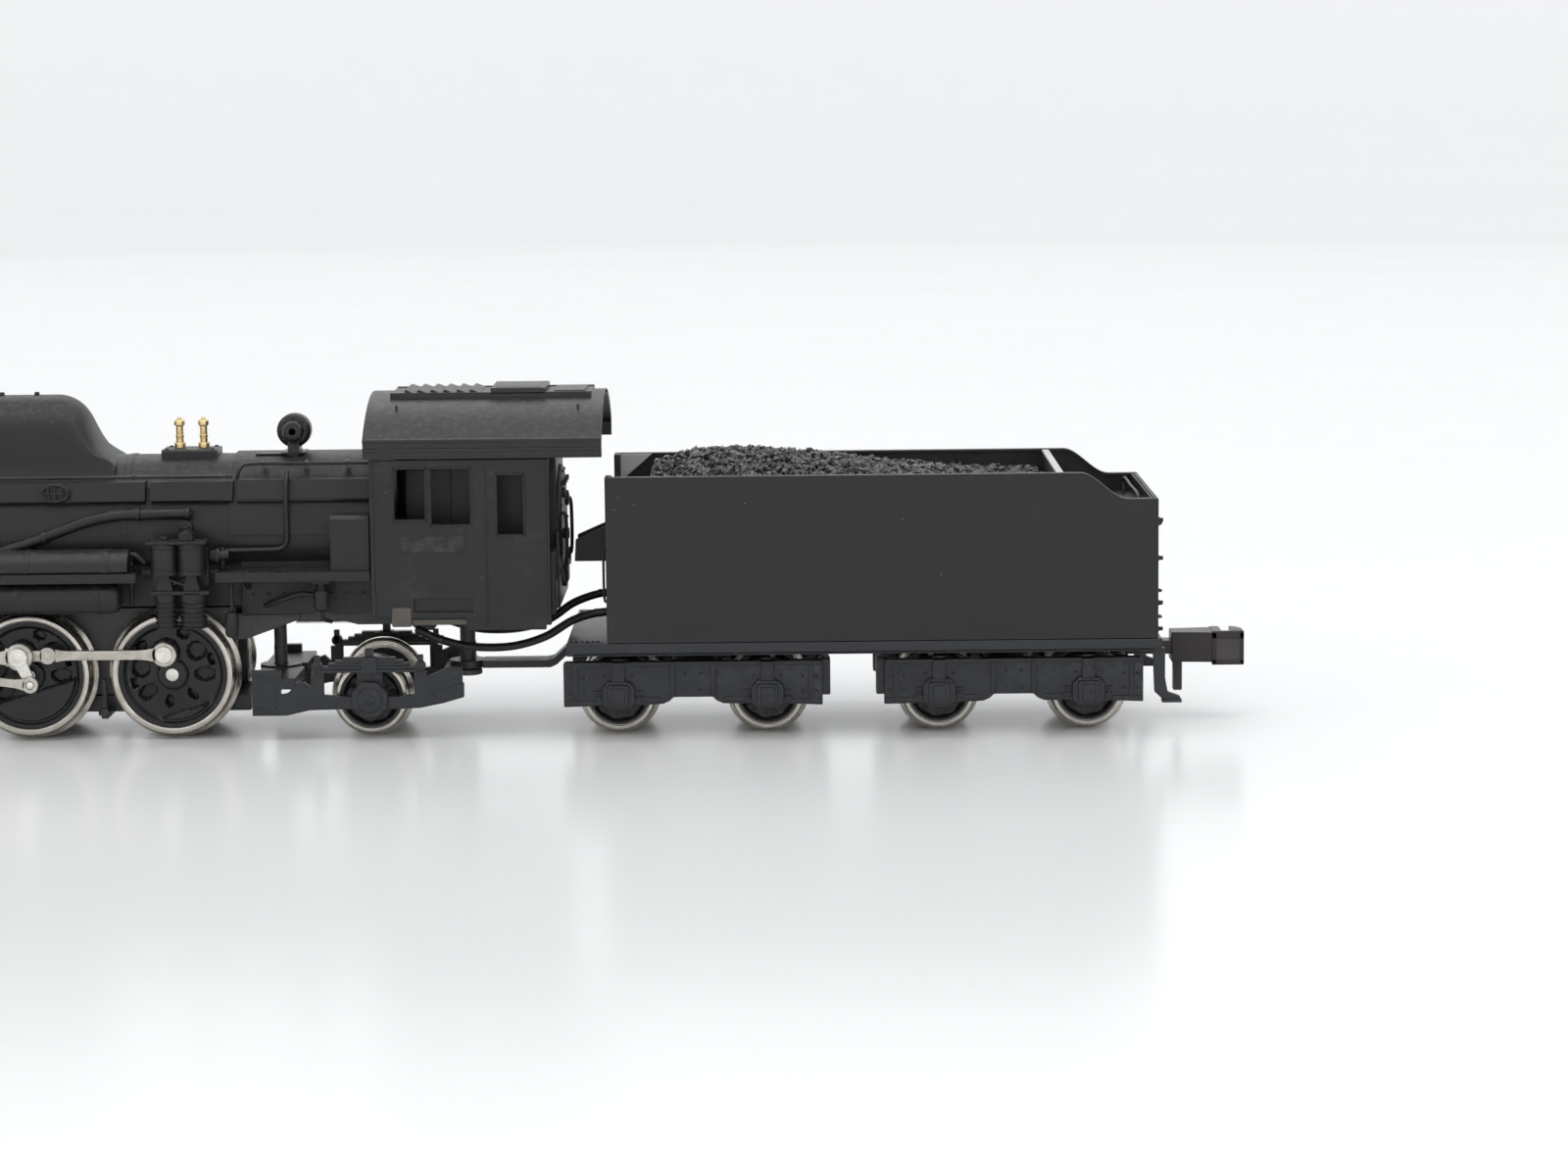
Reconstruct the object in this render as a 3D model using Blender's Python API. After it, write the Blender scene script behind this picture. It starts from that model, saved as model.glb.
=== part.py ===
"""A 9 mm gauge model of a 2-8-2 tender steam locomotive, as the separate pieces it is put together from.

Shapes are drawn in millimetres and scaled to metres when a piece is finished. While drawing, X is 0 at
the fourth driving axle and runs towards the tender, Y is 0 on the centre line with the left side at -Y,
and Z is 0 at the bottom of the wheel flanges. The last step of each piece moves X so that 0 is the middle
of the length."""

from math import asin, atan2, cos, pi, radians, sin, sqrt

import bmesh
import bpy
from mathutils import Matrix, Vector

MM = 0.001
CLEAR = 0.05  # play between pieces that touch or turn in each other

# Length and the places of the axles
FRONT_END = -61.4
REAR_END = 82.6
DRIVER_PITCH = 11.0
DRIVER_X = [-3 * DRIVER_PITCH, -2 * DRIVER_PITCH, -DRIVER_PITCH, 0.0]
LEADING_X = -49.0
TRAILING_X = 15.2
BOGIE_X = {"front": 39.9, "rear": 64.4}
BOGIE_WHEELBASE = 11.4

# Wheels
DRIVER_FLANGE = 5.1
DRIVER_TREAD = 4.62
SMALL_FLANGE = 3.2
SMALL_TREAD = 2.75
WHEEL_BACK = 3.7
WHEEL_FACE = 5.75
AXLE_RADIUS = 0.75
SMALL_AXLE_RADIUS = 0.5

# Rods, cranks and the planes that they lie in, from the centre line
CRANK_RADIUS = 1.72
CRANK_ANGLE = {"left": radians(17), "right": radians(107)}
RETURN_RADIUS = 0.6
RETURN_ANGLE = radians(-150)  # from the crank to the return crank's pin
SIDE_ROD_Y = (6.05, 6.5)
MAIN_ROD_Y = (6.62, 7.02)
RETURN_CRANK_Y = (7.1, 7.42)
ECCENTRIC_ROD_Y = (7.5, 7.82)
MAIN_ROD_LENGTH = 26.0
ECCENTRIC_ROD_LENGTH = 19.5
ECCENTRIC_END_Z = 7.2
CYLINDER_Y = 7.35
CYLINDER_Z = 5.9
PIN_RADIUS = 0.45
SMALL_PIN_RADIUS = 0.28

# Pivots of the trucks, the drawbar and the coupler
LEADING_PIVOT = (-41.0, 0.0, 5.6)
TRAILING_PIVOT = (7.6, 0.0, 4.4)
DRAW_PIVOT = (22.2, 0.0, 4.9)
TENDER_PIVOT = (32.2, 0.0, 6.25)
COUPLER_PIVOT = (73.0, 0.0, 5.6)

# Gear train
MODULE = 0.3
IDLER_TEETH = 16
DRIVER_TEETH = 21
WORM_RADIUS = 1.2
SHAFT_RADIUS = 0.5
SHAFT_Z = 13.0

# Boiler, cab and tender
BOILER_Z = 15.8
BOILER_RADIUS = 5.7
CLADDING = 0.18  # how far the firebox cladding stands out from the boiler
SMOKEBOX_X = -52.5
DOME_TOP = 26.2
CHIMNEY_X = -47.6
CAB_FRONT = 15.7
CAB_REAR = 29.3
CAB_HALF = 9.1
ROOF_EAVE = 21.8
ROOF_TOP = 26.2
ROOF_THICK = 0.4
ROOF_X = (15.3, 33.3)
BOARD_Z = (12.9, 13.3)
SIDE_TANK_X = (-24.0, -2.7)
SIDE_TANK_RADIUS = 1.65
RESERVOIR_X = {"left": (-25.0, -3.4), "right": (-5.5, 9.0)}
RESERVOIR_RADIUS = 1.25
TENDER_FRONT = 33.5
TENDER_REAR = 75.2
TENDER_HALF = 9.2
TENDER_TOP = 20.3
BULKHEAD_X = 68.1
BUNKER_FLOOR = 15.2
SILL_Z = (6.7, 7.65)
WIRE_RADIUS = 0.33
SIDES = {"left": -1, "right": 1}

# Colour, roughness and metallic value of each finish
FINISHES = {
    "body_plastic": ((0.040, 0.041, 0.043), 0.55, 0.0),
    "underframe_plastic": ((0.045, 0.047, 0.052), 0.42, 0.0),
    "diecast_frame": ((0.060, 0.060, 0.062), 0.5, 0.6),
    "tyre_metal": ((0.52, 0.49, 0.45), 0.28, 1.0),
    "rod_metal": ((0.45, 0.43, 0.38), 0.42, 1.0),
    "valve_brass": ((0.72, 0.50, 0.20), 0.25, 1.0),
    "coal_grain": ((0.030, 0.030, 0.032), 0.35, 0.0),
    "coupler_plastic": ((0.030, 0.022, 0.022), 0.38, 0.0),
    "ballast_metal": ((0.20, 0.20, 0.21), 0.6, 0.8),
    "motor_steel": ((0.42, 0.42, 0.43), 0.35, 1.0),
    "contact_strip": ((0.60, 0.58, 0.52), 0.3, 1.0),
    "gear_nylon": ((0.75, 0.72, 0.62), 0.5, 0.0),
    "wire_sleeve": ((0.012, 0.012, 0.013), 0.45, 0.0),
}


# ---------------------------------------------------------------- shapes

def helper(bm):
    """A bmesh as a helper object with its faces pointing out."""
    bmesh.ops.recalc_face_normals(bm, faces=bm.faces)
    mesh = bpy.data.meshes.new("shape")
    bm.to_mesh(mesh)
    bm.free()
    shape = bpy.data.objects.new("shape", mesh)
    bpy.context.scene.collection.objects.link(shape)
    return shape


def box(x, y, z):
    """A block between pairs of lowest and highest x, y and z."""
    bm = bmesh.new()
    bmesh.ops.create_cube(bm, size=1.0)
    for vert in bm.verts:
        vert.co = [(low + high) / 2 + c * (high - low) for c, (low, high) in zip(vert.co, (x, y, z))]
    return helper(bm)


AXES = {"x": (1, 2, 0), "y": (0, 2, 1), "z": (0, 1, 2)}


def at(axis, u, v, along):
    """A point from its two flat coordinates and its place along an axis."""
    point = [0.0, 0.0, 0.0]
    for index, value in zip(AXES[axis], (u, v, along)):
        point[index] = value
    return point


def prism(axis, outline, span):
    """An outline pushed along an axis. Its points are (y, z) along x, (x, z) along y and (x, y) along z."""
    bm = bmesh.new()
    ends = [[bm.verts.new(at(axis, u, v, along)) for u, v in outline] for along in span]
    count = len(outline)
    for end in ends:
        bm.faces.new(end)
    for i in range(count):
        j = (i + 1) % count
        bm.faces.new((ends[0][i], ends[0][j], ends[1][j], ends[1][i]))
    return helper(bm)


def lathe(axis, centre, profile, segments=16):
    """A profile of (along, radius) points turned about an axis through a flat centre, with flat ends."""
    bm = bmesh.new()
    rings = []
    for along, radius in profile:
        angles = [2 * pi * i / segments for i in range(segments)]
        rings.append([
            bm.verts.new(at(axis, centre[0] + radius * cos(a), centre[1] + radius * sin(a), along))
            for a in angles
        ])
    for ring in (rings[0], rings[-1]):
        bm.faces.new(ring)
    for low, high in zip(rings, rings[1:]):
        for i in range(segments):
            j = (i + 1) % segments
            bm.faces.new((low[i], low[j], high[j], high[i]))
    return helper(bm)


def rod(axis, centre, radius, span, segments=12):
    return lathe(axis, centre, [(span[0], radius), (span[1], radius)], segments)


def bore(axis, centre, radius, span, segments=8):
    """A cutter whose flat sides stay outside the circle of its radius."""
    return rod(axis, centre, radius / cos(pi / segments), span, segments)


def sweep(points, radius, sides=8):
    """A round bar along a route of points."""
    bm = bmesh.new()
    route = [Vector(p) for p in points]
    rings = []
    normal = None
    for i, point in enumerate(route):
        ahead = route[min(i + 1, len(route) - 1)] - route[max(i - 1, 0)]
        ahead.normalize()
        if normal is None:
            normal = ahead.orthogonal()
        normal = (normal - ahead * normal.dot(ahead)).normalized()
        across = ahead.cross(normal)
        angles = [2 * pi * k / sides for k in range(sides)]
        rings.append([bm.verts.new(point + radius * (cos(a) * normal + sin(a) * across)) for a in angles])
    for ring in (rings[0], rings[-1]):
        bm.faces.new(ring)
    for low, high in zip(rings, rings[1:]):
        for k in range(sides):
            j = (k + 1) % sides
            bm.faces.new((low[k], low[j], high[j], high[k]))
    return helper(bm)


def arc(centre, radius, start, end, steps):
    """Points on an arc, from one angle in degrees to another."""
    angles = [radians(start + (end - start) * i / steps) for i in range(steps + 1)]
    return [(centre[0] + radius * cos(a), centre[1] + radius * sin(a)) for a in angles]


def smooth_route(points, steps):
    """A Catmull-Rom curve through the points, with so many steps between each two."""
    route = [Vector(p) for p in points]
    ends = [2 * route[0] - route[1]] + route + [2 * route[-1] - route[-2]]
    result = []
    for a, b, c, d in zip(ends, ends[1:], ends[2:], ends[3:]):
        for i in range(steps):
            t = i / steps
            result.append(0.5 * (2 * b + (c - a) * t + (2 * a - 5 * b + 4 * c - d) * t**2
                                 + (3 * b - a - 3 * c + d) * t**3))
    return result + [route[-1]]


def mirrored_sign(sign, low, high):
    return tuple(sorted((sign * low, sign * high)))


def mirrored(side, low, high):
    """A span across y on one side: the distances from the centre line, signed and in order."""
    return mirrored_sign(SIDES[side], low, high)


# ---------------------------------------------------------------- pieces

def finish(name):
    material = bpy.data.materials.get(name) or bpy.data.materials.new(name)
    colour, roughness, metallic = FINISHES[name]
    material.use_nodes = True
    shader = material.node_tree.nodes["Principled BSDF"]
    shader.inputs["Base Color"].default_value = (*colour, 1.0)
    shader.inputs["Roughness"].default_value = roughness
    shader.inputs["Metallic"].default_value = metallic
    return material


def boolean(base, others, operation):
    for other in others:
        modifier = base.modifiers.new(operation.lower(), "BOOLEAN")
        modifier.operation = operation
        modifier.solver = "EXACT"
        modifier.object = other


def fuse(shapes, cuts=(), common=()):
    """One mesh from helper shapes: all joined, then kept only inside the common ones, then cut."""
    base = shapes[0]
    boolean(base, shapes[1:], "UNION")
    boolean(base, common, "INTERSECT")
    boolean(base, cuts, "DIFFERENCE")
    bpy.context.view_layer.update()
    graph = bpy.context.evaluated_depsgraph_get()
    mesh = bpy.data.meshes.new_from_object(base.evaluated_get(graph))
    for shape in (*shapes, *cuts, *common):
        bpy.data.objects.remove(shape)
    return mesh


def part(name, material, shapes, cuts=(), common=(), pivot=(0.0, 0.0, 0.0), carrier=None):
    """A finished piece with its origin at the pivot, carried by another piece where one is given."""
    mesh = fuse(shapes, cuts, common)
    mesh.name = name
    mesh.transform(Matrix.Scale(MM, 4) @ Matrix.Translation(-Vector(pivot)))
    mesh.materials.clear()
    mesh.materials.append(finish(material))
    mesh.shade_smooth()
    mesh.set_sharp_from_angle(angle=radians(35))
    piece = bpy.data.objects.new(name, mesh)
    bpy.context.scene.collection.objects.link(piece)
    piece.location = MM * (Vector(pivot) - Vector(((FRONT_END + REAR_END) / 2, 0.0, 0.0)))
    if carrier:
        piece.parent = carrier
        piece.matrix_parent_inverse = Matrix.Translation(-carrier.matrix_world.translation)
    bpy.context.view_layer.update()
    return piece


# ---------------------------------------------------------------- wheels and motion

def wheel_profile(flange, tread, axle):
    """The outline of a wheelset from its left face across to its right face."""
    half = [
        (WHEEL_FACE, tread),
        (WHEEL_BACK + 0.75, tread + 0.08),
        (WHEEL_BACK + 0.5, flange),
        (WHEEL_BACK, flange - 0.2),
        (WHEEL_BACK, axle),
    ]
    return [(-y, r) for y, r in half] + list(reversed(half))


def crank_pin(side, x):
    """Where a crank pin is at rest: (x, z)."""
    angle = CRANK_ANGLE[side]
    return x - CRANK_RADIUS * sin(angle), DRIVER_FLANGE + CRANK_RADIUS * cos(angle)


def return_pin(side):
    """Where the small pin of the return crank is at rest: (x, z)."""
    angle = CRANK_ANGLE[side] + RETURN_ANGLE
    return DRIVER_X[2] - RETURN_RADIUS * sin(angle), DRIVER_FLANGE + RETURN_RADIUS * cos(angle)


def link_outline(start, end, width):
    """A bar with slightly pinched sides between two (x, z) points, as an outline."""
    along = Vector(end) - Vector(start)
    across = Vector((-along.y, along.x)).normalized() * width / 2
    big_end = [Vector(start) + across, Vector(start) - across]
    small_end = [Vector(end) - 0.8 * across, Vector(end) + 0.8 * across]
    return [tuple(corner) for corner in big_end + small_end]


def gear(axis_centre, teeth, width, phase):
    """A spur gear about the y direction with slim teeth, so that a pair runs with play."""
    pitch = MODULE * teeth / 2
    outline = []
    steps = ((-0.32, pitch - 0.34), (-0.10, pitch + 0.2), (0.10, pitch + 0.2), (0.32, pitch - 0.34))
    for tooth in range(teeth):
        for shift, radius in steps:
            angle = phase + 2 * pi * (tooth + shift) / teeth
            outline.append((axis_centre[0] + radius * cos(angle), axis_centre[1] + radius * sin(angle)))
    return prism("y", outline, (-width / 2, width / 2))


def idler_centre():
    z = SHAFT_Z - WORM_RADIUS - MODULE * IDLER_TEETH / 2
    reach = MODULE * (IDLER_TEETH + DRIVER_TEETH) / 2
    return DRIVER_X[2] + sqrt(reach**2 - (z - DRIVER_FLANGE) ** 2), z


def gear_phases():
    """Angles of a tooth of each gear, so that a tooth of one faces a gap of the next."""
    x, z = idler_centre()
    towards_idler = atan2(z - DRIVER_FLANGE, x - DRIVER_X[2])
    idler = pi / 2
    idler_step = 2 * pi / IDLER_TEETH
    driver_step = 2 * pi / DRIVER_TEETH
    offset = ((towards_idler + pi - idler) / idler_step) % 1.0
    return idler, towards_idler + (0.5 + offset) * driver_step


def driver_wheelset(index):
    """Axle, wheels, crank bosses and crank pins. The third one is geared and has the return cranks."""
    x = DRIVER_X[index]
    centre = (x, DRIVER_FLANGE)
    profile = wheel_profile(DRIVER_FLANGE, DRIVER_TREAD, AXLE_RADIUS)
    shapes = [lathe("y", centre, profile, 20)]
    geared = index == 2
    for side in SIDES:
        pin = crank_pin(side, x)
        outer = RETURN_CRANK_Y[0] + 0.1 if geared else SIDE_ROD_Y[1] + CLEAR
        shapes.append(rod("y", pin, 1.0, mirrored(side, WHEEL_FACE - 0.3, WHEEL_FACE + 0.2), 8))
        shapes.append(rod("y", pin, PIN_RADIUS, mirrored(side, WHEEL_FACE - 0.3, outer), 8))
        if geared:
            small = return_pin(side)
            span = mirrored(side, *RETURN_CRANK_Y)
            shapes.append(prism("y", link_outline(pin, small, 0.95), span))
            shapes.append(rod("y", pin, 0.68, span, 8))
            shapes.append(rod("y", small, 0.5, span, 8))
            pin_span = mirrored(side, RETURN_CRANK_Y[0], ECCENTRIC_ROD_Y[1])
            shapes.append(rod("y", small, SMALL_PIN_RADIUS, pin_span, 8))
    if geared:
        shapes.append(gear(centre, DRIVER_TEETH, 1.2, gear_phases()[1]))
    return part(f"driver_wheelset_{index + 1}", "tyre_metal", shapes, pivot=(x, 0.0, DRIVER_FLANGE))


def side_rod(side):
    span = mirrored(side, *SIDE_ROD_Y)
    hole = mirrored(side, SIDE_ROD_Y[0] - 1, SIDE_ROD_Y[1] + 1)
    pins = [crank_pin(side, x) for x in DRIVER_X]
    z = pins[0][1]
    shapes = [box((pins[0][0], pins[3][0]), span, (z - 0.36, z + 0.36))]
    shapes += [rod("y", pin, 0.95, span, 12) for pin in pins]
    shapes += [rod("y", (pins[2][0] + 2.1, z), 0.68, span, 8)]
    cuts = [bore("y", pin, PIN_RADIUS + CLEAR, hole) for pin in pins]
    place = (pins[2][0], SIDES[side] * sum(SIDE_ROD_Y) / 2, z)
    return part(f"side_rod_{side}", "rod_metal", shapes, cuts, pivot=place)


def crosshead_x(side):
    """Where the rod's length puts the small end at rest."""
    x, z = crank_pin(side, DRIVER_X[2])
    return x - sqrt(MAIN_ROD_LENGTH**2 - (z - CYLINDER_Z) ** 2)


def main_rod(side):
    span = mirrored(side, *MAIN_ROD_Y)
    big = crank_pin(side, DRIVER_X[2])
    small = (crosshead_x(side), CYLINDER_Z)
    shapes = [
        prism("y", link_outline(big, small, 0.9), span),
        rod("y", big, 1.05, span, 12),
        rod("y", small, 0.75, span, 8),
    ]
    cuts = [bore("y", big, PIN_RADIUS + CLEAR, mirrored(side, MAIN_ROD_Y[0] - 1, MAIN_ROD_Y[1] + 1))]
    place = (big[0], SIDES[side] * sum(MAIN_ROD_Y) / 2, big[1])
    return part(f"main_rod_{side}", "rod_metal", shapes, cuts, pivot=place)


def eccentric_rod(side):
    span = mirrored(side, *ECCENTRIC_ROD_Y)
    hole = mirrored(side, ECCENTRIC_ROD_Y[0] - 1, ECCENTRIC_ROD_Y[1] + 1)
    big = return_pin(side)
    small = (big[0] - ECCENTRIC_ROD_LENGTH, ECCENTRIC_END_Z)
    shapes = [
        prism("y", link_outline(big, small, 0.62), span),
        rod("y", big, 0.62, span, 8),
        rod("y", small, 0.55, span, 8),
    ]
    cuts = [bore("y", big, SMALL_PIN_RADIUS + CLEAR, hole)]
    place = (big[0], SIDES[side] * sum(ECCENTRIC_ROD_Y) / 2, big[1])
    return part(f"eccentric_rod_{side}", "rod_metal", shapes, cuts, pivot=place)


def crosshead(side):
    x = crosshead_x(side)
    span = mirrored(side, 7.12, 8.2)
    outline = [(x - 1.3, 7.0), (x + 1.3, 7.0), (x + 1.3, 7.65), (x - 1.3, 7.65)]
    body = [(x - 0.9, 5.0), (x + 0.9, 5.0), (x + 1.2, 7.1), (x - 1.2, 7.1)]
    shapes = [
        prism("y", outline, span),
        prism("y", body, span),
        rod("x", (SIDES[side] * 7.66, CYLINDER_Z), 0.28, (x - 7.4, x - 0.5), 8),
    ]
    return part(f"crosshead_{side}", "rod_metal", shapes, pivot=(x, SIDES[side] * 7.66, CYLINDER_Z))


def small_wheelset(name, x, carrier=None):
    profile = wheel_profile(SMALL_FLANGE, SMALL_TREAD, SMALL_AXLE_RADIUS)
    outside = [(-WHEEL_FACE - 0.9, 0.3), (WHEEL_FACE + 0.9, 0.3)]
    shapes = [
        lathe("y", (x, SMALL_FLANGE), profile, 16),
        lathe("y", (x, SMALL_FLANGE), outside, 8),
    ]
    return part(name, "tyre_metal", shapes, pivot=(x, 0.0, SMALL_FLANGE), carrier=carrier)


def inside_wheelset(name, x, carrier):
    """A wheelset with its bearings between the wheels, so its axle ends flush with the hubs."""
    profile = wheel_profile(SMALL_FLANGE, SMALL_TREAD, SMALL_AXLE_RADIUS)
    shapes = [lathe("y", (x, SMALL_FLANGE), profile, 16)]
    return part(name, "tyre_metal", shapes, pivot=(x, 0.0, SMALL_FLANGE), carrier=carrier)


# ---------------------------------------------------------------- engine underframe

def chassis_frame():
    shapes = [
        box((-37.5, 4.6), (-3.2, 3.2), (3.2, 9.9)),
        box((-57.5, -37.0), (-2.6, 2.6), (7.0, 9.0)),
        box((4.0, 28.5), (-3.0, 3.0), (8.75, 9.4)),
        rod("z", LEADING_PIVOT[:2], 0.5, (4.8, 7.2), 10),
        rod("z", LEADING_PIVOT[:2], 1.0, (4.5, 4.95), 12),
        rod("z", TRAILING_PIVOT[:2], 0.5, (3.6, 9.0), 10),
        rod("z", TRAILING_PIVOT[:2], 1.0, (3.4, 3.85), 12),
        rod("z", DRAW_PIVOT[:2], 0.6, (4.2, 9.0), 10),
        rod("z", DRAW_PIVOT[:2], 1.1, (4.0, 4.45), 12),
    ]
    idler_x, idler_z = idler_centre()
    cuts = [
        box((2.8, 5.0), (-4.0, 4.0), (9.45, 10.5)),
        box((-14.9, -4.2), (-0.9, 0.9), (2.2, 10.5)),
        box((idler_x - 0.55, idler_x + 0.55), (-2.5, 2.5), (idler_z - 0.55, 10.6)),
    ]
    for x in DRIVER_X:
        cuts.append(box((x - 0.82, x + 0.82), (-4, 4), (2.5, DRIVER_FLANGE)))
        cuts.append(bore("y", (x, DRIVER_FLANGE), 0.82, (-4.2, 4.2)))
    return part("chassis_frame", "diecast_frame", shapes, cuts)


def keeper_plate():
    shapes = [box((-36.8, 5.6), (-3.1, 3.1), (1.8, 3.12))]
    for x in DRIVER_X[1:]:
        hanger = x - DRIVER_PITCH / 2
        shapes.append(box((hanger - 0.3, hanger + 0.3), (-4.6, 4.6), (1.5, 2.3)))
    cuts = [box((-14.9, -7.1), (-0.9, 0.9), (1.0, 4.0))]
    return part("keeper_plate", "underframe_plastic", shapes, cuts)


def cylinder_block():
    """Both cylinders with their valve chests, the slide bars and the brackets that hang the valve gear."""
    x0, x1 = -51.5, -44.5
    shapes = [box((-51.0, -45.0), (-8.3, 8.3), (9.1, 9.95))]
    for side, sign in SIDES.items():
        profile = [(x0 - 0.6, 1.0), (x0, 1.3), (x0, 1.95), (x1, 1.95), (x1, 1.3), (x1 + 0.4, 0.8)]
        chest = [(x0 - 0.3, 0.7), (x0, 1.25), (x1 + 0.2, 1.25), (x1 + 0.5, 0.7)]
        shapes.append(lathe("x", (sign * CYLINDER_Y, CYLINDER_Z), profile, 12))
        shapes.append(lathe("x", (sign * CYLINDER_Y, 8.9), chest, 12))
        shapes.append(box((x0 + 0.4, x1 - 0.4), mirrored(side, 6.4, 8.4), (CYLINDER_Z, 9.5)))
        shapes.append(box((x1 - 0.4, -32.6), mirrored(side, 7.15, 8.2), (7.8, 8.15)))
        shapes.append(box((-33.2, -32.6), mirrored(side, 7.1, 8.2), (7.9, 12.6)))
        link = [(-31.9, 5.2), (-31.1, 5.2), (-30.7, 8.0), (-31.1, 10.8), (-31.9, 10.8), (-31.6, 8.0)]
        shapes.append(prism("y", link, mirrored(side, 7.08, 7.4)))
        shapes.append(box((-33.0, -31.2), mirrored(side, 7.08, 7.6), (10.4, 11.2)))
        shapes.append(box((x1 - 0.4, -31.0), mirrored(side, 7.1, 7.4), (9.0, 9.5)))
        lever = [(-42.9, 9.3), (-42.3, 9.3), (-41.5, 5.2), (-42.1, 5.2)]
        shapes.append(prism("y", lever, mirrored(side, 8.32, 8.6)))
        shapes.append(box((-43.5, -42.2), mirrored(side, 7.2, 8.6), (8.9, 9.4)))
    cuts = [
        box((-56.0, -43.0), (-6.8, 6.8), (2.0, 7.0)),
        box((-56.0, -43.0), (-2.7, 2.7), (2.0, 9.08)),
    ]
    for sign in SIDES.values():
        cuts.append(bore("x", (sign * 7.66, CYLINDER_Z), 0.36, (-47.0, -42.0)))
    return part("cylinder_block", "body_plastic", shapes, cuts)


def front_deck():
    """The buffer beam, the deck behind it, its steps and the pilot."""
    shapes = [
        box((-59.4, -58.7), (-8.6, 8.6), (6.3, 9.3)),
        box((-58.9, -53.6), (-8.4, 8.4), (9.05, 9.45)),
        box((-58.8, -52.2), (-2.9, 2.9), (9.1, 9.9)),
    ]
    for side in SIDES:
        shapes.append(box((-57.3, -56.9), mirrored(side, 7.3, 8.5), (3.2, 9.2)))
        shapes.append(box((-57.8, -56.4), mirrored(side, 7.2, 8.6), (3.0, 3.4)))
        shapes.append(box((-57.8, -56.4), mirrored(side, 7.2, 8.6), (5.6, 5.95)))
        guard = [(-59.2, 6.5), (-58.4, 6.5), (-57.8, 2.2), (-58.3, 2.2)]
        shapes.append(prism("y", guard, mirrored(side, 5.0, 5.6)))
        shapes.append(rod("x", (SIDES[side] * 6.6, 10.3), 0.75, (-58.7, -57.8), 12))
        shapes.append(box((-58.6, -57.9), mirrored(side, 6.3, 6.9), (9.3, 10.1)))
    return part("front_deck", "body_plastic", shapes)


def front_coupler():
    x = FRONT_END
    knuckle = [(x, -0.9), (x + 0.5, -1.1), (x + 1.9, -0.6), (x + 1.9, 0.6), (x + 0.5, 1.1), (x, 0.5)]
    shapes = [prism("z", knuckle, (6.7, 8.6)), box((x + 0.8, x + 1.95), (-0.5, 0.5), (7.2, 8.0))]
    return part("front_coupler", "coupler_plastic", shapes)


def leading_truck():
    shapes = [
        box((-50.6, -47.4), (-3.3, 3.3), (2.3, 4.6)),
        box((-49.0, -41.0), (-1.1, 1.1), (4.2, 5.9)),
        rod("z", LEADING_PIVOT[:2], 1.5, (5.05, 6.2), 12),
    ]
    cuts = [
        bore("z", LEADING_PIVOT[:2], 0.55, (2.0, 8.0)),
        rod("z", LEADING_PIVOT[:2], 1.6, (2.0, 5.03), 12),
        bore("y", (LEADING_X, SMALL_FLANGE), 0.56, (-4, 4)),
    ]
    return part("leading_truck", "underframe_plastic", shapes, cuts, pivot=LEADING_PIVOT)


def trailing_truck():
    x = TRAILING_X
    shapes = [
        box((6.2, 9.6), (-7.0, 7.0), (4.0, 4.9)),
        rod("z", TRAILING_PIVOT[:2], 1.6, (3.9, 5.0), 12),
        box((20.1, 20.8), (-6.9, 6.9), (3.4, 4.35)),
    ]
    for side, sign in SIDES.items():
        span = mirrored(side, 6.3, 7.0)
        bar = [(6.2, 2.0), (8.8, 2.0), (10.6, 2.4), (19.0, 2.5), (22.4, 3.3), (22.4, 4.4), (19.2, 3.6),
               (11.4, 3.6), (10.2, 4.6), (8.4, 3.6), (8.4, 5.5), (6.2, 5.5)]
        shapes.append(prism("y", bar, span))
        shapes.append(box((10.9, 19.0), mirrored(side, 6.35, 7.1), (5.3, 6.1)))
        shapes.append(box((12.4, 18.0), mirrored(side, 6.3, 7.2), (5.9, 6.5)))
        shapes.append(box((10.7, 11.7), mirrored(side, 6.4, 6.9), (3.0, 6.6)))
        shapes.append(box((18.6, 19.6), mirrored(side, 6.4, 6.9), (3.0, 6.6)))
        shapes.append(box((14.6, 15.8), mirrored(side, 6.25, 7.3), (1.9, 7.1)))
        shapes.append(prism("y", arc((x, SMALL_FLANGE), 1.55, 0, 315, 7), mirrored(side, 6.2, 7.5)))
        shapes.append(box((18.9, 22.3), mirrored(side, 6.3, 6.9), (3.5, 5.6)))
    cuts = [
        bore("z", TRAILING_PIVOT[:2], 0.56, (2.0, 8.0)),
        rod("z", TRAILING_PIVOT[:2], 1.7, (2.0, 3.88), 12),
        bore("y", (x, SMALL_FLANGE), 0.42, (-6.8, 6.8)),
    ]
    return part("trailing_truck", "underframe_plastic", shapes, cuts, pivot=TRAILING_PIVOT)


# ---------------------------------------------------------------- drive

def motor():
    half = [(2.4, 9.55), (3.4, 10.6), (3.4, 15.4), (2.4, 16.4)]
    outline = half + [(-y, z) for y, z in reversed(half)]
    shapes = [
        prism("x", outline, (3.0, 15.0)),
        rod("x", (0.0, SHAFT_Z), 2.6, (15.0 - CLEAR, 16.2), 16),
        rod("x", (0.0, SHAFT_Z), 1.3, (2.2, 3.1), 12),
    ]
    cuts = [bore("x", (0.0, SHAFT_Z), SHAFT_RADIUS + CLEAR, (1.0, 20.0))]
    return part("motor", "motor_steel", shapes, cuts)


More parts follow.
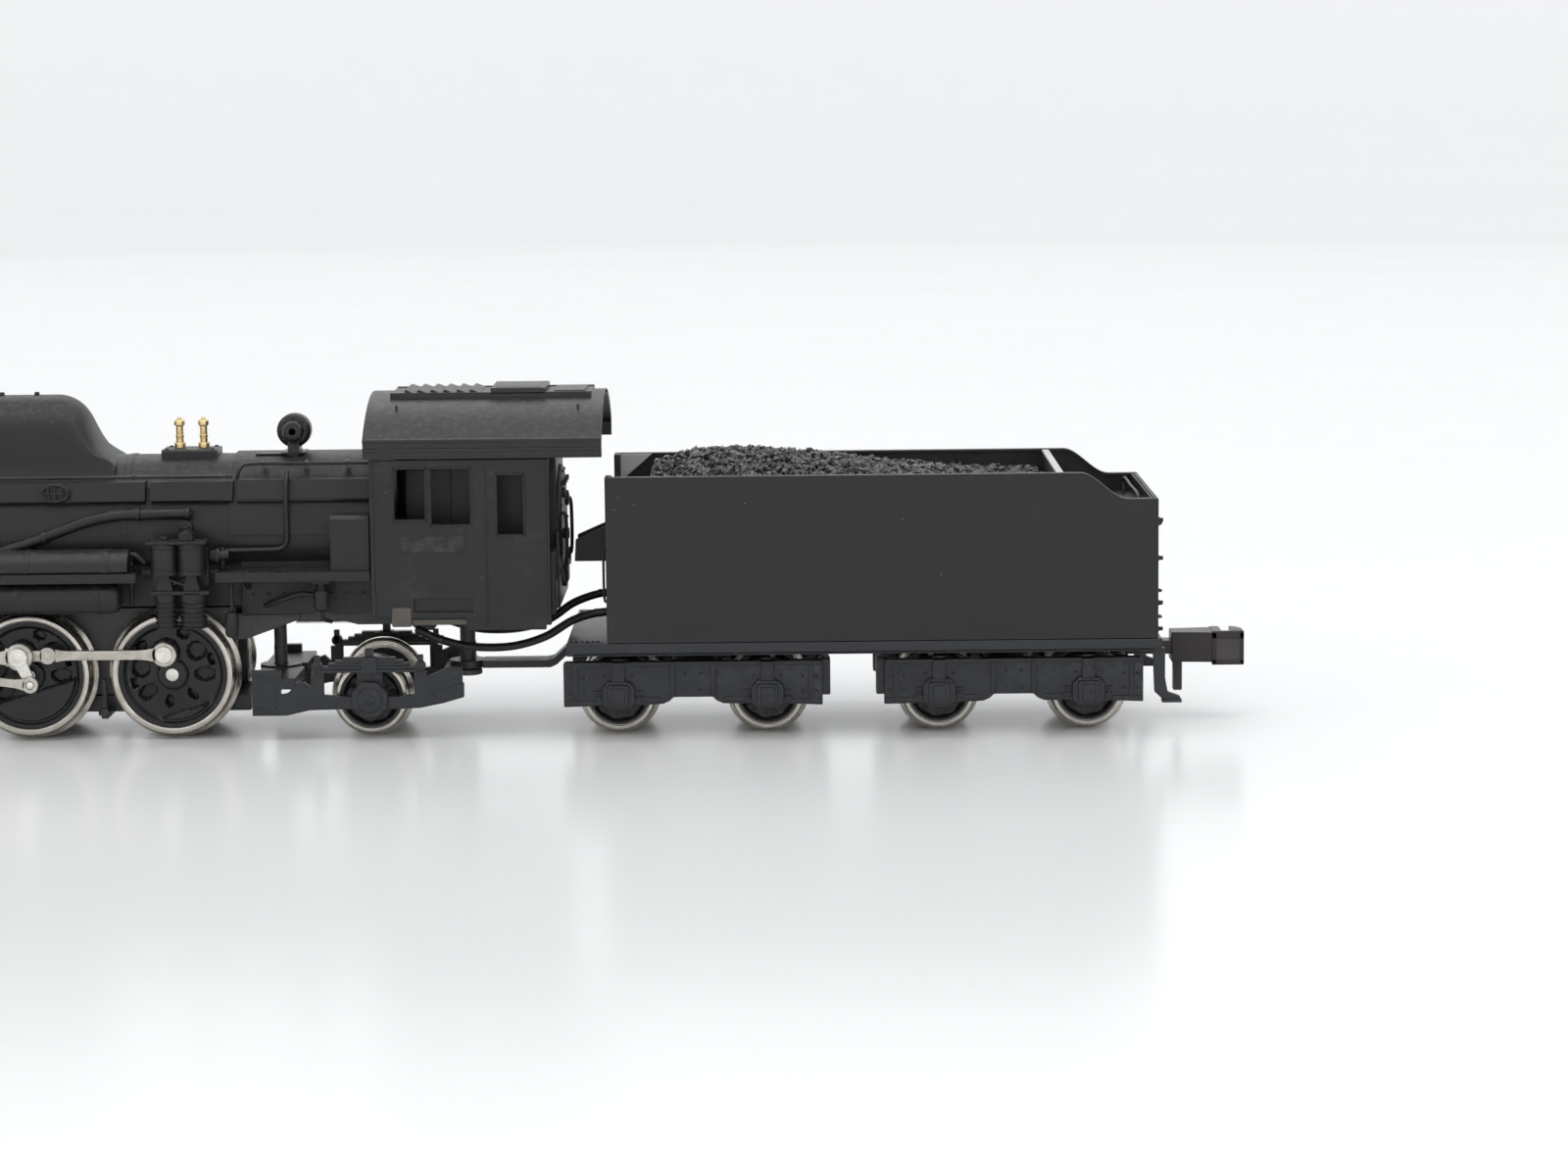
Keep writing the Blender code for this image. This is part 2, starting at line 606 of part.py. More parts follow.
def motor_shaft():
    """The armature shaft with a single-start worm that meshes with the idler gear."""
    pitch = pi * MODULE
    centre = idler_centre()[0]
    start, end = centre - 2.5 * pitch, centre + 2.5 * pitch
    steps, sides = 30, 8
    bm = bmesh.new()
    rings = []
    for i in range(steps + 1):
        x = start + (end - start) * i / steps
        ring = []
        for k in range(sides):
            angle = 2 * pi * k / sides
            wave = cos(2 * pi * (x - centre) / pitch + pi - (angle + pi / 2))
            radius = WORM_RADIUS - 0.08 + 0.2 * wave
            ring.append(bm.verts.new((x, radius * cos(angle), SHAFT_Z + radius * sin(angle))))
        rings.append(ring)
    for ring in (rings[0], rings[-1]):
        bm.faces.new(ring)
    for low, high in zip(rings, rings[1:]):
        for k in range(sides):
            j = (k + 1) % sides
            bm.faces.new((low[k], low[j], high[j], high[k]))
    shapes = [helper(bm), rod("x", (0.0, SHAFT_Z), SHAFT_RADIUS, (-12.3, 17.0), 12)]
    return part("motor_shaft", "motor_steel", shapes, pivot=(centre, 0.0, SHAFT_Z))


def idler_gear():
    centre = idler_centre()
    shapes = [gear(centre, IDLER_TEETH, 1.1, gear_phases()[0]), rod("y", centre, 0.5, (-2.3, 2.3), 10)]
    return part("idler_gear", "gear_nylon", shapes, pivot=(centre[0], 0.0, centre[1]))


def boiler_weight():
    shapes = [
        rod("x", (0.0, BOILER_Z), 4.75, (-51.0, -11.6), 24),
        box((-51.0, -11.6), (-3.3, 3.3), (10.1, BOILER_Z)),
    ]
    cuts = [bore("x", (0.0, SHAFT_Z), SHAFT_RADIUS + CLEAR, (-12.7, -10.0))]
    return part("boiler_weight", "ballast_metal", shapes, cuts)


# ---------------------------------------------------------------- boiler and what stands on it

def boiler_shell():
    """Smokebox, boiler and firebox cladding as one casing, open underneath for the weight and motor."""
    shapes = [
        rod("x", (0.0, BOILER_Z), BOILER_RADIUS, (SMOKEBOX_X, 15.6), 24),
        rod("x", (0.0, BOILER_Z), BOILER_RADIUS + CLADDING, (4.7, 15.6), 24),
        box((5.4, 15.6), (-5.3, 5.3), (9.6, BOILER_Z)),
        box((-1.0, 3.3), (-1.5, 1.5), (21.2, 21.95)),
        rod("y", (-51.2, 22.3), 1.35, (-3.6, 3.6), 12),
    ]
    for x in (-41.5, -30.0):
        shapes.append(rod("x", (0.0, BOILER_Z), BOILER_RADIUS + 0.1, (x, x + 0.5), 24))
    for sign in SIDES.values():
        steam_pipe = [(4.6, 15.0), (5.9, 13.2), (6.4, 11.4), (6.4, 10.3)]
        shapes.append(sweep([(-48.0, sign * y, z) for y, z in steam_pipe], 0.75, 10))
        shapes.append(box((-44.0, 15.6), mirrored_sign(sign, 4.9, 5.85), (17.3, 18.6)))
    cuts = [
        rod("x", (0.0, BOILER_Z), BOILER_RADIUS - 0.8, (-51.5, 17.0), 24),
        box((-51.5, 17.0), (-3.6, 3.6), (8.0, BOILER_Z)),
    ]
    return part("boiler_shell", "body_plastic", shapes, cuts)


def smokebox_door():
    x = SMOKEBOX_X - CLEAR
    profile = [(x, 5.2), (x - 0.25, 5.2), (x - 0.35, 4.3), (x - 0.9, 3.2), (x - 1.2, 1.6), (x - 1.25, 0.6),
               (x - 1.7, 0.5)]
    return part("smokebox_door", "body_plastic", [lathe("x", (0.0, BOILER_Z), profile, 24)])


def chimney():
    profile = [(20.6, 1.9), (21.7, 1.75), (22.6, 1.3), (25.2, 1.35), (25.3, 1.6), (25.9, 1.6), (25.95, 1.0),
               (24.6, 0.9)]
    cuts = [bore("x", (0.0, BOILER_Z), BOILER_RADIUS + CLEAR, (-52.0, -44.0), 24)]
    return part("chimney", "body_plastic", [lathe("z", (CHIMNEY_X, 0.0), profile, 12)], cuts)


def dome_cover():
    """The long dome over the boiler: rounded ends seen from the side, and an arch seen from the front."""
    side = [(-28.8, 20.6), (-27.2, 21.6), (-26.6, 23.4)]
    side += arc((-24.4, DOME_TOP - 2.0), 2.0, 165, 90, 5)
    side += arc((-9.1, DOME_TOP - 2.7), 2.7, 90, 22, 6)
    side += [(-5.9, 23.0), (-5.3, 22.0), (-4.5, 21.4), (-4.2, 20.6)]
    half = 3.4
    front = [(-half - 0.9, 19.0), (-half, 21.6)]
    front += arc((0.0, DOME_TOP - half), half, 175, 5, 12)
    front += [(half, 21.6), (half + 0.9, 19.0)]
    cuts = [bore("x", (0.0, BOILER_Z), BOILER_RADIUS + CLEAR, (-32.0, 0.0), 24)]
    for sign in SIDES.values():
        cuts.append(box((-32.0, 0.0), mirrored_sign(sign, 4.7, 9.0), (10.0, 19.4)))
    return part("dome_cover", "body_plastic", [prism("y", side, (-9.0, 9.0))], cuts,
                common=[prism("x", front, (-32.0, 0.0))])


def safety_valve(name, x):
    profile = [(22.0, 0.45), (22.35, 0.45), (22.4, 0.3), (23.7, 0.3), (23.75, 0.43), (24.1, 0.43),
               (24.15, 0.2), (24.35, 0.15)]
    return part(name, "valve_brass", [lathe("z", (x, 0.0), profile, 12)])


def turbo_generator():
    """The turbine generator lies across the boiler top on a small foot."""
    x, z = 9.2, 23.3
    profile = [(-2.0, 0.5), (-1.8, 0.75), (-1.2, 0.8), (-1.1, 1.3), (0.2, 1.3), (0.3, 0.8), (1.5, 0.8),
               (1.6, 0.5)]
    shapes = [
        lathe("y", (x, z), profile, 16),
        prism("x", [(-1.8, 21.0), (0.6, 21.0), (0.2, 23.0), (-1.4, 23.0)], (x - 0.45, x + 0.45)),
    ]
    cuts = [bore("x", (0.0, BOILER_Z), BOILER_RADIUS + CLADDING + CLEAR, (5.0, 14.0), 24)]
    return part("turbo_generator", "body_plastic", shapes, cuts)


def headlamp():
    x = -50.9
    shapes = [
        lathe("x", (0.0, 25.0), [(x + 1.0, 0.45), (x + 0.8, 0.8), (x - 0.9, 1.1), (x - 1.1, 1.1)], 12),
        box((x - 0.45, x + 0.45), (-0.5, 0.5), (23.72, 24.6)),
    ]
    cuts = [rod("x", (0.0, 25.0), 0.9, (x - 2.0, x - 0.7), 12)]
    return part("headlamp", "body_plastic", shapes, cuts)


# ---------------------------------------------------------------- running boards and side fittings

def running_board(side):
    z0, z1 = BOARD_Z
    shapes = [
        box((-44.6, 15.6), mirrored(side, 5.4, 8.4), (z0, z1)),
        box((-44.6, 15.6), mirrored(side, 8.25, 8.55), (z0 - 0.35, z1)),
        box((-44.8, -44.3), mirrored(side, 5.4, 8.55), (z0 - 0.3, z1)),
        box((12.6, 15.6), mirrored(side, 5.95, 8.1), (z1 - 0.1, 17.5)),
    ]
    if side == "left":
        half_round = arc((-7.05, 13.4), SIDE_TANK_RADIUS, 180, 0, 8)
        tank = [(-8.7, z0 + 0.1)] + half_round + [(-5.4, z0 + 0.1)]
        shapes.append(prism("x", tank, SIDE_TANK_X))
        recess = (-2.1, 3.9)
    else:
        shapes.append(box((-30.0, -20.0), mirrored(side, 5.9, 8.0), (z1 - 0.1, z1 + 0.9)))
        recess = (-12.6, -6.4)
    cuts = [box(recess, mirrored(side, 6.2, 9.5), (10.0, 15.6))]
    return part(f"running_board_{side}", "body_plastic", shapes, cuts)


def smoke_deflector(side):
    outline = [(-55.6, 9.6), (-53.0, 9.6), (-53.0, 12.0), (-43.8, 12.0), (-43.8, 19.6), (-44.6, 20.4),
               (-54.8, 20.4), (-55.6, 19.6)]
    shapes = [prism("y", outline, mirrored(side, 8.62, 8.92))]
    for x, z in ((-54.4, 18.6), (-45.4, 18.6)):
        shapes.append(box((x - 0.15, x + 0.15), mirrored(side, 7.0, 8.7), (z - 0.15, z + 0.15)))
    return part(f"smoke_deflector_{side}", "body_plastic", shapes)


def air_compressor():
    """Two steam cylinders above two air cylinders of different size, on a common middle block."""
    y = -7.75
    shapes = [
        box((-1.25, 3.35), (y - 1.15, y + 0.7), (15.45, 15.75)),
        rod("z", (0.0, y), 1.02, (13.1, 15.5), 16),
        rod("z", (2.05, y), 1.02, (13.1, 15.5), 16),
        box((-0.9, 2.9), (y - 0.6, y + 0.6), (11.3, 13.4)),
        rod("z", (0.1, y), 0.72, (9.0, 11.8), 12),
        rod("z", (2.15, y), 1.05, (9.0, 11.8), 16),
        box((-1.0, 3.4), (y - 0.7, y + 0.5), (11.6, 11.9)),
        rod("y", (1.75, 15.95), 0.55, (y - 0.8, y + 0.6), 10),
        box((-1.1, 3.2), (-6.9, -6.3), (12.0, 15.0)),
        box((-0.6, 2.6), (-7.6, -6.5), (13.5, 14.6)),
    ]
    return part("air_compressor", "body_plastic", shapes)


def feed_water_pump():
    y = 7.75
    shapes = [
        rod("z", (-10.6, y), 1.05, (9.4, 12.0), 16),
        rod("z", (-8.4, y), 1.05, (9.4, 12.0), 16),
        box((-11.4, -7.6), (y - 0.6, y + 0.6), (11.6, 13.4)),
        rod("z", (-10.6, y), 0.95, (13.0, 15.6), 12),
        rod("z", (-8.4, y), 0.95, (13.0, 15.6), 12),
        box((-11.8, -7.2), (y - 0.9, y + 0.8), (15.5, 15.8)),
        box((-11.4, -7.6), (6.3, 6.9), (12.0, 15.0)),
        box((-11.0, -8.0), (6.5, 7.6), (13.5, 14.6)),
    ]
    return part("feed_water_pump", "body_plastic", shapes)


def air_reservoir(side):
    low, high = RESERVOIR_X[side]
    radius = RESERVOIR_RADIUS
    profile = [(low, radius - 0.35), (low + 0.35, radius), (high - 0.35, radius), (high, radius - 0.35)]
    y = SIDES[side] * 7.2
    shapes = [lathe("x", (y, 11.3), profile, 12)]
    return part(f"air_reservoir_{side}", "body_plastic", shapes)


# ---------------------------------------------------------------- cab

def arch_radius(half):
    rise = 2.9
    return (half**2 + rise**2) / (2 * rise)


def arched(half, foot, crown):
    """A cross-section with upright sides and the cab roof's arch over them, as (y, z)."""
    radius = arch_radius(half)
    spread = asin(half / radius) * 180 / pi
    return [(half, foot)] + arc((0.0, crown - radius), radius, 90 - spread, 90 + spread, 12) + [(-half, foot)]


def cab_body():
    top = ROOF_TOP - ROOF_THICK - 0.3
    inner = CAB_HALF - 0.55 - 0.5
    shapes = [prism("x", arched(CAB_HALF - 0.5, 8.7, top), (CAB_FRONT, CAB_REAR))]
    cuts = [
        box((CAB_FRONT + 0.6, 35.0), (-inner, inner), (9.45, 30.0)),
        box((CAB_FRONT - 1, CAB_FRONT + 1), (-3.9, 3.9), (5.0, 17.0)),
        box((15.0, 30.0), (-inner, inner), (21.7, 30.0)),
        box((14.0, 22.9), (-10.0, 10.0), (8.0, 9.6)),
        box((17.6, 23.9), (-3.2, 3.2), (8.0, 10.0)),
        box((23.0, 30.0), (-4.9, 4.9), (8.0, 9.6)),
    ]
    for side in SIDES:
        cuts.append(box((14.0, 30.0), mirrored(side, CAB_HALF - 0.85, CAB_HALF + 1), (21.75, 30.0)))
        wall = mirrored(side, inner - 0.4, CAB_HALF + 1)
        cuts.append(box((CAB_FRONT + 1.9, CAB_FRONT + 4.2), wall, (17.2, 21.0)))
        cuts.append(box((CAB_FRONT + 4.7, CAB_FRONT + 7.6), wall, (16.8, 21.0)))
        cuts.append(box((CAB_FRONT + 9.65, CAB_FRONT + 11.6), wall, (16.0, 20.5)))
        recess = mirrored(side, inner + 0.1, CAB_HALF + 1)
        cuts.append(box((CAB_FRONT + 1.8, CAB_FRONT + 7.4), recess, (10.0, 11.3)))
        cuts.append(box((CAB_FRONT - 1, CAB_FRONT + 1), mirrored(side, 6.5, 7.8), (17.6, 20.6)))
    return part("cab_body", "body_plastic", shapes, cuts)


def cab_roof():
    half = CAB_HALF - 0.4
    shapes = [prism("x", arched(half, ROOF_EAVE, ROOF_TOP), ROOF_X)]
    for side in SIDES:
        for z in (22.5, 23.2):
            shapes.append(box(ROOF_X, mirrored(side, half - 0.3, half + 0.15), (z - 0.14, z + 0.14)))
    inner = arched(half - ROOF_THICK, ROOF_EAVE - 1, ROOF_TOP - ROOF_THICK)
    return part("cab_roof", "body_plastic", shapes, [prism("x", inner, (14.0, 34.0))])


def roof_ventilator():
    """The raised hatch on the roof with its guide rails and louvres."""
    shapes = [box((16.9, 32.3), (-3.0, 3.0), (25.0, 26.3)), box((24.6, 28.8), (-3.0, 3.0), (25.2, 26.65))]
    cuts = [prism("x", arched(CAB_HALF - 0.4, 10.0, ROOF_TOP + CLEAR), (14.0, 34.0))]
    for i in range(5):
        x = 18.0 + 1.15 * i
        cuts.append(box((x, x + 0.55), (-2.5, 2.5), (26.25, 27.5)))
    return part("roof_ventilator", "body_plastic", shapes, cuts)


def cab_backhead():
    """The cover over the back of the motor, which fills the cab and carries the backhead."""
    inner = CAB_HALF - 1.15
    shapes = [
        box((18.0, 29.6), (-inner, inner), (9.75, 21.5)),
        rod("x", (0.0, BOILER_Z), 4.6, (29.5, 29.95), 20),
        box((29.5, 29.8), (-5.6, 5.6), (9.9, BOILER_Z)),
        rod("x", (-1.6, 15.2), 0.45, (29.9, 30.4), 8),
        rod("x", (1.4, 17.6), 0.6, (29.9, 30.2), 8),
    ]
    cuts = [box((17.0, 28.8), (-3.3, 3.3), (9.0, 9.9))]
    return part("cab_backhead", "body_plastic", shapes, cuts)


# ---------------------------------------------------------------- between engine and tender

def drawbar():
    """A bar with a hole at each end, raised towards the tender."""
    x0, x1 = DRAW_PIVOT[0], TENDER_PIVOT[0]
    outline = [(x0, 4.6), (28.9, 4.6), (30.6, 6.0), (x1, 6.0), (x1, 6.5), (30.3, 6.5), (28.6, 5.2),
               (x0, 5.2)]
    shapes = [
        prism("y", outline, (-1.2, 1.2)),
        rod("z", (x0, 0.0), 1.45, (4.6, 5.2), 12),
        rod("z", (x1, 0.0), 1.2, (6.0, 6.5), 12),
    ]
    cuts = [bore("z", (x0, 0.0), 0.68, (2.0, 8.0)), bore("z", (x1, 0.0), 0.58, (2.0, 8.0))]
    return part("drawbar", "underframe_plastic", shapes, cuts, pivot=DRAW_PIVOT)


def pickup_strip():
    shapes = [box((9.0, 21.4), (-1.4, 1.4), (8.3, 8.5)), rod("z", (17.5, 0.0), 0.6, (8.1, 8.55), 10)]
    return part("pickup_strip", "contact_strip", shapes)


WIRE_ROUTES = {
    "left": [(18.6, -4.6, 8.3), (20.4, -4.3, 7.4), (22.8, -3.6, 6.7), (25.8, -3.0, 6.6), (28.4, -2.9, 7.3),
             (30.6, -3.1, 8.6), (32.6, -3.3, 9.2), (34.6, -3.4, 9.3)],
    "right": [(18.6, 4.6, 8.3), (20.4, 4.3, 7.6), (23.0, 3.6, 7.0), (26.0, 3.1, 7.1), (28.4, 3.0, 7.8),
              (30.4, 3.1, 9.1), (32.6, 3.3, 9.8), (34.6, 3.4, 9.8)],
}


def wire(side):
    """One motor lead on a smooth route from under the cab into the tender's front wall."""
    curve = bpy.data.curves.new(f"wire_{side}", "CURVE")
    curve.dimensions = "3D"
    curve.bevel_depth = WIRE_RADIUS * MM
    curve.bevel_resolution = 2
    curve.use_fill_caps = True
    points = smooth_route(WIRE_ROUTES[side], 3)
    spline = curve.splines.new("POLY")
    spline.points.add(len(points) - 1)
    for target, point in zip(spline.points, points):
        target.co = (*(MM * (point - Vector(DRAW_PIVOT))), 1.0)
    curve.materials.append(finish("wire_sleeve"))
    lead = bpy.data.objects.new(f"wire_{side}", curve)
    bpy.context.scene.collection.objects.link(lead)
    lead.location = MM * (Vector(DRAW_PIVOT) - Vector(((FRONT_END + REAR_END) / 2, 0.0, 0.0)))


# ---------------------------------------------------------------- tender

def tender_body():
    """The tank and coal bunker as one moulding: the side tops drop in an S-curve near the rear."""
    x0, x1 = TENDER_FRONT, TENDER_REAR
    side = [(x0, SILL_Z[1] + CLEAR), (x1, SILL_Z[1] + CLEAR), (x1, 18.3), (x1 - 2.4, 18.3)]
    side += [(x1 - 3.1, 18.55), (x1 - 4.0, 19.4), (x1 - 4.8, 20.0), (x1 - 5.7, TENDER_TOP), (x0, TENDER_TOP)]
    wall = 0.5
    inner = TENDER_HALF - wall
    shapes = [
        prism("y", side, (-TENDER_HALF, TENDER_HALF)),
        prism("y", [(30.75, 13.0), (33.6, 13.0), (33.6, 15.9), (30.85, 14.7)], (-2.6, 2.6)),
        rod("y", (x1 + 0.25, 16.2), 0.3, (-6.5, -5.6), 8),
        box((x1 - 0.1, x1 + 0.35), (-8.0, -7.2), (9.0, 11.3)),
        box((x1 - 0.1, x1 + 0.35), (7.2, 8.0), (9.0, 11.3)),
    ]
    cuts = [
        box((x0 + wall, BULKHEAD_X - wall), (-inner, inner), (BUNKER_FLOOR, 30.0)),
        box((BULKHEAD_X, x1 - wall), (-inner, inner), (16.9, 30.0)),
        box((x0 + wall, x1 - wall), (-inner, inner), (5.0, BUNKER_FLOOR - 0.6)),
        box((x0 - 0.5, x0 + 3.0), (-7.4, 7.4), (17.7, 30.0)),
    ]
    for side, sign in SIDES.items():
        z = WIRE_ROUTES[side][-1][2]
        cuts.append(rod("x", (sign * 3.38, z), 0.85, (x0 - 1, x0 + 1), 12))
    return part("tender_body", "body_plastic", shapes, cuts)


def coal_height(x, y):
    """The heap is highest behind the front and slopes down to the bulkhead."""
    along = (x - 34.2) / (BULKHEAD_X - 0.7 - 34.2)
    hump = sin(pi * min(1.0, along / 0.5)) if along < 0.25 else 0.5 * (1 + cos(pi * (along - 0.25) / 0.75))
    ridge = 1.0 - 0.75 * (abs(y) / (TENDER_HALF - 0.6)) ** 2
    return 19.3 + 2.4 * hump * ridge + 0.15 * sin(2.3 * x) * cos(1.7 * y)


def coal_load():
    columns, rows = 14, 6
    x0, x1 = TENDER_FRONT + 3.2, BULKHEAD_X - 0.6
    half = TENDER_HALF - 0.6
    bm = bmesh.new()
    grid = []
    for i in range(columns + 1):
        x = x0 + (x1 - x0) * i / columns
        line = []
        for k in range(rows + 1):
            y = -half + 2 * half * k / rows
            line.append(bm.verts.new((x, y, coal_height(x, y))))
        grid.append(line)
    for a, b in zip(grid, grid[1:]):
        for k in range(rows):
            bm.faces.new((a[k], a[k + 1], b[k + 1], b[k]))
    edge = [e for e in bm.edges if e.is_boundary]
    sides = bmesh.ops.extrude_edge_only(bm, edges=edge)["geom"]
    lower = [v for v in sides if isinstance(v, bmesh.types.BMVert)]
    for vert in lower:
        vert.co.z = BUNKER_FLOOR + CLEAR
    bmesh.ops.holes_fill(bm, edges=[e for e in bm.edges if e.is_boundary])
    return part("coal_load", "coal_grain", [helper(bm)])


def tender_floor():
    z0, z1 = SILL_Z
    shapes = [
        box((TENDER_FRONT - 3.1, TENDER_REAR + 0.3), (-TENDER_HALF, TENDER_HALF), (z0, z1)),
        rod("z", TENDER_PIVOT[:2], 0.5, (5.7, 7.0), 10),
        rod("z", TENDER_PIVOT[:2], 0.95, (5.5, 5.85), 12),
    ]
    for x in BOGIE_X.values():
        shapes.append(rod("z", (x, 0.0), 0.7, (3.6, 7.0), 12))
        shapes.append(rod("z", (x, 0.0), 1.3, (3.3, 3.75), 12))
        shapes.append(rod("z", (x, 0.0), 2.2, (5.9, 7.0), 12))
    for side in SIDES:
        shapes.append(box((74.8, 75.3), mirrored(side, 8.3, 9.0), (3.0, 7.0)))
        shapes.append(box((74.8, 77.0), mirrored(side, 8.25, 9.1), (2.7, 3.1)))
    shapes.append(rod("z", COUPLER_PIVOT[:2], 0.3, (4.9, 7.0), 8))
    shapes.append(rod("z", COUPLER_PIVOT[:2], 0.7, (4.6, 5.0), 8))
    shapes.append(box((71.2, 71.8), (-1.6, 1.6), (4.8, 7.0)))
    return part("tender_floor", "underframe_plastic", shapes)


def tender_weight():
    shapes = [box((35.6, 73.4), (-8.2, 8.2), (SILL_Z[1] + 2 * CLEAR, 14.4))]
    return part("tender_weight", "ballast_metal", shapes)


def tender_bogie(place):
    """Two side frames joined by a bolster, which turns on the tender floor's post."""
    x = BOGIE_X[place]
    half = BOGIE_WHEELBASE / 2
    shapes = [
        box((x - 2.0, x + 2.0), (-6.4, 6.4), (4.0, 5.0)),
        rod("z", (x, 0.0), 1.9, (3.9, 5.8), 12),
    ]
    cuts = [bore("z", (x, 0.0), 0.7 + CLEAR, (2.0, 8.0))]
    for side in SIDES:
        frame = [(x - 9.9, 2.4), (x - 2.2, 2.6), (x - 1.6, 3.1), (x + 1.6, 3.1), (x + 2.2, 2.6),
                 (x + 9.9, 2.4), (x + 9.9, 5.9), (x - 9.9, 5.9)]
        shapes.append(prism("y", frame, mirrored(side, 6.05, 6.9)))
        for axle in (x - half, x + half):
            shapes.append(box((axle - 1.0, axle + 1.0), mirrored(side, 6.14, 7.5), (2.2, 4.5)))
            shapes.append(box((axle - 1.5, axle + 1.5), mirrored(side, 6.12, 7.15), (4.3, 5.8)))
            cuts.append(bore("y", (axle, SMALL_FLANGE), 0.42, mirrored(side, 5.0, 6.77)))
        inner = 1 if place == "front" else -1
        end = sorted((x + inner * 9.6, x + inner * 10.5))
        shapes.append(box(end, mirrored(side, 4.6, 6.3), (3.1, 5.9)))
        for rib in (-1.6, 1.6):
            shapes.append(box((x + rib - 0.2, x + rib + 0.2), mirrored(side, 6.2, 7.05), (3.3, 5.7)))
    return part(f"tender_bogie_{place}", "underframe_plastic", shapes, cuts, pivot=(x, 0.0, 4.8))


def rear_coupler():
    """A spring-centred hook coupler: a flat shank on a pivot and a deep hooked head."""
    head = [(77.0, -1.1), (80.0, -1.5), (REAR_END, -1.5), (REAR_END, 0.4), (81.7, 1.5), (80.0, 1.5),
            (77.0, 1.1)]
    shapes = [
        prism("z", [(72.2, -0.7), (77.6, -0.9), (77.6, 0.9), (72.2, 0.7)], (5.1, 6.2)),
        prism("z", head, (4.5, 6.9)),
        box((80.2, 82.5), (-1.5, 1.5), (4.3, 7.0)),
        box((77.2, 77.9), (-0.5, 0.5), (2.2, 5.0)),
    ]
    cuts = [box((80.9, 81.7), (-0.6, 2.0), (5.3, 7.2)), bore("z", COUPLER_PIVOT[:2], 0.36, (4.0, 7.0))]
    return part("rear_coupler", "coupler_plastic", shapes, cuts, pivot=COUPLER_PIVOT)


# ---------------------------------------------------------------- the whole model

def build():
    for old in list(bpy.data.objects):
        bpy.data.objects.remove(old)
    chassis_frame()
    keeper_plate()
    cylinder_block()
    front_deck()
    front_coupler()
    motor()
    motor_shaft()
    idler_gear()
    boiler_weight()
    for index in range(len(DRIVER_X)):
        driver_wheelset(index)
    leading = leading_truck()
    inside_wheelset("leading_wheelset", LEADING_X, leading)
    trailing = trailing_truck()
    small_wheelset("trailing_wheelset", TRAILING_X, trailing)
    for side in SIDES:
        side_rod(side)
        main_rod(side)
        eccentric_rod(side)
        crosshead(side)
        running_board(side)
        smoke_deflector(side)
        air_reservoir(side)
    boiler_shell()
    smokebox_door()
    chimney()
    dome_cover()
    safety_valve("safety_valve_front", 0.25)
    safety_valve("safety_valve_rear", 2.1)
    turbo_generator()
    headlamp()
    air_compressor()
    feed_water_pump()
    cab_body()
    cab_roof()
    roof_ventilator()
    cab_backhead()
    drawbar()
    pickup_strip()
    for side in WIRE_ROUTES:
        wire(side)
    tender_body()
    coal_load()
    tender_floor()
    tender_weight()
    for place, x in BOGIE_X.items():
        bogie = tender_bogie(place)
        for end, shift in (("front", -1), ("rear", 1)):
            small_wheelset(f"tender_wheelset_{place}_{end}", x + shift * BOGIE_WHEELBASE / 2, bogie)
    rear_coupler()


build()
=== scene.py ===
"""The looks of a 9 mm gauge model steam locomotive and its tender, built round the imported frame.

Shapes are drawn in millimetres, as the frame was. X is 0 at the fourth driving axle and runs towards the
tender. Y is 0 on the centre line, with the left side at -Y. Z is 0 at the bottom of the wheel flanges."""

from math import asin, atan2, cos, hypot, pi, radians, sin, sqrt
from random import Random

import bmesh
import bpy
from mathutils import Matrix, Vector


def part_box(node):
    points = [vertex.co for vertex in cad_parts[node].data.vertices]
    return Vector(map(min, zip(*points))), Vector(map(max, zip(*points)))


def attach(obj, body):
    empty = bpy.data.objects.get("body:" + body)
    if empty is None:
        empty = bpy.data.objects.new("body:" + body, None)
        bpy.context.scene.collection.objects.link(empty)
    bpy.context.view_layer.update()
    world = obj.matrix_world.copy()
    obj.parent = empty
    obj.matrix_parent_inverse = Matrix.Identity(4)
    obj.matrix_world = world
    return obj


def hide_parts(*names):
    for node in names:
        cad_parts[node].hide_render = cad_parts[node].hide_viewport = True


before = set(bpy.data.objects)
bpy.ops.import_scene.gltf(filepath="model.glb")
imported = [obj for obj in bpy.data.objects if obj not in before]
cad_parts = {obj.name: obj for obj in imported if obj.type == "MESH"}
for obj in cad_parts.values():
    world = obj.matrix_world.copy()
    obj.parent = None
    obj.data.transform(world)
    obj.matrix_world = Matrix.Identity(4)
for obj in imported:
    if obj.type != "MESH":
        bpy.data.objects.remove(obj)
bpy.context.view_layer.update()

MM = 0.001
SIDES = {"left": -1, "right": 1}


# ---------------------------------------------------------------- places, from the frame

def raw_span(node, index):
    low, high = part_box(node)
    return low[index] / MM, high[index] / MM


ZERO_X = sum(raw_span("driver_wheelset_4", 0)) / 2


def span(node, index):
    """A node's lowest and highest place along x, y or z, in drawing millimetres."""
    shift = ZERO_X if index == 0 else 0.0
    return tuple(value - shift for value in raw_span(node, index))


def middle(node):
    """The middle of a node's box as (x, y, z)."""
    return tuple(sum(span(node, index)) / 2 for index in range(3))


DRIVER_X = [middle(f"driver_wheelset_{index}")[0] for index in (1, 2, 3, 4)]
DRIVER_Z = middle("driver_wheelset_4")[2]
SMALL_WHEEL_Z = 3.2
WHEEL_BACK = 3.7
WHEEL_FACE = 5.75
BOILER_Z = 15.8
BOILER_RADIUS = 5.7
LINK_X = 7.6
DRAWBAR_X = (22.2, 32.2)
TENDER_X = (33.5, 75.2)
BOGIE_X = {"front": 39.9, "rear": 64.4}
COUPLER_X = 73.0
TENDER_TOP = span("tender_body", 2)[1]
SILL_Z = (6.7, 7.65)


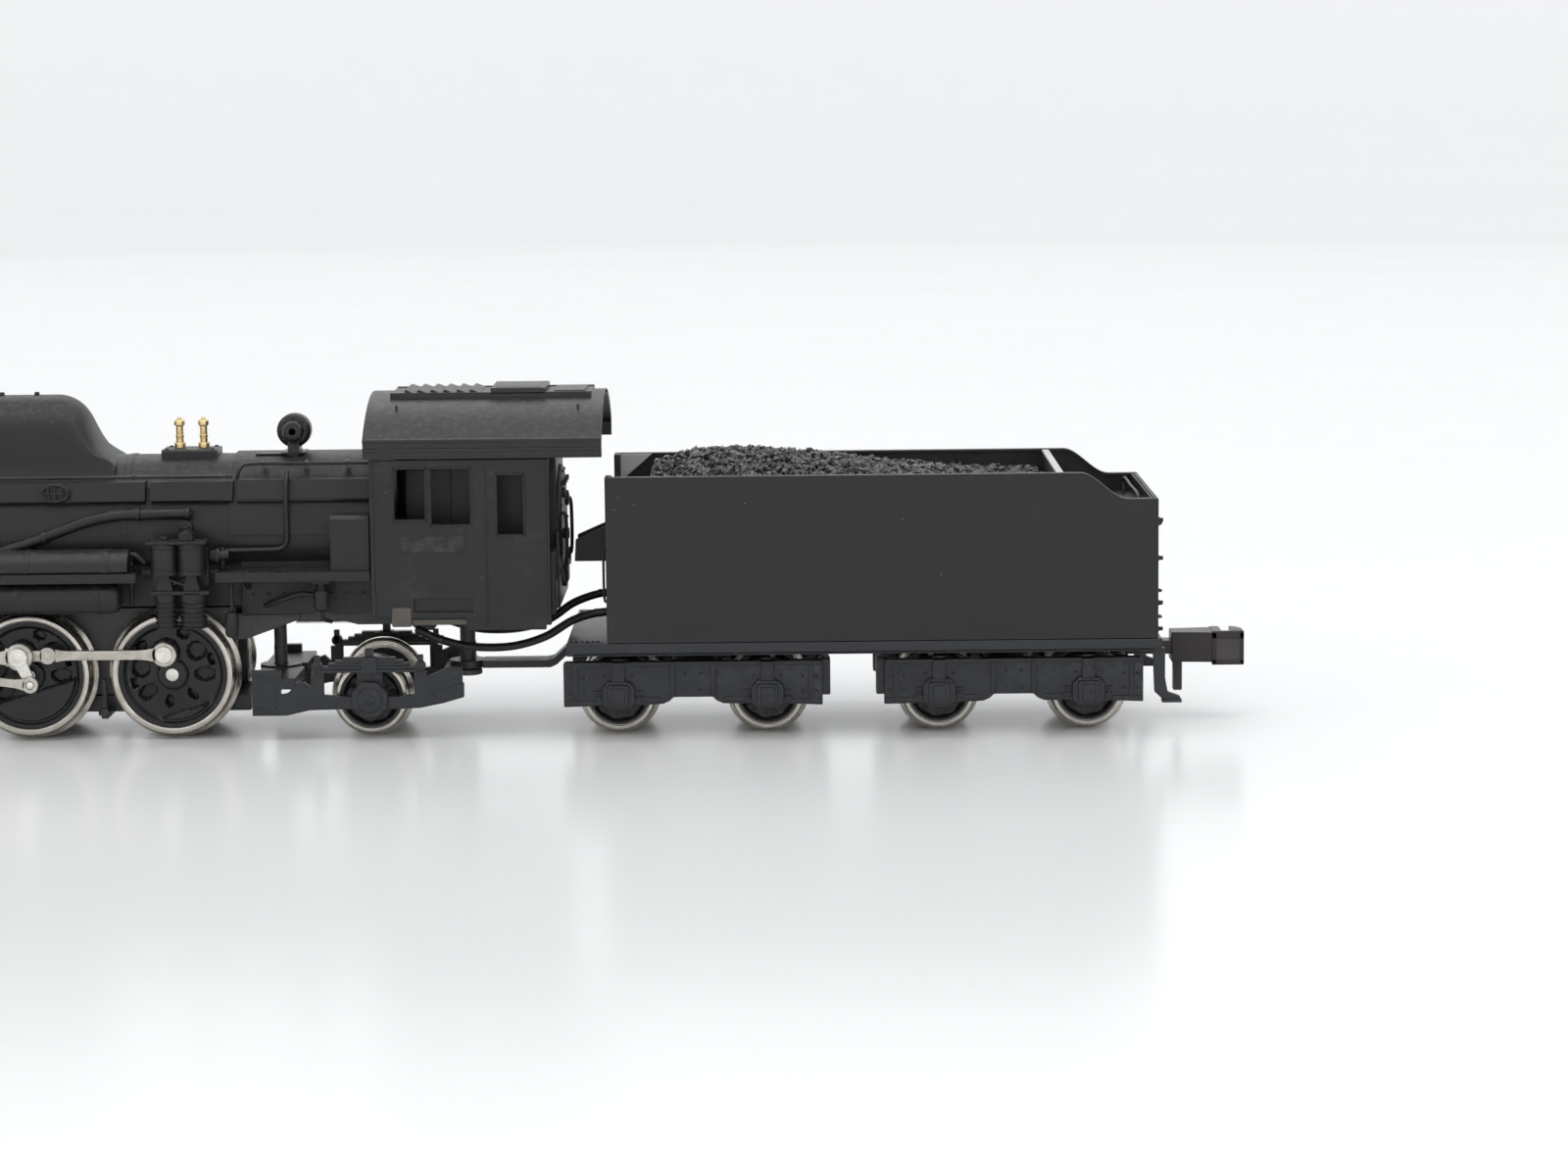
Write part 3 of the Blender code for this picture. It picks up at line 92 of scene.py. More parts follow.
# ---------------------------------------------------------------- shapes

PLANES = {"x": (1, 2, 0), "y": (0, 2, 1), "z": (0, 1, 2)}


def at(axis, u, v, along):
    """A point from its two flat coordinates and its place along an axis."""
    point = [0.0, 0.0, 0.0]
    for index, value in zip(PLANES[axis], (u, v, along)):
        point[index] = value
    return point


def out(sign, low, high, centre=0.0):
    """A span on one side of a centre, from two distances off it."""
    return tuple(sorted((centre + sign * low, centre + sign * high)))


def arc(centre, radius, start, end, steps):
    """Points on an arc, from one angle in degrees to another."""
    angles = [radians(start + (end - start) * i / steps) for i in range(steps + 1)]
    return [(centre[0] + radius * cos(a), centre[1] + radius * sin(a)) for a in angles]


def circle(centre, radius, count, phase=0.0):
    """Points evenly spaced round a circle."""
    angles = [phase + 2 * pi * k / count for k in range(count)]
    return [(centre[0] + radius * cos(a), centre[1] + radius * sin(a)) for a in angles]


def on_side(sign, points):
    """A route drawn on the right, moved to the side with this sign."""
    return [(x, sign * y, z) for x, y, z in points]


def smooth_route(points, steps):
    """A Catmull-Rom curve through the points, with so many steps between each two."""
    route = [Vector(p) for p in points]
    ends = [2 * route[0] - route[1]] + route + [2 * route[-1] - route[-2]]
    result = []
    for a, b, c, d in zip(ends, ends[1:], ends[2:], ends[3:]):
        for i in range(steps):
            t = i / steps
            result.append(0.5 * (2 * b + (c - a) * t + (2 * a - 5 * b + 4 * c - d) * t**2
                                 + (3 * b - a - 3 * c + d) * t**3))
    return result + [route[-1]]


class Shape:
    """Closed shells, drawn in millimetres, that make up one piece."""

    def __init__(self):
        self.mesh = bmesh.new()

    def take(self, shell, bevel=0.0, steps=2):
        bmesh.ops.recalc_face_normals(shell, faces=shell.faces)
        if bevel:
            sharp = [e for e in shell.edges if e.is_manifold and e.calc_face_angle() > radians(28)]
            bmesh.ops.bevel(shell, geom=sharp, offset=bevel, segments=steps, profile=0.5,
                            affect="EDGES", clamp_overlap=True)
        made = bpy.data.meshes.new("shell")
        shell.to_mesh(made)
        shell.free()
        self.mesh.from_mesh(made)
        bpy.data.meshes.remove(made)

    def box(self, x, y, z, bevel=0.06):
        shell = bmesh.new()
        bmesh.ops.create_cube(shell, size=1.0)
        for vert in shell.verts:
            vert.co = [(low + high) / 2 + c * (high - low) for c, (low, high) in zip(vert.co, (x, y, z))]
        self.take(shell, bevel)

    def boxes(self, bevel, *spans):
        for x, y, z in spans:
            self.box(x, y, z, bevel)

    def prism(self, axis, outline, along, bevel=0.06):
        """An outline pushed along an axis, of (y, z) points along x, (x, z) along y or (x, y) along z."""
        shell = bmesh.new()
        ends = [[shell.verts.new(at(axis, u, v, place)) for u, v in outline] for place in along]
        for end in ends:
            shell.faces.new(end)
        for i in range(len(outline)):
            j = (i + 1) % len(outline)
            shell.faces.new((ends[0][i], ends[0][j], ends[1][j], ends[1][i]))
        self.take(shell, bevel)

    def rings(self, loops, closed=False, bevel=0.0):
        """A skin over loops of equal length. It has flat ends, or runs round to where it started."""
        shell = bmesh.new()
        made = [[shell.verts.new(point) for point in loop] for loop in loops]
        if not closed:
            shell.faces.new(made[0])
            shell.faces.new(made[-1])
        pairs = zip(made, made[1:] + made[:1] if closed else made[1:])
        count = len(loops[0])
        for low, high in pairs:
            for i in range(count):
                j = (i + 1) % count
                shell.faces.new((low[i], low[j], high[j], high[i]))
        self.take(shell, bevel)

    def lathe(self, axis, centre, profile, segments=48, closed=False, bevel=0.0, phase=0.0):
        """A profile of (along, radius) points turned about an axis. A closed one is a ring with a hole."""
        angles = [phase + 2 * pi * i / segments for i in range(segments)]
        loops = [
            [at(axis, centre[0] + max(radius, 0.004) * cos(a), centre[1] + max(radius, 0.004) * sin(a), along)
             for a in angles]
            for along, radius in profile
        ]
        self.rings(loops, closed, bevel)

    def rod(self, axis, centre, radius, along, segments=24, bevel=0.05):
        """A round bar with softened ends."""
        low, high = along
        soft = min(bevel, radius / 2, (high - low) / 3)
        profile = [(low, radius - soft), (low + 0.3 * soft, radius - 0.3 * soft), (low + soft, radius),
                   (high - soft, radius), (high - 0.3 * soft, radius - 0.3 * soft), (high, radius - soft)]
        self.lathe(axis, centre, profile, segments)

    def ring(self, axis, centre, inner, outer, along, segments=48, bevel=0.03):
        low, high = along
        profile = [(low, inner), (low, outer - bevel), (low + bevel, outer), (high - bevel, outer),
                   (high, outer - bevel), (high, inner)]
        self.lathe(axis, centre, profile, segments, closed=True)

    def rivet(self, axis, centre, face, sign, radius=0.11, segments=8):
        """A low domed head on a face that looks along +axis or -axis."""
        steps = ((-0.5, 1.0), (0.25, 1.0), (0.6, 0.75), (0.75, 0.3))
        self.lathe(axis, centre, [(face + sign * h * radius, r * radius) for h, r in steps], segments)

    def rivets(self, axis, us, vs, face, sign, radius=0.11, segments=8):
        """A grid of rivets, at each of the first places with each of the second."""
        for u in us:
            for v in vs:
                self.rivet(axis, (u, v), face, sign, radius, segments)

    def nuts(self, axis, centres, face, sign, radius=0.25, height=0.2):
        """Six-sided nuts with softened edges."""
        low, high = sorted((face - sign * 0.05, face + sign * height))
        for centre in centres:
            self.lathe(axis, centre, [(low, radius), (high, radius)], 6, bevel=0.03)

    def screw(self, centre, shank, head, low, high):
        """An upright pivot screw, with its wide head at the bottom and a rib where its slot is."""
        x, y = centre
        self.rod("z", centre, shank, (low + 0.3, high))
        self.rod("z", centre, head, (low, low + 0.45), 32, bevel=0.12)
        self.box((x - 0.75, x + 0.75), (y - 0.12, y + 0.12), (low, low + 0.1), 0.02)

    def tube(self, points, radius, sides=12, steps=6, ends=True):
        """A round bar on a smooth route, with rounded ends."""
        route = smooth_route(points, steps) if steps else [Vector(p) for p in points]
        loops = []
        normal = None
        for i, point in enumerate(route):
            ahead = (route[min(i + 1, len(route) - 1)] - route[max(i - 1, 0)]).normalized()
            normal = ahead.orthogonal() if normal is None else normal
            normal = (normal - ahead * normal.dot(ahead)).normalized()
            across = ahead.cross(normal)
            turn = [2 * pi * k / sides for k in range(sides)]
            tight = ((0.55, -0.4), (0.85, -0.15), (1.0, 0.0)) if ends and i == 0 else ((1.0, 0.0),)
            if ends and i == len(route) - 1:
                tight = ((1.0, 0.0), (0.85, 0.15), (0.55, 0.4))
            for size, push in tight:
                base = point + ahead * push * radius
                loops.append([base + size * radius * (cos(a) * normal + sin(a) * across) for a in turn])
        self.rings(loops)

    def plate(self, axis, wide, high, openings, along, bevel=0.05, shape=None):
        """A flat plate with square openings ((low, high), (low, high)). shape may move each (u, v) point."""
        us = sorted({*wide, *(u for opening in openings for u in opening[0])})
        vs = sorted({*high, *(v for opening in openings for v in opening[1])})
        us = [u for u in us if wide[0] <= u <= wide[1]]
        vs = [v for v in vs if high[0] <= v <= high[1]]
        shell = bmesh.new()
        verts = {}

        def vert(i, j, place):
            if (i, j, place) not in verts:
                flat = shape(us[i], vs[j]) if shape else (us[i], vs[j])
                verts[i, j, place] = shell.verts.new(at(axis, *flat, place))
            return verts[i, j, place]

        def solid(i, j):
            if not (0 <= i < len(us) - 1 and 0 <= j < len(vs) - 1):
                return False
            u, v = (us[i] + us[i + 1]) / 2, (vs[j] + vs[j + 1]) / 2
            return not any(a[0] < u < a[1] and b[0] < v < b[1] for a, b in openings)

        for i in range(len(us) - 1):
            for j in range(len(vs) - 1):
                if not solid(i, j):
                    continue
                corners = ((i, j), (i + 1, j), (i + 1, j + 1), (i, j + 1))
                for place in along:
                    shell.faces.new([vert(*corner, place) for corner in corners])
                beyond = ((i, j - 1), (i + 1, j), (i, j + 1), (i - 1, j))
                for k, cell in enumerate(beyond):
                    if not solid(*cell):
                        a, b = corners[k], corners[(k + 1) % 4]
                        shell.faces.new((vert(*a, along[0]), vert(*b, along[0]), vert(*b, along[1]),
                                         vert(*a, along[1])))
        self.take(shell, bevel)


def piece(name, body, finish, shape, replaces=(), origin=(0.0, 0.0, 0.0), smooth=35):
    """One finished piece: it rides on a body, and may stand for nodes of the frame."""
    origin = Vector(origin)
    mesh = bpy.data.meshes.new(name)
    shape.mesh.transform(Matrix.Scale(MM, 4) @ Matrix.Translation(-origin))
    shape.mesh.to_mesh(mesh)
    shape.mesh.free()
    mesh.materials.append(MATERIALS[finish])
    mesh.shade_smooth()
    mesh.set_sharp_from_angle(angle=radians(smooth))
    made = bpy.data.objects.new(name, mesh)
    bpy.context.scene.collection.objects.link(made)
    made.location = MM * (origin + Vector((ZERO_X, 0.0, 0.0)))
    normals = made.modifiers.new("normals", "WEIGHTED_NORMAL")
    normals.keep_sharp = True
    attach(made, body)
    if replaces:
        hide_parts(*replaces)
    return made


# ---------------------------------------------------------------- finishes

class Nodes:
    """A material's node tree, built a node at a time. Textures read the piece's own millimetres."""

    def __init__(self, name):
        self.material = bpy.data.materials.new(name)
        self.material.use_nodes = True
        self.tree = self.material.node_tree
        self.shader = self.tree.nodes["Principled BSDF"]
        place = self.add("ShaderNodeTexCoord")
        scaled = self.add("ShaderNodeVectorMath", operation="SCALE")
        scaled.inputs["Scale"].default_value = 1 / MM
        self.join(place.outputs["Object"], scaled.inputs[0])
        self.place = scaled.outputs[0]

    def add(self, kind, **settings):
        node = self.tree.nodes.new(kind)
        for key, value in settings.items():
            setattr(node, key, value)
        return node

    def join(self, output, socket):
        self.tree.links.new(output, socket)

    def feed(self, socket, value):
        """A number or a colour is set, and an output is linked."""
        if isinstance(value, bpy.types.NodeSocket):
            self.join(value, socket)
        elif isinstance(value, tuple) and len(value) == 3 and len(socket.default_value) == 4:
            socket.default_value = (*value, 1.0)
        else:
            socket.default_value = value

    def noise(self, scale, detail=3.0, place=None):
        node = self.add("ShaderNodeTexNoise")
        node.inputs["Scale"].default_value = scale
        node.inputs["Detail"].default_value = detail
        self.join(place or self.place, node.inputs["Vector"])
        return node.outputs["Fac"]

    def stretch(self, factors):
        """The place, squeezed by a factor along each axis, for marks that run one way."""
        node = self.add("ShaderNodeVectorMath", operation="MULTIPLY")
        self.join(self.place, node.inputs[0])
        node.inputs[1].default_value = factors
        return node.outputs[0]

    def ramp(self, value, low, high, start=0.0, end=1.0):
        """The value, stretched from low..high to start..end and held there."""
        node = self.add("ShaderNodeMapRange")
        self.feed(node.inputs["Value"], value)
        for key, number in zip(("From Min", "From Max", "To Min", "To Max"), (low, high, start, end)):
            node.inputs[key].default_value = number
        return node.outputs["Result"]

    def maths(self, operation, a, b):
        node = self.add("ShaderNodeMath", operation=operation)
        self.feed(node.inputs[0], a)
        self.feed(node.inputs[1], b)
        return node.outputs[0]

    def mix(self, amount, first, second):
        node = self.add("ShaderNodeMix", data_type="RGBA")
        self.feed(node.inputs[0], amount)
        self.feed(node.inputs[6], first)
        self.feed(node.inputs[7], second)
        return node.outputs[2]

    def bump(self, height, distance, below=None):
        """A raised pattern, with its depth in millimetres."""
        node = self.add("ShaderNodeBump")
        node.inputs["Distance"].default_value = distance * MM
        self.feed(node.inputs["Height"], height)
        if below:
            self.join(below, node.inputs["Normal"])
        return node.outputs["Normal"]

    def specks(self, scale, size):
        """1 inside small scattered dots, and 0 between them."""
        cells = self.add("ShaderNodeTexVoronoi")
        cells.inputs["Scale"].default_value = scale
        self.join(self.place, cells.inputs["Vector"])
        dots = self.maths("LESS_THAN", cells.outputs["Distance"], size)
        few = self.maths("GREATER_THAN", self.noise(scale / 3, 1.0), 0.6)
        return self.maths("MULTIPLY", dots, few)

    def upward(self):
        """How far a surface faces up, for dust that settles and for painted light from above."""
        facing = self.add("ShaderNodeNewGeometry")
        split = self.add("ShaderNodeSeparateXYZ")
        self.join(facing.outputs["Normal"], split.inputs[0])
        return self.ramp(split.outputs["Z"], 0.35, 0.95)

    def worn(self, low=0.52, high=0.6):
        """Edges, where handling has polished or chipped the surface."""
        facing = self.add("ShaderNodeNewGeometry")
        edge = self.ramp(facing.outputs["Pointiness"], low, high)
        patchy = self.ramp(self.noise(1.7), 0.4, 0.65)
        return self.maths("MULTIPLY", edge, patchy)

    def done(self, colour, roughness, normal, metal=0.0, sheen=0.0):
        self.feed(self.shader.inputs["Base Color"], colour)
        self.feed(self.shader.inputs["Roughness"], roughness)
        self.feed(self.shader.inputs["Metallic"], metal)
        self.feed(self.shader.inputs["Coat Weight"], sheen)
        self.shader.inputs["Coat Roughness"].default_value = 0.35
        self.join(normal, self.shader.inputs["Normal"])
        return self.material


def plastic(name, colour, shade, roughness, grain=0.0012, dust_and_top_light=0.4):
    """Moulded plastic: fine grain, cloudy tone, rubbed edges, lighter patches on faces that look up (settled
    dust and painted light from above) and a few pale specks.
    """
    nodes = Nodes(name)
    cloud = nodes.noise(0.12, 2.0)
    tone = nodes.mix(nodes.ramp(cloud, 0.3, 0.7), colour, shade)
    rubbed = nodes.worn(0.57, 0.68)
    pale = tuple(min(1.0, 2.6 * c + 0.02) for c in colour)
    tone = nodes.mix(nodes.maths("MULTIPLY", rubbed, 0.55), tone, pale)
    # Lighter patches on upward faces: settled dust, and painted light from above.
    settled_dust_and_top_light = nodes.maths("MULTIPLY", nodes.upward(), nodes.ramp(nodes.noise(2.2, 4.0), 0.45, 0.8))
    tone = nodes.mix(nodes.maths("MULTIPLY", settled_dust_and_top_light, dust_and_top_light), tone, (0.11, 0.109, 0.107))
    tone = nodes.mix(nodes.maths("MULTIPLY", nodes.specks(1.1, 0.045), 0.5), tone, (0.5, 0.49, 0.47))
    rough = nodes.ramp(nodes.noise(0.18, 2.0), 0.3, 0.7, roughness - 0.01, roughness + 0.012)
    nodes.shader.inputs["Specular IOR Level"].default_value = 0.37
    rough = nodes.maths("ADD", rough, nodes.maths("MULTIPLY", rubbed, -0.12))
    normal = nodes.bump(nodes.noise(12.0, 3.0), grain)
    return nodes.done(tone, rough, nodes.bump(nodes.noise(0.2, 1.0), 0.015, normal))


def turned_metal(name, colour, shade, roughness):
    """Machined metal: fine rings about the y axis, a soft tarnish and a few scratches."""
    nodes = Nodes(name)
    flat = nodes.stretch((1.0, 0.0, 1.0))
    length = nodes.add("ShaderNodeVectorMath", operation="LENGTH")
    nodes.join(flat, length.inputs[0])
    line = nodes.add("ShaderNodeTexNoise", noise_dimensions="1D")
    line.inputs["Scale"].default_value = 9.0
    line.inputs["Detail"].default_value = 3.0
    nodes.join(length.outputs["Value"], line.inputs["W"])
    rings = line.outputs["Fac"]
    tarnish = nodes.ramp(nodes.noise(0.9, 4.0), 0.35, 0.7)
    tone = nodes.mix(tarnish, colour, shade)
    tone = nodes.mix(nodes.maths("MULTIPLY", nodes.specks(1.6, 0.06), 0.6), tone, (0.1, 0.095, 0.09))
    rough = nodes.maths("ADD", nodes.ramp(rings, 0.3, 0.7, -0.06, 0.06), roughness)
    rough = nodes.maths("ADD", rough, nodes.maths("MULTIPLY", tarnish, 0.1))
    normal = nodes.bump(rings, 0.012)
    normal = nodes.bump(nodes.noise(2.5, 2.0), 0.012, normal)
    return nodes.done(tone, rough, normal, metal=1.0)


def cast_metal(name, colour, shade, roughness, metal=1.0, grain=0.02):
    """Stamped or cast metal: a soft grain, draw marks along x, dull patches and bright edges."""
    nodes = Nodes(name)
    dull = nodes.ramp(nodes.noise(1.1, 4.0), 0.35, 0.72)
    tone = nodes.mix(dull, colour, shade)
    edge = nodes.worn(0.53, 0.62)
    bright = tuple(min(1.0, 1.35 * c) for c in colour)
    tone = nodes.mix(edge, tone, bright)
    marks = nodes.noise(14.0, 3.0, nodes.stretch((0.12, 1.0, 1.0)))
    rough = nodes.ramp(marks, 0.3, 0.7, roughness - 0.06, roughness + 0.08)
    rough = nodes.maths("ADD", rough, nodes.maths("MULTIPLY", dull, 0.08))
    normal = nodes.bump(nodes.noise(8.0, 3.0), grain)
    normal = nodes.bump(marks, 0.006, normal)
    return nodes.done(tone, rough, normal, metal=metal)


def coal(name):
    """Crushed coal: glossy broken faces, each lump a little different, with dull dusty ones between."""
    nodes = Nodes(name)
    island = nodes.add("ShaderNodeNewGeometry").outputs["Random Per Island"]
    tone = nodes.mix(nodes.ramp(island, 0.0, 1.0), (0.014, 0.014, 0.016), (0.075, 0.076, 0.08))
    dusty = nodes.maths("MULTIPLY", nodes.upward(), nodes.ramp(nodes.noise(3.0, 3.0), 0.55, 0.8))
    tone = nodes.mix(nodes.maths("MULTIPLY", dusty, 0.35), tone, (0.17, 0.165, 0.16))
    rough = nodes.maths("ADD", nodes.ramp(island, 0.0, 1.0, 0.08, 0.34),
                        nodes.ramp(nodes.noise(5.0), 0.3, 0.7, -0.08, 0.12))
    normal = nodes.bump(nodes.noise(4.5, 4.0), 0.12)
    return nodes.done(tone, rough, normal, sheen=0.15)


def floor_finish(name):
    """Smooth pale board, with a faint mottle and a soft gloss. Its colour is painted darker on the flat and
    near white up the wall: painted shade where the lamps fall strongest and painted light where they are
    weak.
    """
    nodes = Nodes(name)
    split = nodes.add("ShaderNodeSeparateXYZ")
    nodes.join(nodes.place, split.inputs[0])
    # Painted shade and light: the colour rises with height from the floor's pale grey to near white.
    rise = nodes.ramp(split.outputs["Z"], 0.0, 150.0)
    low = nodes.mix(nodes.noise(0.004, 2.0), (0.79, 0.792, 0.795), (0.80, 0.80, 0.80))
    tone = nodes.mix(rise, low, (0.98, 0.98, 0.98))
    rough = nodes.ramp(nodes.noise(0.02, 3.0), 0.3, 0.7, 0.2, 0.22)
    return nodes.done(tone, rough, nodes.bump(nodes.noise(0.01, 1.0), 0.001))


MATERIALS = {
    "body": plastic("body", (0.0105, 0.0108, 0.0115), (0.0118, 0.0120, 0.0128), 0.42),
    # roof: the body's black plastic painted lighter, for the light that falls from above on the cab roof and
    # its ventilator
    "roof": plastic("roof", (0.017, 0.017, 0.0175), (0.019, 0.019, 0.0195), 0.38),
    "satin": plastic("satin", (0.012, 0.0105, 0.011), (0.0145, 0.013, 0.0135), 0.3, dust_and_top_light=0.2),
    "ledge": plastic("ledge", (0.075, 0.066, 0.058), (0.10, 0.09, 0.08), 0.4),
    "wheel": plastic("wheel", (0.0095, 0.0098, 0.0105), (0.011, 0.0113, 0.012), 0.36),
    "underframe": plastic("underframe", (0.0165, 0.018, 0.021), (0.019, 0.0205, 0.0235), 0.35),
    # edge: pale grey, a painted highlight on the tender's bulkhead top, hatch lid and front corners
    "edge": plastic("edge", (0.42, 0.42, 0.42), (0.52, 0.52, 0.51), 0.4, dust_and_top_light=0.1),
    "coupler": plastic("coupler", (0.020, 0.0145, 0.0145), (0.026, 0.019, 0.019), 0.3, dust_and_top_light=0.2),
    # inset: a lighter grey, a painted sheen on a flat face of the rear coupler's head
    "sheen_patch": plastic("sheen_patch", (0.045, 0.038, 0.038), (0.06, 0.052, 0.052), 0.4, dust_and_top_light=0.1),
    "lens": plastic("lens", (0.52, 0.52, 0.49), (0.62, 0.61, 0.58), 0.12, dust_and_top_light=0.05),
    # sleeve: black vinyl of the motor leads, also the painted shade at the back of the cab recesses
    "sleeve": plastic("sleeve", (0.010, 0.010, 0.011), (0.015, 0.015, 0.016), 0.36, grain=0.008),
    "nylon": plastic("nylon", (0.62, 0.58, 0.48), (0.68, 0.64, 0.54), 0.45),
    "tyre": turned_metal("tyre", (0.56, 0.53, 0.485), (0.44, 0.41, 0.365), 0.24),
    "rod": cast_metal("rod", (0.50, 0.475, 0.43), (0.36, 0.335, 0.29), 0.34),
    "pin": cast_metal("pin", (0.68, 0.665, 0.63), (0.58, 0.56, 0.52), 0.2, grain=0.008),
    "brass": cast_metal("brass", (0.70, 0.55, 0.29), (0.52, 0.39, 0.18), 0.22, grain=0.005),
    "frame": cast_metal("frame", (0.075, 0.075, 0.077), (0.10, 0.10, 0.10), 0.5, metal=0.5, grain=0.04),
    "ballast": cast_metal("ballast", (0.17, 0.17, 0.175), (0.24, 0.24, 0.24), 0.5, metal=0.8, grain=0.05),
    "steel": cast_metal("steel", (0.42, 0.42, 0.43), (0.34, 0.34, 0.34), 0.32),
    "strip": cast_metal("strip", (0.60, 0.57, 0.50), (0.50, 0.47, 0.40), 0.26, grain=0.006),
    "coal": coal("coal"),
    "floor": floor_finish("floor"),
}


# ---------------------------------------------------------------- table, light and camera

def bowl():
    """A flat table that curves up into a round wall, so that it is behind the model from every side."""
    profile = [(0.02, 0.0), (0.3, 0.0), (0.75, 0.0)]
    profile += [(0.75 + 0.45 * sin(a), 0.45 - 0.45 * cos(a)) for a in (radians(9 * k) for k in range(1, 11))]
    profile.append((1.2, 1.1))
    made = bmesh.new()
    count = 96
    rings = [[made.verts.new((x, y, z)) for x, y in circle((0.0, 0.0), r, count)] for r, z in profile]
    made.faces.new(rings[0])
    for low, high in zip(rings, rings[1:]):
        for k in range(count):
            j = (k + 1) % count
            made.faces.new((low[k], low[j], high[j], high[k]))
    bmesh.ops.recalc_face_normals(made, faces=made.faces)
    mesh = bpy.data.meshes.new("table")
    made.to_mesh(mesh)
    made.free()
    mesh.shade_smooth()
    mesh.materials.append(MATERIALS["floor"])
    table = bpy.data.objects.new("table", mesh)
    bpy.context.scene.collection.objects.link(table)


def lamp(name, place, target, size, power):
    light = bpy.data.lights.new(name, "AREA")
    light.shape = "RECTANGLE"
    light.size, light.size_y = size
    light.energy = power
    made = bpy.data.objects.new(name, light)
    bpy.context.scene.collection.objects.link(made)
    made.location = place
    made.rotation_euler = (Vector(target) - Vector(place)).to_track_quat("-Z", "Y").to_euler()


def studio():
    bowl()
    lamp("overhead", (0.05, -0.15, 0.85), (0.02, 0.0, 0.0), (0.9, 0.7), 2.9)
    lamp("left", (-0.62, -0.5, 0.55), (0.0, 0.0, 0.01), (0.5, 0.4), 0.9)
    lamp("right", (0.65, -0.35, 0.5), (0.03, 0.0, 0.01), (0.45, 0.4), 0.6)
    lamp("front", (0.04, -0.75, 0.16), (0.03, 0.0, 0.005), (1.0, 0.25), 0.3)
    lamp("back", (0.0, 0.65, 0.6), (0.02, 0.0, 0.01), (0.7, 0.35), 0.7)
    world = bpy.data.worlds.new("room")
    world.use_nodes = True
    world.node_tree.nodes["Background"].inputs["Color"].default_value = (0.97, 0.985, 1.0, 1.0)
    world.node_tree.nodes["Background"].inputs["Strength"].default_value = 0.9
    scene = bpy.context.scene
    scene.world = world
    scene.view_settings.view_transform = "Standard"
    camera = bpy.data.cameras.new("camera")
    camera.sensor_width = 36.0
    camera.lens = 88.1
    camera.clip_start = 0.01
    made = bpy.data.objects.new("camera", camera)
    scene.collection.objects.link(made)
    made.location = (0.03675, -0.296, 0.0521)
    made.rotation_euler = (radians(82), radians(0.6), 0.0)
    scene.camera = made


studio()


# ---------------------------------------------------------------- wheels

# Flange, tread and inner radius of a tyre
DRIVER_TYRE = (5.1, 4.62, 4.2)
SMALL_TYRE = (3.2, 2.75, 2.36)
GEAR_MODULE, GEAR_TEETH, IDLER_TEETH = 0.3, 21, 16
MOTOR_SHAFT_Z = 13.0
WORM_RADIUS = 1.2
CRANK_RADIUS = 1.72
CRANK_ANGLE = {"left": radians(17), "right": radians(107)}
RETURN_RADIUS = 0.6
RETURN_ANGLE = radians(-150)
SIDE_ROD_Y = (6.05, 6.5)
MAIN_ROD_Y = (6.62, 7.02)
RETURN_CRANK_Y = (7.1, 7.42)
ECCENTRIC_ROD_Y = (7.5, 7.82)
CYLINDER = (7.35, 5.9)
CYLINDER_X = (-51.5, -44.5)
MAIN_ROD_LENGTH = 26.0


def crank_pin(side, x):
    angle = CRANK_ANGLE[side]
    return x - CRANK_RADIUS * sin(angle), DRIVER_Z + CRANK_RADIUS * cos(angle)


def return_pin(side):
    angle = CRANK_ANGLE[side] + RETURN_ANGLE
    return DRIVER_X[2] - RETURN_RADIUS * sin(angle), DRIVER_Z + RETURN_RADIUS * cos(angle)


def tyre(shape, centre, sign, flange, tread, inner):
    """A turned tyre: flange with a round tip, coned tread, a chamfer and a shallow step on its face."""
    rear = ((0.0, inner), (0.0, flange - 0.3), (0.1, flange - 0.13), (0.28, flange - 0.04), (0.42, flange),
            (0.5, flange - 0.02), (0.56, flange - 0.1), (0.64, tread + 0.14), (0.76, tread + 0.05),
            (1.2, tread + 0.02))
    front = ((0.12, tread - 0.01), (0.03, tread - 0.04), (0.0, tread - 0.09), (0.0, inner + 0.1),
             (0.05, inner + 0.05), (0.07, inner))
    profile = [(WHEEL_BACK + y, r) for y, r in rear] + [(WHEEL_FACE - y, r) for y, r in front]
    shape.lathe("y", centre, [(sign * y, r) for y, r in profile], 96, closed=True)


def disc(shape, centre, sign, radius, depth, holes, back):
    """A wheel centre as one moulded disc: depth(u, v, r) gives how far each point of its face is set back."""
    rings, spokes = 34, 120
    face = []
    for i in range(1, rings + 1):
        r = radius * i / rings
        loop = []
        for k in range(spokes):
            a = 2 * pi * k / spokes
            u, v = r * cos(a), r * sin(a)
            loop.append((centre[0] + u, sign * (WHEEL_FACE - depth(u, v, r, holes)), centre[1] + v))
        face.append(loop)
    rear = [(x, sign * back, z) for x, _, z in face[-1]]
    small = [(centre[0] + (x - centre[0]) * 0.02, sign * back, centre[1] + (z - centre[1]) * 0.02)
             for x, _, z in rear]
    shape.rings(face + [rear, small])


def smooth_step(low, high, value):
    t = min(1.0, max(0.0, (value - low) / (high - low)))
    return t * t * (3 - 2 * t)


def pit(u, v, hole):
    """How deep a moulded recess is at a point: 0 outside it and 1 on its floor."""
    hu, hv, wide, high, tilt = hole
    du, dv = u - hu, v - hv
    across, along = du * cos(tilt) + dv * sin(tilt), dv * cos(tilt) - du * sin(tilt)
    reach = hypot(across / wide, along / high)
    return 1 - smooth_step(0.82, 1.0, reach)


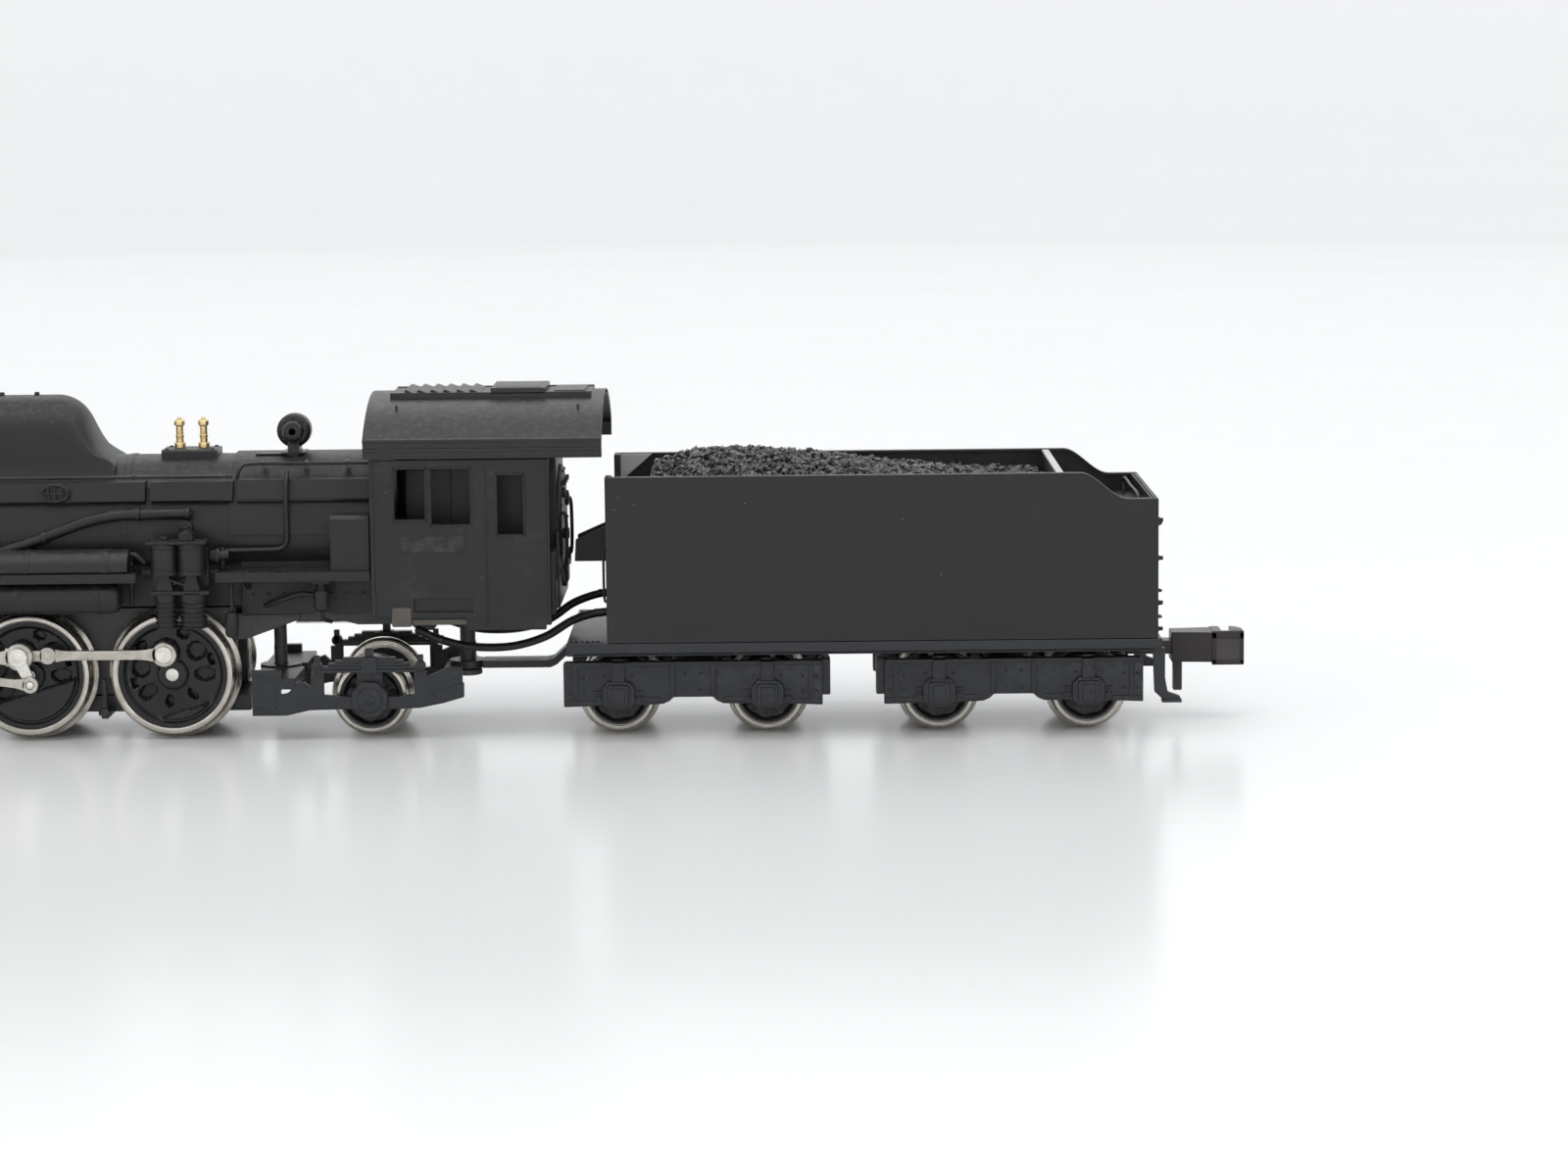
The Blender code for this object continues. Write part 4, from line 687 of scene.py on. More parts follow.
def driver_depth(u, v, r, holes):
    """The face of a disc driver: raised rim, dished web, ribs between recesses, hub and counterweight."""
    rim = 0.1 + 0.3 * (1 - smooth_step(3.62, 3.82, r)) * smooth_step(0.0, 3.6, r)
    hub = 0.32 * (1 - smooth_step(1.05, 1.25, r))
    depth = rim + 0.12 - hub
    deepest = 0.0
    for hole in holes["pits"]:
        deepest = max(deepest, pit(u, v, hole))
    depth += 0.65 * deepest
    turn, chord = holes["weight"]
    out_along = u * cos(turn) + v * sin(turn)
    weight = smooth_step(chord - 0.05, chord + 0.05, out_along) * (1 - smooth_step(3.5, 3.66, r))
    depth = depth * (1 - weight) + 0.06 * weight
    pu, pv = holes["boss"]
    boss = 1 - smooth_step(1.0, 1.12, hypot(u - pu, v - pv))
    return depth * (1 - boss) - 0.12 * boss


# Recesses of a driver's disc with its crank pin straight up: place, half sizes and tilt
PITS = [
    (-2.25, 1.15, 0.74, 0.74, 0.0), (2.25, 1.15, 0.74, 0.74, 0.0),
    (-2.3, -0.75, 0.82, 0.55, 0.35), (2.3, -0.75, 0.82, 0.55, -0.35),
    (-1.7, 2.7, 0.5, 0.36, 0.6), (1.7, 2.7, 0.5, 0.36, -0.6),
    (-0.95, -1.95, 0.3, 0.5, -0.35), (0.95, -1.95, 0.3, 0.5, 0.35),
    (-3.1, 0.2, 0.22, 0.42, 0.0), (3.1, 0.2, 0.22, 0.42, 0.0),
]


def turned_pits(angle):
    """The recesses, turned with the crank: the crank's angle is from straight up towards the front."""
    c, s = cos(angle), sin(angle)
    return [(u * c - v * s, u * s + v * c, wide, high, tilt + angle) for u, v, wide, high, tilt in PITS]


def driver(index):
    """A driving wheelset: tyres, moulded centres, axle and crank pins."""
    body = f"driver_{index}"
    x = DRIVER_X[index - 1]
    centre = (x, DRIVER_Z)
    geared = index == 3
    tyres = Shape()
    centres = Shape()
    metal = Shape()
    for side, sign in SIDES.items():
        tyre(tyres, centre, sign, *DRIVER_TYRE)
        angle = CRANK_ANGLE[side]
        pin = crank_pin(side, x)
        chord = 1.33 if geared else 2.95
        holes = {"pits": [p for p in turned_pits(angle) if not geared or p[1] > -1.6],
                 "weight": (angle - pi / 2, chord), "boss": (pin[0] - x, pin[1] - DRIVER_Z)}
        disc(centres, centre, sign, 4.22, driver_depth, holes, WHEEL_BACK + 0.15)
        metal.rod("y", centre, 0.75, out(sign, 0.2, WHEEL_BACK + 0.6))
        centres.rod("y", centre, 1.3, out(sign, WHEEL_BACK - 0.25, WHEEL_BACK + 0.4), 32)
        metal.rod("y", centre, 0.5, out(sign, WHEEL_FACE - 0.5, WHEEL_FACE + 0.17), 32, bevel=0.06)
        metal.rod("y", pin, 0.45, out(sign, WHEEL_FACE - 0.2, 7.15 if geared else 6.52), 20)
        if not geared:
            metal.rod("y", pin, 0.6, out(sign, 6.51, 6.57), 24, bevel=0.02)
    metal.rod("y", centre, 0.75, (-0.3, 0.3))
    at_axle = (x, 0.0, DRIVER_Z)
    piece(f"driver_{index}_tyres", body, "tyre", tyres, [f"driver_wheelset_{index}"], at_axle)
    piece(f"driver_{index}_centres", body, "wheel", centres, origin=at_axle)
    if geared:
        gear_disc(metal, centre)
        return_cranks(metal, x)
    piece(f"driver_{index}_pins", body, "pin", metal, origin=at_axle)


def gear_disc(shape, centre):
    """The driven gear on the axle, with its teeth."""
    pitch = GEAR_MODULE * GEAR_TEETH / 2
    tooth = ((-0.32, pitch - 0.34), (-0.1, pitch + 0.2), (0.1, pitch + 0.2), (0.32, pitch - 0.34))
    outline = []
    for turn in range(GEAR_TEETH):
        for shift, radius in tooth:
            angle = GEAR_PHASE + 2 * pi * (turn + shift) / GEAR_TEETH
            outline.append((centre[0] + radius * cos(angle), centre[1] + radius * sin(angle)))
    shape.prism("y", outline, (-0.6, 0.6), bevel=0.02)


def gear_phase():
    """The angle of a tooth of the driven gear that meets a gap of the idler."""
    z = MOTOR_SHAFT_Z - WORM_RADIUS - GEAR_MODULE * IDLER_TEETH / 2
    reach = GEAR_MODULE * (IDLER_TEETH + GEAR_TEETH) / 2
    across = sqrt(reach**2 - (z - DRIVER_Z) ** 2)
    towards = atan2(z - DRIVER_Z, across)
    offset = ((towards + pi - pi / 2) / (2 * pi / IDLER_TEETH)) % 1.0
    return towards + (0.5 + offset) * 2 * pi / GEAR_TEETH


GEAR_PHASE = gear_phase()


def return_cranks(shape, x):
    """A wide strap from each main crank pin back to a small pin near the axle, with ringed ends."""
    for side, sign in SIDES.items():
        pin, small = Vector(crank_pin(side, x)), Vector(return_pin(side))
        low, high = RETURN_CRANK_Y
        along = (small - pin).normalized()
        across = Vector((-along.y, along.x))
        width = ((0.0, 0.52), (0.35, 0.46), (0.75, 0.42), (1.0, 0.46))
        reach = (small - pin).length
        left = [pin + along * reach * t + across * w for t, w in width]
        right = [pin + along * reach * t - across * w for t, w in reversed(width)]
        shape.prism("y", [tuple(p) for p in left + right], out(sign, low, high - 0.06), bevel=0.03)
        shape.rod("y", tuple(pin), 0.72, out(sign, low, high), 32)
        shape.rod("y", tuple(pin), 0.42, out(sign, high - 0.05, high + 0.02), 24, bevel=0.02)
        shape.rod("y", tuple(small), 0.52, out(sign, low, high), 28)
        shape.rod("y", tuple(small), 0.28, out(sign, high - 0.1, ECCENTRIC_ROD_Y[1] - 0.02), 20)


for number in (1, 2, 3, 4):
    driver(number)


def small_depth(u, v, r, holes):
    """The face of a small solid wheel: raised rim, dished web with shallow ribs and a hub."""
    rim = 0.08 + 0.32 * (1 - smooth_step(1.95, 2.15, r)) * smooth_step(0.0, 1.5, r)
    ribs = 0.5 + 0.5 * cos(9 * atan2(v, u))
    web = smooth_step(0.8, 1.0, r) * (1 - smooth_step(1.85, 2.05, r))
    hub = 0.2 * (1 - smooth_step(0.68, 0.82, r))
    return rim + 0.12 * web * ribs - hub * 0.9


def small_wheels(node, body, outside):
    """A small wheelset, whose axle ends stand out into axleboxes where the bearings are outside."""
    x, _, z = middle(node)
    centre = (x, z)
    tyres, centres, axle = Shape(), Shape(), Shape()
    for sign in SIDES.values():
        tyre(tyres, centre, sign, *SMALL_TYRE)
        disc(centres, centre, sign, 2.38, small_depth, None, WHEEL_BACK + 0.15)
        centres.rod("y", centre, 0.95, out(sign, WHEEL_BACK - 0.2, WHEEL_BACK + 0.4), 28)
        axle.rod("y", centre, 0.5, out(sign, 0.1, WHEEL_BACK + 0.4), 20)
        end = WHEEL_FACE + (0.88 if outside else 0.0)
        profile = ((WHEEL_FACE - 0.4, 0.3), (end - 0.12, 0.3), (end, 0.12))
        axle.lathe("y", centre, [(sign * y, r) for y, r in profile], 20)
    axle.rod("y", centre, 0.5, (-0.2, 0.2), 20)
    at_axle = (x, 0.0, z)
    piece(f"{body}_tyres", body, "tyre", tyres, [node], at_axle)
    piece(f"{body}_centres", body, "wheel", centres, origin=at_axle)
    piece(f"{body}_axle", body, "pin", axle, origin=at_axle)


small_wheels("leading_wheelset", "leading_wheels", False)
small_wheels("trailing_wheelset", "trailing_wheels", True)
for bogie in ("front", "rear"):
    for end in ("front", "rear"):
        small_wheels(f"tender_wheelset_{bogie}_{end}", f"tender_wheels_{bogie}_{end}", True)


# ---------------------------------------------------------------- rods

def round_eye(shape, centre, radius, y, hole=0.0):
    """A rod's eye: a ring round its pin, or a solid boss."""
    if hole:
        shape.ring("y", centre, hole, radius, y, 40, bevel=0.06)
    else:
        shape.rod("y", centre, radius, y, 40, bevel=0.07)


def bar(shape, points, y, bevel=0.05):
    """A flat bar seen from the side, from (x, z, half width) stations along its length."""
    path = [Vector(p[:2]) for p in points]
    upper, lower = [], []
    for i, (here, station) in enumerate(zip(path, points)):
        ahead = (path[min(i + 1, len(path) - 1)] - path[max(i - 1, 0)]).normalized()
        across = Vector((-ahead.y, ahead.x))
        upper.append(tuple(here + across * station[2]))
        lower.append(tuple(here - across * station[2]))
    shape.prism("y", upper + lower[::-1], y, bevel)


def side_rods(side):
    """The jointed coupling rod over all four crank pins."""
    sign = SIDES[side]
    low, high = SIDE_ROD_Y
    pins = [crank_pin(side, x) for x in DRIVER_X]
    z = pins[0][1]
    shape = Shape()
    knuckle = pins[2][0] + 2.1
    stops = [pins[0][0], pins[1][0], pins[2][0], knuckle, pins[3][0]]
    for start, end in zip(stops, stops[1:]):
        if end - start > 5:
            shoulder = 1.5 if start != knuckle else 1.1
            stations = [(start + 0.6, z, 0.5), (start + shoulder, z, 0.4), (start + shoulder + 0.6, z, 0.36),
                        (end - 2.1, z, 0.36), (end - 1.5, z, 0.4), (end - 0.6, z, 0.55)]
            bar(shape, stations, out(sign, low, high))
        else:
            bar(shape, [(start + 0.6, z, 0.42), (end - 0.4, z, 0.42)], out(sign, low, high))
    for pin in pins:
        round_eye(shape, pin, 0.95, out(sign, low, high), 0.5)
        shape.ring("y", pin, 0.49, 0.7, out(sign, low + 0.02, high + 0.03), 32, bevel=0.02)
        cup = [(pin[0] + dx, z + dz) for dx, dz in ((-0.32, 0.75), (0.32, 0.75), (0.22, 0.94), (-0.22, 0.94))]
        shape.prism("y", cup, out(sign, low + 0.06, high - 0.06), 0.03)
    round_eye(shape, (knuckle, z), 0.66, out(sign, low, high))
    shape.rod("y", (knuckle, z), 0.3, out(sign, low + 0.02, high + 0.04), 24)
    place = (pins[2][0], sign * (low + high) / 2, z)
    name = f"side_rod_{side}"
    piece(f"{name}_bars", name, "rod", shape, [name], place)


def crosshead_x(side):
    x, z = crank_pin(side, DRIVER_X[2])
    return x - sqrt(MAIN_ROD_LENGTH**2 - (z - CYLINDER[1]) ** 2)


def main_rods(side):
    """The rod from the third crank pin to the crosshead."""
    sign = SIDES[side]
    low, high = MAIN_ROD_Y
    big, small = Vector(crank_pin(side, DRIVER_X[2])), Vector((crosshead_x(side), CYLINDER[1]))
    shape = Shape()
    ts = ((0.03, 0.6), (0.06, 0.47), (0.1, 0.42), (0.9, 0.34), (0.96, 0.42), (0.98, 0.5))
    stations = [(*(big + (small - big) * t), w) for t, w in ts]
    bar(shape, stations, out(sign, low, high))
    round_eye(shape, tuple(big), 1.05, out(sign, low, high), 0.5)
    strap = out(sign, low + 0.04, high - 0.03)
    shape.box((big.x - 1.0, big.x - 0.72), strap, (big.y - 0.7, big.y + 0.7), 0.04)
    round_eye(shape, tuple(small), 0.75, out(sign, low, high))
    shape.rod("y", tuple(small), 0.35, out(sign, low + 0.03, high + 0.03), 24)
    place = (big.x, sign * (low + high) / 2, big.y)
    name = f"main_rod_{side}"
    piece(f"{name}_bar", name, "rod", shape, [name], place)


def eccentric_rods(side):
    """The light rod from the return crank to the foot of the link."""
    sign = SIDES[side]
    low, high = ECCENTRIC_ROD_Y
    big = Vector(return_pin(side))
    small = big + Vector((-19.5, 7.2 - big.y))
    shape = Shape()
    ts = ((0.02, 0.45), (0.06, 0.33), (0.5, 0.29), (0.94, 0.3), (0.98, 0.4))
    bar(shape, [(*(big + (small - big) * t), w) for t, w in ts], out(sign, low, high))
    round_eye(shape, tuple(big), 0.62, out(sign, low, high), 0.33)
    round_eye(shape, tuple(small), 0.55, out(sign, low, high))
    shape.rod("y", tuple(small), 0.3, out(sign, high - 0.1, high + 0.03), 24)
    place = (big.x, sign * (low + high) / 2, big.y)
    name = f"eccentric_rod_{side}"
    piece(f"{name}_bar", name, "rod", shape, [name], place)


def crossheads(side):
    """The block under the slide bars, with its piston rod."""
    sign = SIDES[side]
    x = crosshead_x(side)
    z = CYLINDER[1]
    shape = Shape()
    shape.box((x - 1.3, x + 1.3), out(sign, 7.12, 8.2), (7.02, 7.65), 0.08)
    block = [(-0.9, 5.0), (0.9, 5.0), (1.0, 6.2), (1.2, 7.1), (-1.2, 7.1), (-1.0, 6.2)]
    shape.prism("y", [(x + dx, dz) for dx, dz in block], out(sign, 7.14, 8.1), 0.12)
    shape.rivets("y", (x - 0.85, x + 0.85), (7.3,), sign * 8.18, sign, 0.1)
    shape.nuts("y", [(x, z)], sign * 8.08, sign, 0.42, 0.1)
    shape.rod("x", (sign * 7.66, z), 0.28, (x - 7.4, x - 0.5), 24)
    shape.ring("x", (sign * 7.66, z), 0.2, 0.48, (x - 1.4, x - 0.8), 28)
    name = f"crosshead_{side}"
    piece(f"{name}_block", name, "rod", shape, [name], (x, sign * 7.66, z))


for side in SIDES:
    side_rods(side)
    main_rods(side)
    eccentric_rods(side)
    crossheads(side)


# ---------------------------------------------------------------- engine underframe

def show_plain(node, finish):
    """A node of the frame that is shown as it is, in a full finish."""
    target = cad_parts[node]
    target.data.materials.clear()
    target.data.materials.append(MATERIALS[finish])


for node, finish in (("motor", "steel"), ("motor_shaft", "steel"), ("idler_gear", "nylon"),
                     ("boiler_weight", "ballast"), ("tender_weight", "ballast")):
    show_plain(node, finish)


def chassis():
    """The die-cast frame with its axle slots, stays and pivot screws."""
    shape = Shape()
    openings = [((x - 0.85, x + 0.85), (2.9, 5.95)) for x in DRIVER_X]
    openings += [((x + 2.6, x + 4.4), (6.4, 8.6)) for x in DRIVER_X[:2]]
    for sign in SIDES.values():
        shape.plate("y", (-37.5, 4.6), (3.2, 9.9), openings, out(sign, 2.4, 3.2), 0.05)
        for x in DRIVER_X:
            for low, high in ((x - 1.25, x - 0.9), (x + 0.9, x + 1.25)):
                shape.box((low, high), out(sign, 3.1, 3.4), (3.3, 6.6), 0.05)
            shape.rivets("y", (x - 1.08, x + 1.08), (3.6, 6.4), sign * 3.38, sign, 0.12)
        shape.rivets("y", [-35.8 + 4.7 * step for step in range(9)], (9.4,), sign * 3.18, sign, 0.14)
        shape.prism("y", [(12.5, 8.8), (20.5, 8.8), (19.8, 7.9), (18.6, 7.9), (18.0, 8.4), (14.0, 8.4)],
                    out(sign, 2.2, 2.9), 0.06)
    for x in ((-37.5, -34.0), (-31.9, -23.1), (-20.9, -15.2), (1.2, 2.7)):
        shape.box(x, (-2.45, 2.45), (3.25, 9.85), 0.08)
    shape.box((-57.5, -37.0), (-2.6, 2.6), (7.0, 9.0), 0.1)
    shape.box((4.0, 28.5), (-3.0, 3.0), (8.75, 9.4), 0.08)
    shape.prism("y", [(4.4, 7.3), (5.4, 7.4), (9.6, 8.9), (9.6, 9.3), (4.4, 9.3)], (-3.15, 3.15), 0.08)
    for x in (6.0, 12.0, 20.0, 26.5):
        shape.nuts("z", [(x, -2.3), (x, 2.3)], 8.75, -1, 0.3, 0.1)
    for x, low, high, shank, head in ((-41.0, 4.5, 7.2, 0.5, 1.0), (LINK_X, 3.4, 9.0, 0.5, 1.0),
                                      (DRAWBAR_X[0], 4.0, 9.0, 0.6, 1.1)):
        shape.screw((x, 0.0), shank, head, low, high)
    piece("chassis_casting", "engine", "frame", shape, ["chassis_frame"], (-16.0, 0.0, 6.5))


def keeper():
    """The plate under the axles, with its screws and the brake hangers."""
    shape = Shape()
    deep = (1.8, 3.12)
    shape.boxes(0.15, ((-36.8, -14.95), (-3.1, 3.1), deep), ((-7.05, 5.6), (-3.1, 3.1), deep))
    for sign in SIDES.values():
        shape.box((-15.1, -6.9), out(sign, 0.95, 3.1), deep, 0.12)
    for x in (-35.0, -27.5, -18.5, -5.0, 3.6):
        shape.rod("z", (x, 0.0), 0.75, (1.62, 1.9), 28)
        shape.box((x - 0.5, x + 0.5), (-0.1, 0.1), (1.55, 1.7), 0.02)
    for x in DRIVER_X[1:]:
        hanger = x - 5.5
        shape.box((hanger - 0.3, hanger + 0.3), (-4.6, 4.6), (1.5, 2.3), 0.1)
        block = [(hanger - 0.2, 2.0), (hanger + 0.2, 2.0), (hanger + 0.15, 4.6), (hanger - 0.15, 4.6)]
        for sign in SIDES.values():
            shape.rod("x", (sign * 4.3, 1.92), 0.2, (hanger - 0.5, hanger + 0.5), 16)
            shape.prism("y", block, out(sign, 4.1, 4.5), 0.05)
    piece("keeper_moulding", "engine", "underframe", shape, ["keeper_plate"], (-16.0, 0.0, 2.4))


def cylinder(shape, sign):
    """One cylinder with its valve chest above, covers, nuts and drain cocks."""
    x0, x1 = CYLINDER_X
    y, z = sign * CYLINDER[0], CYLINDER[1]
    front = ((-0.6, 0.5), (-0.6, 0.9), (-0.45, 1.0), (-0.42, 1.35), (-0.2, 1.45), (-0.18, 1.78), (0.08, 1.85),
             (0.12, 1.95), (0.5, 1.95), (0.56, 1.86))
    rear = ((-0.56, 1.86), (-0.5, 1.95), (-0.12, 1.95), (-0.06, 1.8), (0.12, 1.7), (0.16, 1.0), (0.4, 0.8))
    shape.lathe("x", (y, z), [(x0 + x, r) for x, r in front] + [(x1 + x, r) for x, r in rear], 56)
    spots = circle((y, z), 1.6, 10)
    shape.nuts("x", spots, x0 - 0.18, -1, 0.13, 0.12)
    shape.nuts("x", spots, x1 + 0.12, 1, 0.13, 0.12)
    front = ((-0.3, 0.7), (-0.15, 0.95), (-0.1, 1.25), (0.3, 1.25), (0.35, 1.15))
    rear = ((-0.1, 1.15), (-0.05, 1.25), (0.25, 1.25), (0.3, 0.95), (0.5, 0.7))
    shape.lathe("x", (y, 8.9), [(x0 + x, r) for x, r in front] + [(x1 + x, r) for x, r in rear], 48)
    shape.box((x0 + 0.35, x1 - 0.35), out(sign, 6.4, 8.55), (6.4, 9.3), 0.25)
    shape.rivets("y", [x0 + 0.8 + 0.9 * k for k in range(7)], (9.0, 7.0), sign * 8.53, sign, 0.1)
    for x in (x0 + 0.9, x1 - 0.9):
        shape.rod("z", (x, y), 0.22, (3.55, 4.2), 16)


def valve_gear(shape, sign):
    """Slide bars, their bracket, the slotted link and the rods to the valve, all fixed to the engine."""
    back = CYLINDER_X[1]
    shape.box((back - 0.4, -32.6), out(sign, 7.15, 8.2), (7.82, 8.15), 0.05)
    shape.box((back + 0.2, -32.9), out(sign, 7.3, 8.05), (7.76, 7.86), 0.02)
    shape.prism("y", [(-33.3, 7.9), (-32.6, 7.9), (-32.6, 12.6), (-34.1, 12.6), (-33.9, 11.2), (-33.3, 9.6)],
                out(sign, 7.1, 8.2), 0.08)
    link = [(-31.9, 5.2), (-31.1, 5.2), (-30.82, 6.4), (-30.7, 8.0), (-30.82, 9.6), (-31.1, 10.8),
            (-31.9, 10.8), (-31.66, 9.6), (-31.58, 8.0), (-31.66, 6.4)]
    shape.prism("y", link, out(sign, 7.08, 7.4), 0.06)
    shape.rod("y", (-31.3, 7.95), 0.42, out(sign, 7.08, 7.46), 28)
    shape.rivets("y", (-31.5,), (5.7, 10.3), sign * 7.38, sign, 0.14, 10)
    shape.box((-33.0, -31.2), out(sign, 7.08, 7.6), (10.45, 11.15), 0.08)
    bar(shape, [(back - 0.3, 9.25, 0.3), (back + 1.4, 9.25, 0.22), (-33.4, 9.25, 0.2), (-31.2, 9.25, 0.25)],
        out(sign, 7.1, 7.4))
    bar(shape, [(-42.6, 9.4, 0.34), (-42.35, 8.6, 0.26), (-41.95, 6.0, 0.22), (-41.8, 5.2, 0.3)],
        out(sign, 8.32, 8.6))
    for spot in ((-42.6, 9.25), (-41.85, 5.35)):
        shape.rod("y", spot, 0.26, out(sign, 8.3, 8.66), 20)
    shape.box((-43.5, -42.2), out(sign, 7.2, 8.6), (8.92, 9.38), 0.08)
    shape.rivets("y", (-32.95,), (8.4, 12.0), sign * 8.18, sign, 0.13)


def cylinders():
    shape, motion = Shape(), Shape()
    for sign in SIDES.values():
        cylinder(shape, sign)
        valve_gear(motion, sign)
    shape.box((-51.0, -45.0), (-8.3, 8.3), (9.1, 9.95), 0.15)
    piece("cylinder_casting", "engine", "body", shape, ["cylinder_block"], (-48.0, 0.0, 7.0))
    piece("valve_gear", "engine", "rod", motion, origin=(-38.0, 0.0, 8.0))


def grille(shape, x, y, z, step):
    """Thin ribs standing on a face."""
    low, high = x
    count = int((high - low) / step)
    for k in range(count):
        place = low + step * (k + 0.5)
        shape.box((place - step * 0.22, place + step * 0.22), y, z, 0.02)


def front_end():
    """The front deck with its steps, lamps and buffer beam, and the front coupler."""
    shape = Shape()
    shape.box((-59.4, -58.7), (-8.6, 8.6), (6.3, 9.3), 0.1)
    shape.box((-58.9, -53.6), (-8.4, 8.4), (9.05, 9.45), 0.06)
    shape.prism("y", [(-58.8, 9.1), (-58.8, 9.6), (-56.6, 9.9), (-52.2, 9.9), (-52.2, 9.1)], (-2.9, 2.9), 0.1)
    for k in range(9):
        for y in ((3.3, 8.0), (-8.0, -3.3)):
            grille(shape, (-58.3 + 0.55 * k, -58.0 + 0.55 * k), y, (9.4, 9.5), 0.3)
    for sign in SIDES.values():
        shape.box((-57.3, -56.9), out(sign, 7.3, 8.5), (3.2, 9.2), 0.06)
        step = out(sign, 7.2, 8.6)
        for low in (3.0, 5.6):
            for back, high in ((-56.4, low + 0.14), (-57.66, low + 0.38)):
                shape.box((-57.8, back), step, (low, high), 0.03)
            grille(shape, (-57.6, -56.5), out(sign, 7.35, 8.45), (low + 0.1, low + 0.2), 0.22)
        shape.prism("y", [(-59.2, 6.5), (-58.4, 6.5), (-57.95, 4.4), (-57.8, 2.2), (-58.3, 2.2),
                          (-58.6, 4.2)], out(sign, 5.0, 5.6), 0.1)
        shape.lathe("x", (sign * 6.6, 10.3), [(-58.7, 0.62), (-58.7, 0.72), (-58.62, 0.75), (-58.45, 0.75),
                                              (-58.35, 0.64), (-57.95, 0.6), (-57.8, 0.35)], 32)
        shape.box((-58.5, -58.0), out(sign, 6.35, 6.85), (9.35, 9.9), 0.06)
        shape.rivets("x", [sign * (2.6 + 1.8 * k) for k in range(4)], (6.8, 8.8), -59.38, -1, 0.13)
        shape.tube(on_side(sign, [(-59.1, 8.2, 9.3), (-59.1, 8.2, 11.2), (-58.6, 8.2, 11.6)]), 0.13)
        shape.tube(on_side(sign, [(-58.9, 1.6, 6.4), (-59.5, 1.7, 5.4), (-59.4, 1.7, 4.2)]), 0.22)
    piece("front_deck_moulding", "engine", "body", shape, ["front_deck"], (-57.0, 0.0, 8.0))
    glass = Shape()
    for sign in SIDES.values():
        glass.lathe("x", (sign * 6.6, 10.3), [(-58.86, 0.08), (-58.85, 0.3), (-58.78, 0.5), (-58.68, 0.62),
                                              (-58.5, 0.62)], 32)
    piece("front_lamp_glass", "engine", "lens", glass, origin=(-58.6, 0.0, 10.3))
    hook = Shape()
    x = span("front_coupler", 0)[0]
    outline = [(x, -0.9), (x + 0.1, -1.0), (x + 0.5, -1.1), (x + 1.3, -0.95), (x + 1.9, -0.6), (x + 1.9, 0.6),
               (x + 1.3, 0.95), (x + 0.9, 0.7), (x + 0.8, 0.1), (x + 0.5, 0.05), (x + 0.4, 0.7), (x, 0.5)]
    hook.prism("z", outline, (6.7, 8.6), 0.08)
    hook.box((x + 0.9, x + 1.95), (-0.5, 0.5), (7.2, 8.0), 0.06)
    hook.rod("z", (x + 1.25, -0.55), 0.22, (6.66, 8.66), 20)
    piece("front_coupler_hook", "engine", "coupler", hook, ["front_coupler"], (x + 1, 0.0, 7.6))


def leading():
    """The single-axle truck in front, on its arm."""
    shape = Shape()
    for sign in SIDES.values():
        shape.prism("y", [(-50.6, 2.3), (-47.4, 2.3), (-47.4, 4.0), (-48.0, 4.6), (-50.0, 4.6), (-50.6, 4.0)],
                    out(sign, 0.9, 3.3), 0.12)
        shape.prism("y", [(-49.2, 4.2), (-47.4, 4.2), (-43.5, 5.1), (-41.8, 5.1), (-41.8, 5.9), (-43.8, 5.9),
                          (-47.8, 5.2), (-49.2, 5.0)], out(sign, 0.4, 1.1), 0.08)
        shape.rivets("y", (-50.2, -47.8), (3.2,), sign * 3.28, sign, 0.16, 10)
    shape.box((-49.6, -48.4), (-1.2, 1.2), (4.1, 4.6), 0.08)
    shape.ring("z", (-41.0, 0.0), 0.58, 1.5, (5.06, 6.2), 40)
    shape.box((-42.3, -41.5), (-1.0, 1.0), (5.12, 5.85), 0.05)
    piece("leading_truck_moulding", "leading_truck", "underframe", shape, ["leading_truck"],
          (-41.0, 0.0, 5.6))


